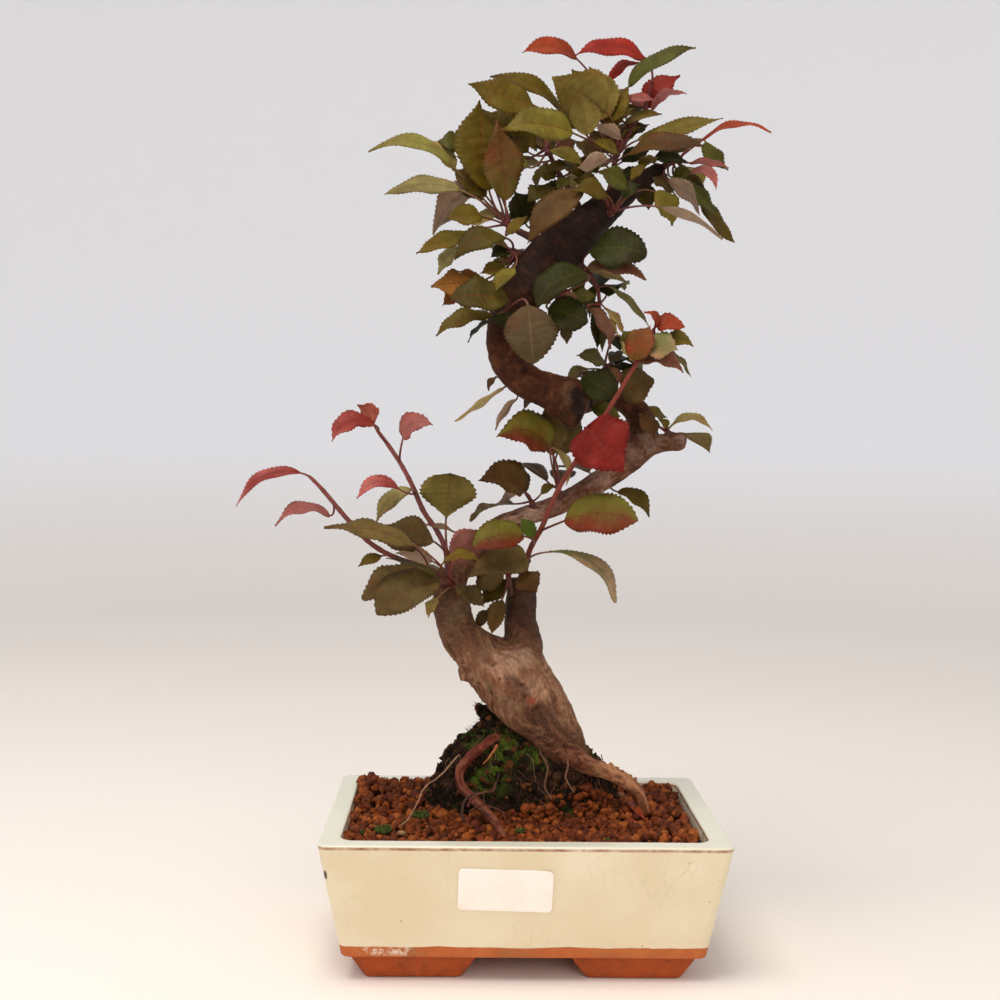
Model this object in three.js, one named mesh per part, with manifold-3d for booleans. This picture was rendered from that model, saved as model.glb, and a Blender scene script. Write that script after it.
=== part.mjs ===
// An apple bonsai in its glazed pot, in millimetres. +Z is up, the pot's long side lies along X and its
// front looks towards -Y. The trunk with its roots is one grown piece, each leafy shoot or spur is a
// piece of its own, and the pot holds the root ball and granular soil over two drainage screens.
import * as THREE from "three";
import { mergeVertices } from "three/addons/utils/BufferGeometryUtils.js";
import Module from "manifold-3d";

const wasm = await Module();
wasm.setup();

// Driving dimensions

const POT = {
  length: 220, // over the rim
  depth: 155,
  height: 77.5, // rim above the table
  rim: 11.5, // width of the flat rim
  taper: 0.19, // how much each outer wall leans in, per millimetre of height
  innerTaper: 0.127,
  footHeight: 13.8,
  floor: 8,
  corner: 5, // radius of the outer upright corners
  innerCorner: 9,
  chamfer: 1.2,
};
const FOOT = {
  length: 73, // at its top, along the pot's long side
  depth: 40,
  inset: 1.9, // from the pot's ends
  setBack: 6, // from the pot's front and back
  slant: 10.5, // how far each end draws in down to the table
  lean: 2.5, // how far its front and back do
  corner: 3,
  sunk: 1,
};
const DRAIN = { apart: 90, diameter: 22, sides: 12 };
const SCREEN = { side: 34, thick: 1.6, bar: 2.2, cells: 3 };
const STICKER = { length: 50, height: 24, thick: 0.4, corner: 2.5, x: -10.8, below: 24.3, turn: 1.5 };
const SOIL = {
  below: 4.5, // its level under the rim
  pitch: 14, // from one lump to the next
  wander: 0.4, // how far a lump strays, as a share of the pitch
  bump: 1.2, // every other lump stands up by this much
  rough: 2,
  seed: 11,
};
const BALL = {
  x: 2,
  y: 26,
  wide: 60, // half widths at its foot
  deep: 32,
  top: 133,
  bottom: 35,
  crown: 0.12, // width of the top as a share of the foot's
  swell: 3.4, // the higher, the later the sides draw in
  lean: 22, // how far the top leans to the left
  hook: 6, // the higher, the later it leans
  forward: 6, // how far the top stands forward
  around: 14,
  up: 5,
  rough: 0.14,
  seed: 5,
};
const GAP = 0.3; // what two touching pieces keep between them
const PAST = 1; // how far a cutting solid runs past the face it cuts
const TRUNK_SIDES = 8;
const STEM_SIDES = 4;
const RINGS_PER_STATION = 1.2;
const BLADE = {
  thick: 0.8,
  fold: 12, // degrees that each half folds up from the rib
  lift: 1.5, // how far the rib arches over the straight line
  narrow: 13.5, // blades under this width have fewer teeth
};
const STALK = { wide: 1.5, thick: 1.2, reach: 0.45 };

// Where the eye stood when the reference picture was taken, in the pot's frame, and the picture's own
// scale. Every place on the tree is given as a pixel of that picture and a depth: millimetres behind the
// pot's middle.
const VIEW = {
  eye: new THREE.Vector3(-32.4, -814.6, 294.6),
  pan: 1.23,
  dip: 2.74,
  roll: 0.78,
  focal: 1427.4,
  middle: 500,
};

const radians = THREE.MathUtils.degToRad;
const forward = new THREE.Vector3(
  Math.sin(radians(VIEW.pan)) * Math.cos(radians(VIEW.dip)),
  Math.cos(radians(VIEW.pan)) * Math.cos(radians(VIEW.dip)),
  -Math.sin(radians(VIEW.dip)),
);
const level = new THREE.Vector3(Math.cos(radians(VIEW.pan)), -Math.sin(radians(VIEW.pan)), 0);
const rightward = level.clone().applyAxisAngle(forward, radians(-VIEW.roll));
const upward = new THREE.Vector3().crossVectors(rightward, forward);

// The point seen at a pixel, at the given depth.
function seen([across, down], deep) {
  const ray = forward
    .clone()
    .multiplyScalar(VIEW.focal)
    .addScaledVector(rightward, across - VIEW.middle)
    .addScaledVector(upward, VIEW.middle - down);
  return VIEW.eye.clone().addScaledVector(ray, (deep - VIEW.eye.y) / ray.y);
}

// A seeded random number from 0 to 1, the Park-Miller sequence.
function dice(seed) {
  let state = seed * 7919 + 17;
  return () => {
    state = (state * 16807) % 2147483647;
    return state / 2147483647;
  };
}

const between = (roll, [low, high]) => low + (high - low) * roll();

// Solids and geometries

function solidOf(geometry) {
  const bare = geometry.clone();
  bare.deleteAttribute("normal");
  bare.deleteAttribute("uv");
  const merged = mergeVertices(bare, 1e-4);
  const triVerts = new Uint32Array(merged.index.array);
  const vertProperties = new Float32Array(merged.attributes.position.array);
  const solid = new wasm.Manifold(new wasm.Mesh({ numProp: 3, vertProperties, triVerts }));
  if (solid.volume() > 0) return solid;
  for (let i = 0; i < triVerts.length; i += 3) {
    [triVerts[i + 1], triVerts[i + 2]] = [triVerts[i + 2], triVerts[i + 1]];
  }
  return new wasm.Manifold(new wasm.Mesh({ numProp: 3, vertProperties, triVerts }));
}

function geometryOf(solid) {
  const mesh = solid.getMesh();
  const places = new Float32Array(mesh.numVert * 3);
  for (let i = 0; i < mesh.numVert; i++) {
    places.set(mesh.vertProperties.subarray(i * mesh.numProp, i * mesh.numProp + 3), i * 3);
  }
  const geometry = new THREE.BufferGeometry();
  geometry.setAttribute("position", new THREE.BufferAttribute(places, 3));
  geometry.setIndex(new THREE.BufferAttribute(mesh.triVerts, 1));
  geometry.computeVertexNormals();
  return geometry;
}

const union = (solids) => solids.reduce((whole, next) => whole.add(next));
const largest = (solid) => solid.decompose().reduce((a, b) => (b.volume() > a.volume() ? b : a));

function meshFrom(points, faces) {
  const numbers = points.flatMap((point) => point.toArray());
  const geometry = new THREE.BufferGeometry();
  geometry.setAttribute("position", new THREE.Float32BufferAttribute(numbers, 3));
  geometry.setIndex(faces.flat());
  return geometry;
}

// A closed skin over rings of equal point counts, with a cap on the first ring and on the last.
function skinned(rings) {
  const count = rings[0].length;
  const faces = [];
  for (let ring = 0; ring + 1 < rings.length; ring++) {
    for (let i = 0; i < count; i++) {
      const next = (i + 1) % count;
      const [a, b] = [ring * count + i, ring * count + next];
      faces.push([a, b, b + count], [a, b + count, a + count]);
    }
  }
  const last = (rings.length - 1) * count;
  for (let i = 1; i + 1 < count; i++) {
    faces.push([0, i + 1, i], [last, last + i, last + i + 1]);
  }
  return solidOf(meshFrom(rings.flat(), faces));
}

// Waves of the bark round a limb: how many there are, how far they turn from ring to ring, and each one's
// share.
const BARK = [
  { waves: 3, turn: 0.9, share: 1 },
  { waves: 5, turn: -1.7, share: 0.6 },
];
const barkAt = (angle, ring) =>
  BARK.reduce((sum, { waves, turn, share }) => sum + share * Math.sin(waves * angle + turn * ring), 0);

const curveOf = (stations) =>
  new THREE.CatmullRomCurve3(stations.map(({ place }) => place), false, "centripetal");

// A limb's radius at a share of the way through its stations.
function radiusAt(stations, share) {
  const along = share * (stations.length - 1);
  const before = Math.min(Math.floor(along), stations.length - 2);
  return THREE.MathUtils.lerp(stations[before].radius, stations[before + 1].radius, along - before);
}

// A tapering limb along a smooth curve through its stations, each with a place and a radius. Its bark
// ripples by a share of the radius, and grow makes the whole limb thicker and longer.
function limb(stations, { sides, rings, grow = 0, ripple = 0 }) {
  const curve = curveOf(stations);
  const frames = curve.computeFrenetFrames(rings, false);
  const made = [];
  for (let ring = 0; ring <= rings; ring++) {
    const share = ring / rings;
    const centre = curve.getPoint(share);
    const tangent = curve.getTangent(share);
    if (ring === 0) centre.addScaledVector(tangent, -grow);
    if (ring === rings) centre.addScaledVector(tangent, grow);
    const normal = frames.normals[ring];
    const across = normal.clone().addScaledVector(tangent, -normal.dot(tangent)).normalize();
    const over = new THREE.Vector3().crossVectors(tangent, across);
    const points = [];
    for (let i = 0; i < sides; i++) {
      const angle = (2 * Math.PI * i) / sides;
      const reach = radiusAt(stations, share) * (1 + ripple * barkAt(angle, ring)) + grow;
      const point = centre.clone().addScaledVector(across, reach * Math.cos(angle));
      points.push(point.addScaledVector(over, reach * Math.sin(angle)));
    }
    made.push(points);
  }
  return skinned(made);
}

// Stations of a limb, each given as a pixel, its depth and the limb's thickness there in millimetres.
const stationsOf = (rows, behind = 0) =>
  rows.map((row) => ({ place: seen(row.at, row.deep + behind), radius: row.thick / 2 }));

// The pot

function roundedRectangle(length, depth, corner, z, steps = 2) {
  const points = [];
  const centres = [
    [length / 2 - corner, depth / 2 - corner, 0],
    [corner - length / 2, depth / 2 - corner, 90],
    [corner - length / 2, corner - depth / 2, 180],
    [length / 2 - corner, corner - depth / 2, 270],
  ];
  for (const [x, y, start] of centres) {
    for (let i = 0; i <= steps; i++) {
      const angle = radians(start + (90 * i) / steps);
      points.push(new THREE.Vector3(x + corner * Math.cos(angle), y + corner * Math.sin(angle), z));
    }
  }
  return points;
}

// The outline of the pot's outside or inside at a height, shrunk by a gap.
function potOutline(z, inset, taper, corner, gap = 0) {
  const less = 2 * (inset + taper * (POT.height - z) + gap);
  return roundedRectangle(POT.length - less, POT.depth - less, corner, z);
}

const potFloor = POT.footHeight + POT.floor;

function cavity(gap, top) {
  return skinned([
    potOutline(potFloor + gap, POT.rim, POT.innerTaper, POT.innerCorner, gap),
    potOutline(top, POT.rim, POT.innerTaper, POT.innerCorner, gap),
  ]);
}

function drainHole(side) {
  const radius = DRAIN.diameter / 2;
  const hole = new THREE.CylinderGeometry(radius, radius, 4 * POT.floor, DRAIN.sides);
  hole.rotateX(Math.PI / 2);
  hole.translate((side * DRAIN.apart) / 2, 0, potFloor);
  return solidOf(hole);
}

function foot(sideX, sideY) {
  const wall = POT.taper * (POT.height - POT.footHeight);
  const x = sideX * (POT.length / 2 - wall - FOOT.inset - FOOT.length / 2);
  const y = sideY * (POT.depth / 2 - wall - FOOT.setBack - FOOT.depth / 2);
  const ring = (z, slant, lean) => {
    const points = roundedRectangle(FOOT.length - 2 * slant, FOOT.depth - 2 * lean, FOOT.corner, z);
    return points.map((point) => point.add(new THREE.Vector3(x, y, 0)));
  };
  return skinned([ring(0, FOOT.slant, FOOT.lean), ring(POT.footHeight + FOOT.sunk, 0, 0)]);
}

function potSolid() {
  const outside = skinned([
    potOutline(POT.footHeight, 0, POT.taper, POT.corner, POT.chamfer),
    potOutline(POT.footHeight + POT.chamfer, 0, POT.taper, POT.corner),
    potOutline(POT.height - POT.chamfer, 0, POT.taper, POT.corner),
    potOutline(POT.height, 0, POT.taper, POT.corner, POT.chamfer / 2),
  ]);
  const feet = [-1, 1].flatMap((sideX) => [-1, 1].map((sideY) => foot(sideX, sideY)));
  const inside = skinned([
    potOutline(potFloor, POT.rim, POT.innerTaper, POT.innerCorner),
    potOutline(POT.height - POT.chamfer, POT.rim, POT.innerTaper, POT.innerCorner),
    potOutline(POT.height + PAST, POT.rim - POT.chamfer, POT.innerTaper, POT.innerCorner),
  ]);
  return union([outside, ...feet]).subtract(inside).subtract(drainHole(-1)).subtract(drainHole(1));
}

// A moulded plastic screen over a drainage hole, so that the soil stays in.
function screenSolid(side) {
  const slab = (width, depth, height) => solidOf(new THREE.BoxGeometry(width, depth, height));
  const pitch = (SCREEN.side - SCREEN.bar) / SCREEN.cells;
  const open = pitch - SCREEN.bar;
  let plate = slab(SCREEN.side, SCREEN.side, SCREEN.thick);
  for (let column = 0; column < SCREEN.cells; column++) {
    for (let row = 0; row < SCREEN.cells; row++) {
      const [x, y] = [column, row].map((step) => (step - (SCREEN.cells - 1) / 2) * pitch);
      plate = plate.subtract(slab(open, open, 2 * SCREEN.thick).translate([x, y, 0]));
    }
  }
  return plate.translate([(side * DRAIN.apart) / 2, 0, potFloor + GAP + SCREEN.thick / 2]);
}

function screenRecess(side) {
  const room = SCREEN.side + 2 * GAP;
  const box = new THREE.BoxGeometry(room, room, 2 * (SCREEN.thick + 2 * GAP));
  box.translate((side * DRAIN.apart) / 2, 0, potFloor);
  return solidOf(box);
}

// A blank paper sticker on the front wall, which leans out as the wall does.
function stickerSolid() {
  const outline = roundedRectangle(STICKER.length, STICKER.height, STICKER.corner, 0);
  const settings = { depth: STICKER.thick, bevelEnabled: false };
  const geometry = new THREE.ExtrudeGeometry(new THREE.Shape(outline), settings);
  geometry.translate(0, 0, GAP / 2);
  geometry.rotateZ(radians(-STICKER.turn));
  geometry.rotateX(Math.PI / 2 + Math.atan(POT.taper));
  geometry.translate(STICKER.x, -POT.depth / 2 + POT.taper * STICKER.below, POT.height - STICKER.below);
  return solidOf(geometry);
}

// The soil, its granules drawn larger than life as a lumpy top

// The lumpy top as a grid of points, row by row, and the triangles between them.
function soilTop(columns, rows) {
  const roll = dice(SOIL.seed);
  const points = [];
  for (let row = 0; row <= rows; row++) {
    for (let column = 0; column <= columns; column++) {
      const x = (column / columns - 0.5) * POT.length + (roll() - 0.5) * SOIL.wander * SOIL.pitch;
      const y = (row / rows - 0.5) * POT.depth + (roll() - 0.5) * SOIL.wander * SOIL.pitch;
      const bump = (column + row) % 2 === 0 ? SOIL.bump : -SOIL.bump;
      points.push(new THREE.Vector3(x, y, POT.height - SOIL.below + bump + (roll() - 0.5) * SOIL.rough));
    }
  }
  const faces = [];
  for (let row = 0; row < rows; row++) {
    for (let column = 0; column < columns; column++) {
      const a = row * (columns + 1) + column;
      const c = a + columns + 1;
      if ((column + row) % 2 === 0) faces.push([a, a + 1, c + 1], [a, c + 1, c]);
      else faces.push([a, a + 1, c], [a + 1, c + 1, c]);
    }
  }
  return { points, faces };
}

function soilSolid() {
  const columns = Math.round(POT.length / SOIL.pitch);
  const rows = Math.round(POT.depth / SOIL.pitch);
  const { points, faces } = soilTop(columns, rows);
  const under = points.length;
  const corners = [0, columns, points.length - 1, points.length - 1 - columns];
  for (const corner of corners) {
    points.push(points[corner].clone().setZ(potFloor - PAST));
  }
  faces.push([under, under + 2, under + 1], [under, under + 3, under + 2]);
  const wall = (from, step, count, low, nextLow) => {
    for (let i = 0; i < count; i++) {
      faces.push([low, from + (i + 1) * step, from + i * step]);
    }
    faces.push([low, nextLow, from + count * step]);
  };
  wall(corners[0], 1, columns, under, under + 1);
  wall(corners[1], columns + 1, rows, under + 1, under + 2);
  wall(corners[2], -1, columns, under + 2, under + 3);
  wall(corners[3], -columns - 1, rows, under + 3, under);
  return solidOf(meshFrom(points, faces)).intersect(cavity(GAP, POT.height + PAST));
}

// The root ball, a steep mossy mound that leans to the left

function ballSolid(grow) {
  const roll = dice(BALL.seed);
  const rings = [];
  for (let ring = 0; ring <= BALL.up; ring++) {
    const rise = ring / BALL.up;
    const spread = 1 - (1 - BALL.crown) * rise ** BALL.swell;
    const z = BALL.bottom - grow + (BALL.top - BALL.bottom + 2 * grow) * rise;
    const middle = { x: BALL.x - BALL.lean * rise ** BALL.hook, y: BALL.y - BALL.forward * rise };
    const points = [];
    for (let i = 0; i < BALL.around; i++) {
      const angle = (2 * Math.PI * i) / BALL.around;
      const share = spread * (1 + BALL.rough * (roll() - 0.5));
      const x = middle.x + (BALL.wide * share + grow) * Math.cos(angle);
      const y = middle.y + (BALL.deep * share + grow) * Math.sin(angle);
      points.push(new THREE.Vector3(x, y, z));
    }
    rings.push(points);
  }
  return skinned(rings);
}

// The trunk: a leaning butt with two forks, an S of old wood above it, and the roots that grip the ball.
// Each row is a place along the middle of the limb, with its thickness there.
const TRUNK = [
  { name: "butt", ripple: 0.05, rows: [
    { at: [574, 792], deep: 24, thick: 26 }, { at: [571, 764], deep: 16, thick: 22 },
    { at: [560, 741], deep: 11, thick: 27 }, { at: [549, 723], deep: 9, thick: 31 },
    { at: [535, 705], deep: 8, thick: 38 }, { at: [520, 687], deep: 7, thick: 41 },
    { at: [507, 669], deep: 6, thick: 45 }, { at: [500, 657], deep: 6, thick: 43 }] },
  { name: "left_fork", ripple: 0.05, rows: [
    { at: [497, 668], deep: 6, thick: 39 }, { at: [474, 649], deep: 5, thick: 28 },
    { at: [459, 630], deep: 2, thick: 23 }, { at: [453, 609], deep: -1, thick: 22 },
    { at: [449.5, 592], deep: -3, thick: 19 }, { at: [449, 578], deep: -3, thick: 15 }] },
  { name: "right_fork", ripple: 0.05, rows: [
    { at: [511, 669], deep: 6, thick: 38 }, { at: [523, 645], deep: 8, thick: 25 },
    { at: [521, 622], deep: 11, thick: 20 }, { at: [521, 600], deep: 14, thick: 19 },
    { at: [522, 578], deep: 16, thick: 17 }] },
  { name: "shoulder_knob", ripple: 0.04, rows: [
    { at: [492, 668], deep: 4, thick: 24 }, { at: [468, 674], deep: 2, thick: 15 },
    { at: [459, 676], deep: 2, thick: 8 }] },
  { name: "low_branch", ripple: 0.06, rows: [
    { at: [450, 600], deep: -2, thick: 17 }, { at: [457, 573], deep: 2, thick: 15.5 },
    { at: [476, 548], deep: 8, thick: 14 }, { at: [500, 527], deep: 13, thick: 13 },
    { at: [525, 516], deep: 17, thick: 12.5 }, { at: [557, 505], deep: 21, thick: 12.5 },
    { at: [590, 487], deep: 23, thick: 14 }, { at: [620, 467], deep: 24, thick: 16 },
    { at: [640, 447], deep: 23, thick: 19 }] },
  { name: "right_stub", ripple: 0.06, rows: [
    { at: [636, 452], deep: 23, thick: 15 }, { at: [652, 445], deep: 20, thick: 11.5 },
    { at: [668, 442], deep: 16, thick: 10 }, { at: [680, 442], deep: 13, thick: 10.5 },
    { at: [686, 443], deep: 12, thick: 7 }] },
  { name: "right_turn", ripple: 0.06, rows: [
    { at: [634, 455], deep: 23, thick: 17 }, { at: [642, 434], deep: 24, thick: 18 },
    { at: [636, 412], deep: 25, thick: 15 }, { at: [618, 401], deep: 23, thick: 11 },
    { at: [598, 400], deep: 18, thick: 12 }, { at: [576, 400], deep: 6, thick: 18 }] },
  { name: "thick_bend", ripple: 0.06, rows: [
    { at: [586, 408], deep: -4, thick: 26 }, { at: [570, 401], deep: -4, thick: 26 },
    { at: [548, 391], deep: -6, thick: 21 }, { at: [524, 380], deep: -9, thick: 20 },
    { at: [507, 360], deep: -12, thick: 20 }, { at: [503, 335], deep: -13, thick: 19.5 },
    { at: [510, 311], deep: -12, thick: 22 }, { at: [528, 286], deep: -8, thick: 27 },
    { at: [547, 264], deep: -2, thick: 29.5 }, { at: [566, 244], deep: 4, thick: 28 },
    { at: [588, 224], deep: 9, thick: 23 }, { at: [610, 205], deep: 13, thick: 18 },
    { at: [632, 188], deep: 16, thick: 13 }, { at: [649, 176], deep: 18, thick: 10 },
    { at: [661, 168], deep: 20, thick: 8 }] },
  { name: "right_root", ripple: 0.06, rows: [
    { at: [563, 742], deep: 10, thick: 18 }, { at: [580, 762], deep: 4, thick: 12 },
    { at: [604, 771], deep: 1, thick: 9.5 }, { at: [624, 780], deep: 1, thick: 9.5 },
    { at: [637, 793], deep: 2, thick: 8.5 }, { at: [644, 812], deep: 4, thick: 7.5 },
    { at: [647, 828], deep: 6, thick: 7 }] },
  { name: "left_root", ripple: 0.06, rows: [
    { at: [548, 752], deep: 20, thick: 12 }, { at: [520, 742], deep: 14, thick: 9 },
    { at: [496, 738], deep: 6, thick: 8 }, { at: [483, 746], deep: 0, thick: 7.5 },
    { at: [471, 756], deep: -3, thick: 8 }, { at: [460, 770], deep: -5, thick: 8 },
    { at: [461, 786], deep: -8, thick: 7.5 }, { at: [474, 799], deep: -14, thick: 8 },
    { at: [487, 812], deep: -23, thick: 7.5 }, { at: [498, 826], deep: -31, thick: 7 },
    { at: [506, 843], deep: -37, thick: 6 }] },
];

function trunkSolid(grow) {
  const limbs = TRUNK.map(({ rows, ripple }) => {
    const rings = Math.round(RINGS_PER_STATION * rows.length);
    return limb(stationsOf(rows), { sides: TRUNK_SIDES, rings, ripple, grow });
  });
  return largest(union(limbs));
}

// Leafy sprays. Each stands a distance behind the depths in its rows, and has a number of seeded leaves
// at its back. It has its stems, the first sunk in the trunk, and its leaves: where the blade starts and
// ends, its width in millimetres, the depths of those two places, and its tilt: 0 shows the upper face
// flat to the front, 90 stands edge on with that face up, and past 90 its underside shows. A leaf's stalk
// leaves the stem at the place nearest to the pixel from, or near the stem's end.
const SPRAYS = [
  {
    name: "crown_top", colour: "#625c26", back: 3, behind: 10,
    stems: [
      [{ at: [606, 208], deep: 4, thick: 6 }, { at: [612, 180], deep: 2, thick: 4 },
        { at: [616, 152], deep: 1, thick: 3.6 }],
      [{ at: [615, 160], deep: 1, thick: 3 }, { at: [632, 128], deep: 5, thick: 2.6 },
        { at: [645, 108], deep: 7, thick: 2.4 }, { at: [652, 84], deep: 8, thick: 2 }],
    ],
    leaves: [
      { root: [577, 59], tip: [522, 53], wide: 13, deep: [6, -4], tilt: 58, bow: 2, from: [620, 145] },
      { root: [645, 58], tip: [574, 54], wide: 13, deep: [8, 0], tilt: 60, bow: 8, from: [652, 84] },
      { root: [610, 82], tip: [642, 63], wide: 9, deep: [12, 14], tilt: 55, from: [632, 128] },
      { root: [629, 86], tip: [696, 47], wide: 15, deep: [-2, -14], tilt: 55, bow: 3, from: [618, 148] },
      { root: [647, 108], tip: [680, 75], wide: 13, deep: [10, 14], tilt: 40, bow: 2, from: [640, 115] },
      { root: [652, 110], tip: [687, 94], wide: 9, deep: [4, 0], tilt: 50, bow: 4, from: [645, 108] },
      { root: [606, 112], tip: [552, 77], wide: 31, deep: [-8, -16], tilt: 150, from: [617, 150] },
      { root: [587, 135], tip: [578, 91], wide: 20, deep: [-14, -22], tilt: 150, from: [616, 152] },
      { root: [573, 133], tip: [502, 126], wide: 24, deep: [-18, -32], tilt: 35, bow: 2, from: [616, 155] },
      { root: [621, 138], tip: [594, 124], wide: 10, deep: [-6, -12], tilt: 140, from: [616, 152] },
      { root: [618, 153], tip: [592, 141], wide: 10, deep: [-10, -18], tilt: 50, from: [616, 155] },
      { root: [622, 147], tip: [641, 126], wide: 12, deep: [8, 6], tilt: 120, from: [616, 155] },
      { root: [612, 122], tip: [634, 108], wide: 9, deep: [-4, -8], tilt: 60, from: [617, 150] },
      { root: [625, 123], tip: [662, 113], wide: 11, deep: [0, -6], tilt: 62, from: [618, 150] },
      { root: [607, 160], tip: [578, 168], wide: 14, deep: [-12, -22], tilt: 130, from: [614, 165] },
      { root: [638, 140], tip: [723, 118], wide: 16, deep: [-2, -18], tilt: 56, bow: 3, from: [616, 158] },
      { root: [628, 154], tip: [707, 148], wide: 17, deep: [-8, -26], tilt: 55, bow: 3, from: [614, 165] },
    ],
  },
  {
    name: "crown_right", colour: "#6b5c30", back: 2, behind: 12,
    stems: [[{ at: [655, 172], deep: 7, thick: 6 }, { at: [668, 164], deep: 7, thick: 4.2 },
      { at: [682, 158], deep: 7, thick: 3 }]],
    leaves: [
      { root: [664, 131], tip: [694, 131], wide: 9, deep: [16, 14], tilt: 60, from: [676, 161] },
      { root: [706, 142], tip: [729, 168], wide: 11, deep: [10, 4], tilt: 40, bow: 2 },
      { root: [690, 163], tip: [729, 167], wide: 9, deep: [4, -4], tilt: 62 },
      { root: [702, 140], tip: [772, 131], wide: 9, deep: [2, -6], tilt: 66, bow: 7 },
      { root: [690, 174], tip: [716, 190], wide: 9, deep: [-4, -12], tilt: 50, bow: 5 },
      { root: [668, 181], tip: [701, 215], wide: 14, deep: [-2, -10], tilt: 125, bow: 2, from: [668, 164] },
      { root: [684, 179], tip: [723, 219], wide: 13, deep: [4, 0], tilt: 52, bow: 3, from: [672, 164] },
      { root: [703, 200], tip: [735, 242], wide: 13, deep: [12, 8], tilt: 55, bow: 3, from: [676, 161] },
      { root: [650, 186], tip: [648, 210], wide: 10, deep: [10, 12], tilt: 50, from: [664, 168] },
      { root: [656, 158], tip: [636, 168], wide: 9, deep: [-8, -14], tilt: 45, from: [668, 164] },
      { root: [681, 140], tip: [708, 122], wide: 12, deep: [22, 28], tilt: 60, from: [676, 161] },
    ],
  },
  {
    name: "crown_middle", colour: "#5d5426", back: 0, behind: 10,
    stems: [[{ at: [604, 216], deep: 0, thick: 7 }, { at: [613, 212], deep: -13, thick: 3.8 }]],
    leaves: [
      { root: [660, 207], tip: [724, 238], wide: 11, deep: [-20, -26], tilt: 118, bow: 1 },
      { root: [655, 192], tip: [673, 226], wide: 14, deep: [-16, -20], tilt: 48, bow: 2 },
      { root: [608, 196], tip: [571, 191], wide: 15, deep: [-24, -34], tilt: 45, bow: 2 },
      { root: [583, 192], tip: [527, 243], wide: 20, deep: [-28, -38], tilt: 35, bow: 3 },
      { root: [626, 187], tip: [598, 171], wide: 15, deep: [-20, -28], tilt: 42 },
    ],
  },
  {
    name: "crown_left", colour: "#4c4a22", back: 3, behind: 7,
    stems: [[{ at: [588, 226], deep: 4, thick: 7 }, { at: [570, 192], deep: 4, thick: 4 },
      { at: [556, 168], deep: 2, thick: 3.4 }, { at: [547, 148], deep: 2, thick: 3 }]],
    leaves: [
      { root: [533, 105], tip: [469, 82], wide: 19, deep: [4, -6], tilt: 42, bow: 3 },
      { root: [560, 109], tip: [490, 75], wide: 15, deep: [14, 8], tilt: 55, bow: 3 },
      { root: [572, 167], tip: [545, 171], wide: 10, deep: [-6, -14], tilt: 55, from: [560, 178] },
      { root: [551, 150], tip: [584, 165], wide: 12, deep: [-6, -16], tilt: 50 },
      { root: [527, 167], tip: [503, 155], wide: 11, deep: [0, -4], tilt: 45 },
      { root: [528, 152], tip: [508, 140], wide: 11, deep: [4, 2], tilt: 45 },
      { root: [543, 166], tip: [537, 190], wide: 10, deep: [-8, -14], tilt: 60, from: [552, 160] },
      { root: [552, 188], tip: [527, 201], wide: 11, deep: [-8, -16], tilt: 50, from: [565, 185] },
      { root: [524, 214], tip: [516, 190], wide: 12, deep: [8, 6], tilt: 40, from: [566, 188] },
      { root: [535, 128], tip: [508, 108], wide: 15, deep: [18, 22], tilt: 50 },
    ],
  },
  {
    name: "upper_left", colour: "#645a2c", back: 2, behind: 2,
    stems: [[{ at: [545, 244], deep: 0, thick: 7 }, { at: [520, 232], deep: -3, thick: 4.2 },
      { at: [505, 224], deep: -3, thick: 3.4 }]],
    leaves: [
      { root: [489, 190], tip: [480, 100], wide: 28, deep: [-2, 4], tilt: 40, bow: -2 },
      { root: [505, 200], tip: [497, 120], wide: 22, deep: [8, 14], tilt: 42 },
      { root: [453, 166], tip: [368, 151], wide: 14, deep: [-4, -14], tilt: 60, bow: 3 },
      { root: [455, 168], tip: [428, 138], wide: 14, deep: [4, 6], tilt: 50 },
      { root: [462, 147], tip: [437, 140], wide: 9, deep: [12, 12], tilt: 42 },
      { root: [460, 190], tip: [384, 195], wide: 15, deep: [-10, -22], tilt: 48, bow: 3 },
      { root: [478, 183], tip: [431, 234], wide: 16, deep: [4, 0], tilt: 132, bow: 2 },
      { root: [482, 217], tip: [446, 219], wide: 15, deep: [-10, -18], tilt: 38 },
      { root: [468, 233], tip: [416, 252], wide: 15, deep: [-6, -16], tilt: 48, bow: 3 },
      { root: [508, 234], tip: [528, 216], wide: 9, deep: [-14, -16], tilt: 40 },
    ],
  },
  {
    name: "middle_left", colour: "#5c4c2a", back: 2, behind: -3,
    stems: [[{ at: [535, 262], deep: 0, thick: 7 }, { at: [512, 250], deep: -5, thick: 3.6 }]],
    leaves: [
      { root: [506, 238], tip: [454, 259], wide: 17, deep: [-16, -26], tilt: 50, bow: 7 },
      { root: [460, 246], tip: [437, 274], wide: 11, deep: [6, 4], tilt: 45 },
      { root: [508, 248], tip: [487, 240], wide: 9, deep: [2, -2], tilt: 60 },
      { root: [508, 270], tip: [480, 273], wide: 10, deep: [-6, -10], tilt: 50 },
      { root: [513, 268], tip: [495, 291], wide: 10, deep: [-14, -18], tilt: 40 },
      { root: [474, 283], tip: [431, 285], wide: 14, deep: [0, -6], tilt: 50, bow: 3 },
      { root: [476, 280], tip: [456, 268], wide: 10, deep: [8, 8], tilt: 50 },
      { root: [478, 288], tip: [442, 305], wide: 12, deep: [4, -2], tilt: 50 },
    ],
  },
  {
    name: "waist_left", colour: "#6e6a48", back: 0, behind: -11,
    stems: [[{ at: [512, 322], deep: 0, thick: 7 }, { at: [497, 316], deep: -11, thick: 3.8 }]],
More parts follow.
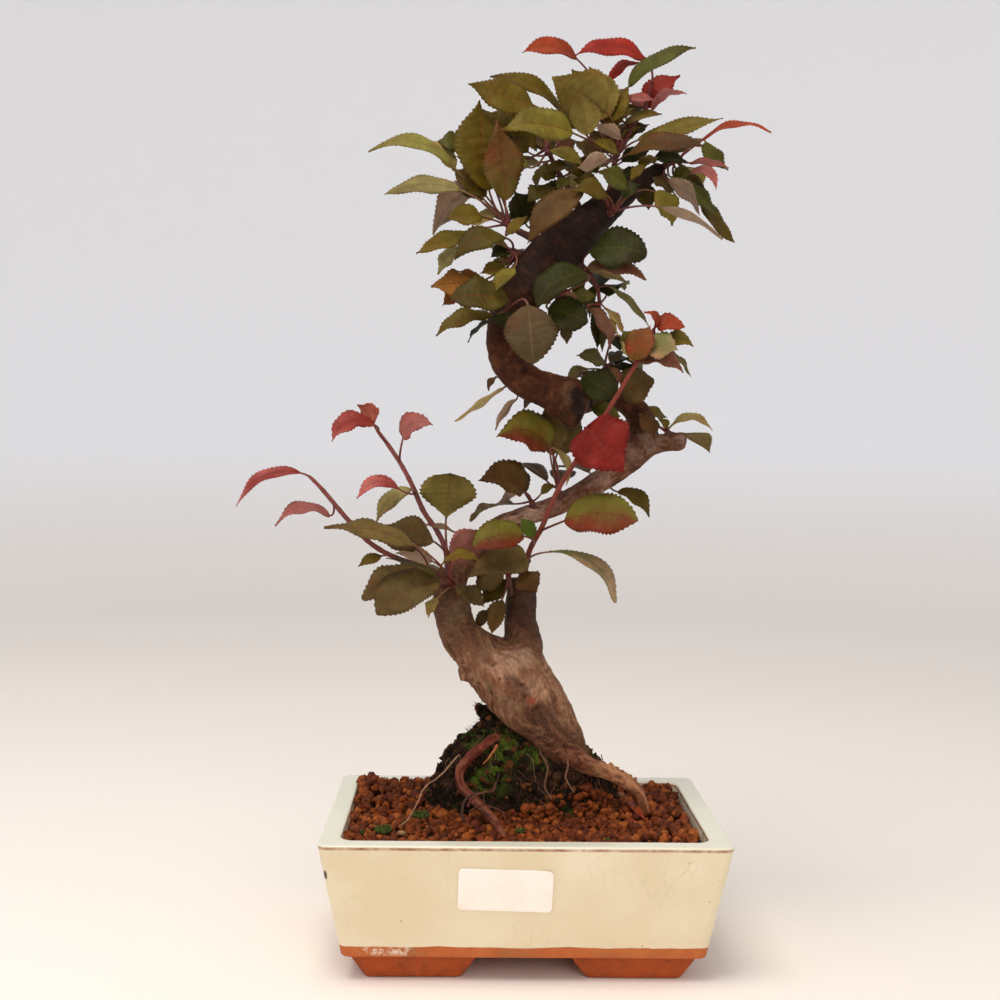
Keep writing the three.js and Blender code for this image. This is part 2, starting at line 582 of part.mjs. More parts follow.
    leaves: [
      { root: [508, 299], tip: [451, 297], wide: 20, deep: [-20, -30], tilt: 38, bow: 2 },
      { root: [491, 316], tip: [435, 334], wide: 15, deep: [-12, -20], tilt: 55, bow: 2 },
      { root: [493, 320], tip: [467, 342], wide: 11, deep: [-14, -16], tilt: 78 },
      { root: [528, 305], tip: [533, 364], wide: 28, deep: [-27, -32], tilt: 6 },
      { root: [501, 315], tip: [507, 331], wide: 9, deep: [-17, -18], tilt: 20 },
    ],
  },
  {
    name: "waist_low", colour: "#8a7a4e", back: 1, behind: -13,
    stems: [[{ at: [512, 374], deep: 4, thick: 6 }, { at: [508, 386], deep: 14, thick: 3.4 }]],
    leaves: [
      { root: [503, 388], tip: [454, 420], wide: 12, deep: [12, 6], tilt: 108, bow: 1 },
      { root: [517, 399], tip: [495, 430], wide: 10, deep: [16, 14], tilt: 122 },
    ],
  },
  {
    name: "waist_front", colour: "#33421f", back: 0, behind: -6,
    stems: [[{ at: [556, 290], deep: -2, thick: 7 }, { at: [556, 296], deep: -20, thick: 3.8 }]],
    leaves: [
      { root: [588, 275], tip: [535, 304], wide: 20, deep: [-20, -34], tilt: 40, bow: 4 },
      { root: [548, 309], tip: [588, 322], wide: 18, deep: [-24, -30], tilt: 26 },
      { root: [558, 321], tip: [552, 340], wide: 10, deep: [-20, -20], tilt: 40 },
    ],
  },
  {
    name: "waist_right", colour: "#3b4423", back: 2, behind: 0,
    stems: [[{ at: [566, 258], deep: 3, thick: 7 }, { at: [584, 268], deep: 2, thick: 4 },
      { at: [597, 288], deep: 0, thick: 3 }, { at: [600, 306], deep: 0, thick: 2.4 }]],
    leaves: [
      { root: [590, 252], tip: [647, 254], wide: 21, deep: [-10, -20], tilt: 36, bow: 4, from: [584, 268] },
      { root: [588, 267], tip: [647, 279], wide: 15, deep: [-6, -14], tilt: 50, bow: 2, from: [586, 270] },
      { root: [590, 270], tip: [630, 283], wide: 12, deep: [8, 6], tilt: 130, from: [586, 270] },
      { root: [611, 287], tip: [649, 326], wide: 9, deep: [-4, -12], tilt: 58, bow: 4, from: [597, 288] },
      { root: [588, 308], tip: [611, 349], wide: 11, deep: [-8, -10], tilt: 58, bow: 2 },
      { root: [601, 312], tip: [602, 352], wide: 9, deep: [4, 4], tilt: 50 },
      { root: [605, 308], tip: [624, 334], wide: 9, deep: [8, 6], tilt: 60 },
      { root: [610, 252], tip: [632, 240], wide: 14, deep: [16, 20], tilt: 60, from: [584, 268] },
    ],
  },
  {
    name: "elbow_right", colour: "#43481f", back: 2, behind: 8,
    stems: [[{ at: [592, 402], deep: 10, thick: 7 }, { at: [598, 382], deep: 4, thick: 4 },
      { at: [607, 364], deep: 0, thick: 3.2 }]],
    leaves: [
      { root: [605, 363], tip: [577, 355], wide: 13, deep: [-6, -14], tilt: 45 },
      { root: [610, 363], tip: [626, 351], wide: 10, deep: [4, 6], tilt: 60 },
      { root: [588, 369], tip: [565, 380], wide: 10, deep: [4, 2], tilt: 45 },
      { root: [582, 377], tip: [617, 398], wide: 17, deep: [-16, -20], tilt: 28 },
      { root: [622, 396], tip: [653, 377], wide: 20, deep: [-4, -10], tilt: 30, from: [598, 382] },
      { root: [592, 408], tip: [621, 416], wide: 11, deep: [-2, -6], tilt: 22, from: [597, 390] },
      { root: [622, 337], tip: [633, 362], wide: 9, deep: [6, 6], tilt: 48 },
      { root: [620, 350], tip: [608, 335], wide: 12, deep: [14, 20], tilt: 50 },
    ],
  },
  {
    name: "stub_spur", colour: "#7a7440", back: 1, behind: 12,
    stems: [[{ at: [664, 443], deep: 4, thick: 5 }, { at: [668, 430], deep: 3, thick: 3 }]],
    leaves: [
      { root: [671, 426], tip: [713, 430], wide: 10, deep: [0, -6], tilt: 62, bow: 7 },
      { root: [644, 411], tip: [667, 418], wide: 10, deep: [16, 16], tilt: 45 },
      { root: [641, 416], tip: [656, 439], wide: 13, deep: [-8, -12], tilt: 40 },
    ],
  },
  {
    name: "long_shoot", colour: "#93502f", back: 0, behind: 0,
    stems: [[{ at: [521, 590], deep: 14, thick: 6 }, { at: [529, 552], deep: 2, thick: 3.8 },
      { at: [541, 529], deep: -6, thick: 3.6 }, { at: [560, 486], deep: -12, thick: 3.4 },
      { at: [584, 449], deep: -16, thick: 3.2 }, { at: [616, 397], deep: -18, thick: 3 },
      { at: [646, 346], deep: -16, thick: 2.6 }, { at: [655, 327], deep: -15, thick: 2 }]],
    leaves: [
      { root: [655, 326], tip: [644, 311], wide: 10, deep: [-18, -18], tilt: 50 },
      { root: [660, 329], tip: [685, 327], wide: 14, deep: [-18, -24], tilt: 32, bow: 2 },
      { root: [634, 360], tip: [650, 325], wide: 18, deep: [-24, -24], tilt: 30, from: [642, 353] },
      { root: [648, 351], tip: [678, 350], wide: 14, deep: [-22, -28], tilt: 50, bow: 1, from: [646, 346] },
      { root: [664, 342], tip: [694, 346], wide: 10, deep: [-12, -14], tilt: 45, bow: 2 },
      { root: [656, 352], tip: [692, 376], wide: 9, deep: [-12, -16], tilt: 58, bow: 2, from: [648, 342] },
      { root: [641, 362], tip: [683, 373], wide: 13, deep: [-18, -24], tilt: 50, bow: 2, from: [640, 356] },
      { root: [592, 434], tip: [623, 473], wide: 26, deep: [-24, -30], tilt: 20, from: [588, 443] },
      { root: [564, 521], tip: [638, 521], wide: 25, deep: [-20, -34], tilt: 34, bow: 3, from: [541, 531] },
      { root: [549, 552], tip: [618, 602], wide: 14, deep: [-14, -20], tilt: 56, bow: 7, from: [527, 560] },
      { root: [524, 536], tip: [473, 546], wide: 20, deep: [-20, -30], tilt: 36, bow: 2, from: [532, 546] },
      { root: [532, 538], tip: [521, 518], wide: 11, deep: [-6, -4], tilt: 40, from: [536, 540] },
    ],
  },
  {
    name: "right_fork_spur", colour: "#77744e", back: 0, behind: 8,
    stems: [[{ at: [511, 595], deep: 0, thick: 5 }, { at: [508, 574], deep: -6, thick: 3.6 }]],
    leaves: [
      { root: [527, 559], tip: [466, 574], wide: 18, deep: [-20, -32], tilt: 40, bow: 3 },
      { root: [502, 600], tip: [491, 634], wide: 12, deep: [-8, -12], tilt: 22 },
      { root: [524, 576], tip: [537, 592], wide: 10, deep: [-22, -28], tilt: 30 },
    ],
  },
  {
    name: "low_branch_spur", colour: "#6a4b2c", back: 2, behind: 7,
    stems: [
      [{ at: [535, 512], deep: 9, thick: 6 }, { at: [531, 500], deep: 4, thick: 3.2 }],
    ],
    leaves: [
      { root: [524, 490], tip: [478, 481], wide: 21, deep: [0, -10], tilt: 34, bow: 5 },
      { root: [524, 492], tip: [498, 503], wide: 11, deep: [8, 8], tilt: 125 },
    ],
  },
  {
    name: "branch_fan", colour: "#5f4a2a", back: 2, behind: 11,
    stems: [[{ at: [563, 503], deep: 8, thick: 6 }, { at: [558, 488], deep: 2, thick: 3.2 }]],
    leaves: [
      { root: [549, 447], tip: [496, 437], wide: 25, deep: [-8, -18], tilt: 34, bow: 7 },
      { root: [553, 455], tip: [545, 407], wide: 22, deep: [6, 8], tilt: 30 },
      { root: [556, 449], tip: [567, 486], wide: 9, deep: [-2, 2], tilt: 60, bow: 2 },
    ],
  },
  {
    name: "branch_right", colour: "#5d5a2b", back: 1, behind: 14,
    stems: [[{ at: [601, 482], deep: 8, thick: 5 }, { at: [606, 478], deep: 17, thick: 3 }]],
    leaves: [
      { root: [618, 492], tip: [650, 517], wide: 14, deep: [10, 4], tilt: 50, bow: 3 },
    ],
  },
  {
    name: "left_fork_spur", colour: "#6c6840", back: 0, behind: -6,
    stems: [[{ at: [452, 597], deep: 2, thick: 7 }, { at: [454, 583], deep: -6, thick: 4 }]],
    leaves: [
      { root: [414, 545], tip: [324, 526], wide: 18, deep: [-20, -32], tilt: 50, bow: 2 },
      { root: [432, 561], tip: [396, 552], wide: 14, deep: [10, 14], tilt: 140 },
      { root: [438, 577], tip: [386, 558], wide: 10, deep: [-18, -26], tilt: 66 },
      { root: [440, 581], tip: [377, 615], wide: 25, deep: [-16, -30], tilt: 40, bow: 4 },
      { root: [436, 583], tip: [361, 598], wide: 21, deep: [-6, -14], tilt: 42, bow: 5 },
      { root: [437, 598], tip: [428, 618], wide: 9, deep: [-14, -18], tilt: 45 },
      { root: [446, 518], tip: [450, 473], wide: 29, deep: [-4, -8], tilt: 176 },
      { root: [454, 561], tip: [485, 527], wide: 21, deep: [-12, -18], tilt: 150 },
      { root: [459, 588], tip: [484, 607], wide: 13, deep: [-14, -18], tilt: 40 },
      { root: [444, 562], tip: [480, 560], wide: 12, deep: [-22, -28], tilt: 58, bow: 2 },
    ],
  },
  {
    name: "outer_shoot", colour: "#8c3a35", back: 0, behind: -8,
    stems: [[{ at: [450, 588], deep: 8, thick: 6 }, { at: [436, 573], deep: 8, thick: 4 },
      { at: [392, 556], deep: 4, thick: 3.4 }, { at: [369, 542], deep: 0, thick: 3.4 },
      { at: [348, 520], deep: -4, thick: 3.2 }, { at: [321, 488], deep: -10, thick: 2.8 },
      { at: [308, 475], deep: -12, thick: 2.2 }]],
    leaves: [
      { root: [301, 473], tip: [235, 506], wide: 12, deep: [-12, -20], tilt: 55, bow: 7 },
      { root: [330, 516], tip: [274, 525], wide: 11, deep: [-8, -18], tilt: 60, bow: 4, from: [336, 506] },
      { root: [416, 549], tip: [378, 539], wide: 15, deep: [14, 16], tilt: 50, from: [425, 569] },
    ],
  },
  {
    name: "inner_shoot", colour: "#8f4038", back: 0, behind: 0,
    stems: [[{ at: [449, 584], deep: -2, thick: 6 }, { at: [446, 551], deep: 3, thick: 3.8 },
      { at: [437, 531], deep: 6, thick: 3.4 }, { at: [424, 512], deep: 8, thick: 3.4 },
      { at: [412, 485], deep: 10, thick: 3.2 }, { at: [402, 466], deep: 11, thick: 3 },
      { at: [391, 449], deep: 12, thick: 2.8 }, { at: [375, 427], deep: 13, thick: 2.2 }]],
    leaves: [
      { root: [373, 424], tip: [331, 441], wide: 15, deep: [2, -8], tilt: 48, bow: 7 },
      { root: [374, 425], tip: [358, 404], wide: 12, deep: [6, 10], tilt: 130 },
      { root: [403, 438], tip: [433, 425], wide: 14, deep: [2, -4], tilt: 50, bow: 4, from: [401, 462] },
      { root: [399, 489], tip: [356, 498], wide: 12, deep: [-4, -14], tilt: 48, bow: 7, from: [415, 493] },
      { root: [411, 489], tip: [376, 523], wide: 13, deep: [6, 2], tilt: 42, bow: 6, from: [418, 499] },
      { root: [433, 541], tip: [388, 523], wide: 20, deep: [-10, -18], tilt: 42, from: [447, 553] },
    ],
  },
  {
    name: "waist_back", colour: "#4c4a22", back: 4, behind: 0,
    stems: [[{ at: [505, 338], deep: -8, thick: 6 }, { at: [507, 328], deep: 6, thick: 3 }]],
    leaves: [],
  },
  {
    name: "left_fork_back", colour: "#5f5a2b", back: 4, behind: 0,
    stems: [[{ at: [452, 590], deep: -2, thick: 6 }, { at: [457, 583], deep: 12, thick: 3 }]],
    leaves: [],
  },
];

// A limb of a spray, and the places along its middle that leaf stalks may leave from.
function stemOf(rows, behind) {
  const stations = stationsOf(rows, behind);
  const solid = limb(stations, { sides: STEM_SIDES, rings: Math.max(2, rows.length - 1) });
  return { solid, places: curveOf(stations).getPoints(40) };
}

// The place on the stems that is nearest to a pixel's line of sight. With no pixel it is near the first
// stem's end, where one leaf after another steps a little further down the stem.
function holdOn(stems, from, number) {
  if (!from) return stems[0].places.at(-2 - 3 * (number % 4));
  const ray = new THREE.Ray(VIEW.eye, seen(from, 0).sub(VIEW.eye).normalize());
  const near = (place) => ray.distanceSqToPoint(place);
  return stems.flatMap((stem) => stem.places).reduce((a, b) => (near(b) < near(a) ? b : a));
}

// The way a blade's upper face looks, for a rib from root to tip that is tilted as the leaf's row says.
function facing(root, tip, tilt) {
  const rib = tip.clone().sub(root).normalize();
  const towards = VIEW.eye.clone().sub(root).normalize();
  const flat = towards.clone().addScaledVector(rib, -towards.dot(rib)).normalize();
  const side = new THREE.Vector3().crossVectors(rib, flat);
  if (rib.x >= 0) side.negate();
  const upper = flat.multiplyScalar(Math.cos(radians(tilt))).addScaledVector(side, Math.sin(radians(tilt)));
  return { upper, side };
}

// Half the blade's width, as a share of the widest, at a share of the way along the rib.
const outline = (along) => Math.sin(Math.PI * along ** 0.82) ** (0.75 + 0.5 * along);

// Teeth of the edge: how far along the rib each point lies, and how far out, with the notches between
// them.
const TEETH = {
  broad: [[0.2, 1.02], [0.46, 1.08], [0.54, 0.88], [0.74, 1.14], [0.81, 0.88]],
  narrow: [[0.24, 1.02], [0.58, 1.12], [0.67, 0.82]],
};
const RIB_STEPS = { broad: [0.36, 0.7, 1], narrow: [0.5, 1] };

// The rib, which rises by lift over the blade's face and bows by bow across it, and the stalk, which
// curves from its hold on the stem into the rib's direction.
function leafCurves({ hold, root, tip, turn, shape }) {
  const { bow = 0, lift = BLADE.lift } = shape;
  const middle = root.clone().add(tip).multiplyScalar(0.5);
  middle.addScaledVector(turn.side, 2 * bow).addScaledVector(turn.upper, 2 * lift);
  const rib = new THREE.QuadraticBezierCurve3(root, middle, tip);
  const bend = root.clone().addScaledVector(rib.getTangent(0), -STALK.reach * hold.distanceTo(root));
  return { rib, stalk: new THREE.QuadraticBezierCurve3(hold, bend, root) };
}

// The points on both faces beside a curve: how far along it, how far out towards one hand, how thick the
// leaf is there and by what angle that side is folded up.
function leafPoint(curve, { upper, side }, along, { out = 0, thick, fold = 0 }) {
  const tangent = curve.getTangent(along);
  const normal = upper.clone().addScaledVector(tangent, -upper.dot(tangent));
  if (normal.length() < 0.2) normal.copy(side).addScaledVector(tangent, -side.dot(tangent));
  normal.normalize();
  const across = new THREE.Vector3().crossVectors(normal, tangent);
  const place = curve.getPoint(along).addScaledVector(across, out * Math.cos(fold));
  place.addScaledVector(normal, Math.abs(out) * Math.sin(fold));
  const over = place.clone().addScaledVector(normal, thick / 2);
  return { along, over, under: place.addScaledVector(normal, -thick / 2) };
}

// Triangles of one half of the blade, between the rib's points and the edge's. Both lists end at the tip.
function halfBlade(points, rib, edge, reversed) {
  const face = [];
  const along = (list, i) => (i < list.length ? points[list[i]].along : Infinity);
  let [i, j] = [0, 0];
  while (i + 1 < rib.length || j + 1 < edge.length) {
    const before = [rib[i], edge[j]];
    const onRib = along(rib, i + 1) <= along(edge, j + 1);
    if (onRib) i += 1;
    else j += 1;
    const triangle = [before[0], onRib ? rib[i] : edge[j], before[1]];
    if (new Set(triangle).size === 3) face.push(reversed ? triangle.reverse() : triangle);
  }
  return face;
}

// A toothed leaf on its flat stalk. Its two halves fold up from the rib, and both faces are split alike.
// The spare thickness makes the room that the leaf needs.
function leafSolid(leaf, spare = 0) {
  const { wide } = leaf.shape;
  const kind = wide < BLADE.narrow ? "narrow" : "broad";
  const { rib, stalk } = leafCurves(leaf);
  const points = [];
  const put = (curve, along, size) => points.push(leafPoint(curve, leaf.turn, along, size)) - 1;
  const thick = BLADE.thick + spare;
  const stalkHalf = (STALK.wide + spare) / 2;
  const ribLine = RIB_STEPS[kind].map((along) => put(rib, along, { thick }));
  const edge = (hand) => [
    put(stalk, 0, { out: hand * stalkHalf, thick: STALK.thick + spare }),
    put(rib, 0, { out: hand * stalkHalf, thick }),
    ...TEETH[kind].map(([along, share]) => {
      const out = hand * ((wide / 2) * outline(along) * share + spare / 2);
      return put(rib, along, { out, thick, fold: radians(BLADE.fold) });
    }),
    ribLine.at(-1),
  ];
  const [left, right] = [edge(1), edge(-1)];
  const face = [
    [left[0], right[0], right[1]],
    [left[0], right[1], left[1]],
    [left[1], right[1], ribLine[0]],
    ...halfBlade(points, ribLine, left.slice(1), false),
    ...halfBlade(points, ribLine, right.slice(1), true),
  ];
  const count = points.length;
  const faces = face.flatMap(([a, b, c]) => [[a, b, c], [a + count, c + count, b + count]]);
  const round = [...left, ...right.slice(0, -1).reverse()];
  round.forEach((a, i) => {
    const b = round[(i + 1) % round.length];
    faces.push([a, b, b + count], [a, b + count, a + count]);
  });
  return solidOf(meshFrom([...points.map((p) => p.over), ...points.map((p) => p.under)], faces));
}

// Leaves that grow away from the front, behind a spray's own: ranges that their seeded draws fall in.
const BACK = {
  swing: [-70, 70], // degrees to the left or right of straight back
  rise: [-15, 35],
  stalk: [8, 16],
  long: [26, 38],
  wide: [15, 21],
  turn: [-0.2, 0.2],
  start: [0, 2], // how far over the heading the root stands
  droop: [0, 6],
  behind: 2,
  squeeze: 0.75, // keeps the spray narrow
  lift: 3,
};

function backLeaves(spray, stems, number) {
  const roll = dice(100 + number);
  return Array.from({ length: spray.back }, (_, i) => {
    const hold = stems[0].places.at(-3 - 3 * i);
    const swing = radians(between(roll, BACK.swing));
    const rise = radians(between(roll, BACK.rise));
    const stalk = between(roll, BACK.stalk);
    const long = between(roll, BACK.long);
    const heading = new THREE.Vector3(BACK.squeeze * Math.sin(swing), Math.cos(swing), Math.sin(rise));
    heading.normalize();
    const start = new THREE.Vector3(0, BACK.behind, between(roll, BACK.start));
    const root = hold.clone().addScaledVector(heading, stalk).add(start);
    const droop = new THREE.Vector3(0, 0, -between(roll, BACK.droop));
    const tip = root.clone().addScaledVector(heading, long).add(droop);
    const upper = new THREE.Vector3(between(roll, BACK.turn), 0, 1);
    upper.addScaledVector(heading, -upper.dot(heading)).normalize();
    const side = new THREE.Vector3().crossVectors(heading, upper);
    const shape = { wide: between(roll, BACK.wide), lift: BACK.lift };
    return { hold, root, tip, turn: { upper, side }, shape };
  });
}

// How far a leaf may be bent to pass clear of another spray: its tip to the back or the front, or up and
// down for a back leaf. Its root moves half as far.
const BENDS = [0, 3, -3, 6, -6, 9, -9, 12, -12, 15, -15, 18, -18, 22, -22, 26, -26];
const ROOM = 0.6; // what a blade keeps clear of another spray's
const WEIGHT = 100; // how much worse it is to meet another spray than a leaf of the same one

// The places that each leaf of a spray may take, one for each bend.
function candidatesOf({ spray, stems }, number) {
  const front = spray.leaves.map((row, i) => (bend) => {
    const root = seen(row.root, row.deep[0] + spray.behind + bend / 2);
    const tip = seen(row.tip, row.deep[1] + spray.behind + bend);
    return { hold: holdOn(stems, row.from, i), root, tip, turn: facing(root, tip, row.tilt), shape: row };
  });
  const up = new THREE.Vector3(0, 0, 1);
  const back = backLeaves(spray, stems, number).map((leaf) => (bend) => ({
    ...leaf,
    root: leaf.root.clone().addScaledVector(up, bend / 2),
    tip: leaf.tip.clone().addScaledVector(up, bend),
  }));
  return [...front, ...back];
}

function boxesMeet(a, b) {
  const [boxA, boxB] = [a.boundingBox(), b.boundingBox()];
  return [0, 1, 2].every((axis) => boxA.min[axis] <= boxB.max[axis] && boxB.min[axis] <= boxA.max[axis]);
}

const shared = (solid, others) =>
  others.reduce((sum, other) => sum + (boxesMeet(solid, other) ? solid.intersect(other).volume() : 0), 0);

// The room that a blade without its stalk takes up.
function bareRoom(leaf) {
  const back = leaf.root.clone().sub(leaf.tip).setLength(2);
  return leafSolid({ ...leaf, hold: leaf.root.clone().add(back) }, ROOM);
}

// A leaf bent by the least amount that passes clear of what stands round it, first of all of other sprays
// and the wood, then of its own spray's blades.
function leafClear(candidate, obstacles, wood, sisters) {
  let best = null;
  for (const bend of BENDS) {
    const leaf = candidate(bend);
    const bare = bareRoom(leaf);
    const met = shared(leafSolid(leaf, ROOM), obstacles) + shared(bare, [wood]);
    const cost = met * WEIGHT + shared(bare, sisters);
    if (!best || cost < best.cost - 1e-6) best = { cost, leaf, bare };
    if (best.cost === 0) break;
  }
  return best;
}

function spraySolids(wood) {
  const grown = SPRAYS.map((spray) => {
    const stems = spray.stems.map((rows) => stemOf(rows, spray.behind));
    return { spray, stems, leaves: [], bare: [] };
  });
  grown.forEach((own, number) => {
    const others = grown.filter((other) => other !== own);
    const solidsOf = ({ stems, leaves }) => [...stems.map((stem) => stem.solid), ...leaves];
    const obstacles = others.flatMap(solidsOf);
    for (const candidate of candidatesOf(own, number)) {
      const { leaf, bare } = leafClear(candidate, obstacles, wood, own.bare);
      own.leaves.push(leafSolid(leaf));
      own.bare.push(bare);
    }
  });
  return grown.map(({ spray, stems, leaves }) => {
    const whole = union([...stems.map((stem) => stem.solid), ...leaves]);
    return { name: "spray_" + spray.name, colour: spray.colour, solid: largest(whole.subtract(wood)) };
  });
}

// Everything together

const plant = new THREE.Group();

function addPiece(name, solid, colour, roughness) {
  const material = new THREE.MeshStandardMaterial({ color: colour, roughness, metalness: 0 });
  const mesh = new THREE.Mesh(geometryOf(solid), material);
  mesh.name = name;
  plant.add(mesh);
}

const trunkRoom = trunkSolid(GAP);
const ball = ballSolid(0).subtract(trunkRoom);
const soil = soilSolid()
  .subtract(ballSolid(GAP))
  .subtract(trunkRoom)
  .subtract(screenRecess(-1))
  .subtract(screenRecess(1));

addPiece("pot", potSolid(), "#e4dabb", 0.3);
addPiece("sticker", stickerSolid(), "#f4f0ea", 0.5);
addPiece("drain_screen_left", screenSolid(-1), "#2c2f2e", 0.6);
addPiece("drain_screen_right", screenSolid(1), "#2c2f2e", 0.6);
addPiece("soil", largest(soil), "#7e4423", 0.95);
addPiece("root_ball", largest(ball), "#2a2b17", 1);
addPiece("trunk", trunkSolid(0), "#6b5444", 0.85);
for (const { name, colour, solid } of spraySolids(trunkRoom)) {
  addPiece(name, solid, colour, 0.55);
}

// The origin is the middle of the bottom of the whole plant's box.
const box = new THREE.Box3().setFromObject(plant);
plant.position.set(-(box.min.x + box.max.x) / 2, -(box.min.y + box.max.y) / 2, -box.min.z);

const whole = new THREE.Group();
whole.add(plant);
export default whole;
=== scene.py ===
"""The looks of an apple bonsai in its glazed pot, built over the part's own solids.

Places on the tree are given as in the part: a pixel of the reference picture and a depth in millimetres behind
the pot's middle. Shapes are worked out in millimetres in the pot's frame, and turned to metres in the part's
frame when they become a mesh.
"""
from __future__ import annotations

import logging
import math
from collections.abc import Callable
from dataclasses import dataclass
from enum import Enum

import bpy
import numpy as np
from mathutils import Matrix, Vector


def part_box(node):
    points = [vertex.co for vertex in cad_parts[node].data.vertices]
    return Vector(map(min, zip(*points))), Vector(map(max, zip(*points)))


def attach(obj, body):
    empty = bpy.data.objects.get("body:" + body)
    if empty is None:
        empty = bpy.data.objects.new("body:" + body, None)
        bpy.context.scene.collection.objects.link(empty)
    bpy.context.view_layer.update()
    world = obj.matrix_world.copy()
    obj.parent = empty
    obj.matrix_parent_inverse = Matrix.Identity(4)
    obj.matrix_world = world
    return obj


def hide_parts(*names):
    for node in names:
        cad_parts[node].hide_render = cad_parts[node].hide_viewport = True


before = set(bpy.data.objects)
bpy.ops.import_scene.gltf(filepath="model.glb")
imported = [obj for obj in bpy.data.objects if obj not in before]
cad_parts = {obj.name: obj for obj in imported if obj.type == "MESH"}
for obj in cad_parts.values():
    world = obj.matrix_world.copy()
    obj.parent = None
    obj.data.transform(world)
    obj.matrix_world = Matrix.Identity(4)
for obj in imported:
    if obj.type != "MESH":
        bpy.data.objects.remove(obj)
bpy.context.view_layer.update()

log = logging.getLogger("bonsai")
MM = 0.001
Colour = tuple[float, float, float, float]


def linear(code: str) -> Colour:
    """Turns an sRGB hex colour to linear light.

    Args:
        code: a colour such as "#8c3a35".

    Returns:
        Red, green and blue from 0 to 1, and an alpha of 1.
    """
    parts = [int(code[i : i + 2], 16) / 255 for i in (1, 3, 5)]
    red, green, blue = (p / 12.92 if p <= 0.04045 else ((p + 0.055) / 1.055) ** 2.4 for p in parts)
    return red, green, blue, 1.0


def rgb(*codes: str) -> np.ndarray:
    """Hex colours in linear light: three numbers for one of them, or three for each of several."""
    rows = np.array([linear(code)[:3] for code in codes])
    return rows if len(codes) > 1 else rows[0]


def drawn_from(codes: tuple[str, ...], rng: np.random.Generator, count: int, low: float, high: float) -> np.ndarray:
    """Colours drawn at random from a few, each then made darker or lighter by a random factor."""
    tints = rgb(*codes)[rng.integers(0, len(codes), count)]
    return tints * rng.uniform(low, high, (count, 1))


def unit(vectors: np.ndarray) -> np.ndarray:
    """Vectors of length one, along the last axis."""
    return vectors / np.maximum(np.linalg.norm(vectors, axis=-1, keepdims=True), 1e-9)


def mix(low: np.ndarray, high: np.ndarray, share: np.ndarray) -> np.ndarray:
    """A blend of two colours or places, by a share from 0 to 1 for each point."""
    share = np.clip(np.asarray(share)[..., None], 0, 1)
    return np.asarray(low) * (1 - share) + np.asarray(high) * share


def ramp(values: np.ndarray, start: float, end: float) -> np.ndarray:
    """A smooth step from 0 at start to 1 at end: 3 t squared less 2 t cubed."""
    share = np.clip((values - start) / (end - start), 0, 1)
    return share * share * (3 - 2 * share)


def bell(values: np.ndarray, middle: float, wide: float) -> np.ndarray:
    """A bump: 1 at the middle, and 1/e at a width from it."""
    return np.exp(-(((values - middle) / wide) ** 2))


def lattice(points: np.ndarray, size: float, seed: int = 0) -> np.ndarray:
    """Smooth random values over space: random corners of a cubic lattice, blended by a smooth step on each axis.

    Args:
        points: places, three numbers each along the last axis.
        size: the lattice's cell, in the unit of the places.
        seed: picks another lattice.

    Returns:
        A value from -1 to 1 for each place.
    """
    scaled = points / size
    cell = np.floor(scaled).astype(np.int64)
    inside = scaled - cell
    inside = inside * inside * (3 - 2 * inside)
    total = np.zeros(points.shape[:-1])
    for corner in np.ndindex(2, 2, 2):
        key = (cell + corner) * np.array([73856093, 19349663, 83492791])
        mixed = (key[..., 0] ^ key[..., 1] ^ key[..., 2] ^ (seed * 2654435761)) & 0x7FFFFFFF
        mixed = ((mixed ^ (mixed >> 15)) * 1103515245 + 12345) & 0x7FFFFFFF
        mixed = ((mixed ^ (mixed >> 12)) * 22695477 + 1) & 0x7FFFFFFF
        weight = np.prod(np.where(corner, inside, 1 - inside), axis=-1)
        total += weight * (mixed / 0x3FFFFFFF - 1)
    return total


def rough(points: np.ndarray, size: float, seed: int = 0, octaves: int = 3) -> np.ndarray:
    """Lattice noise at several sizes, each half as large and half as strong as the one before."""
    return sum(lattice(points, size / 2**i, seed + 31 * i) / 2**i for i in range(octaves)) / 1.6


def dice(seed: int) -> Callable[[], float]:
    """A seeded Park-Miller sequence of numbers from 0 to 1, the same as the part draws.

    Args:
        seed: picks the sequence.

    Returns:
        A function that gives the next number.
    """
    state = seed * 7919 + 17

    def roll() -> float:
        """The next number.

        Returns:
            0 to 1.
        """
        nonlocal state
        state = state * 16807 % 2147483647
        return state / 2147483647

    return roll


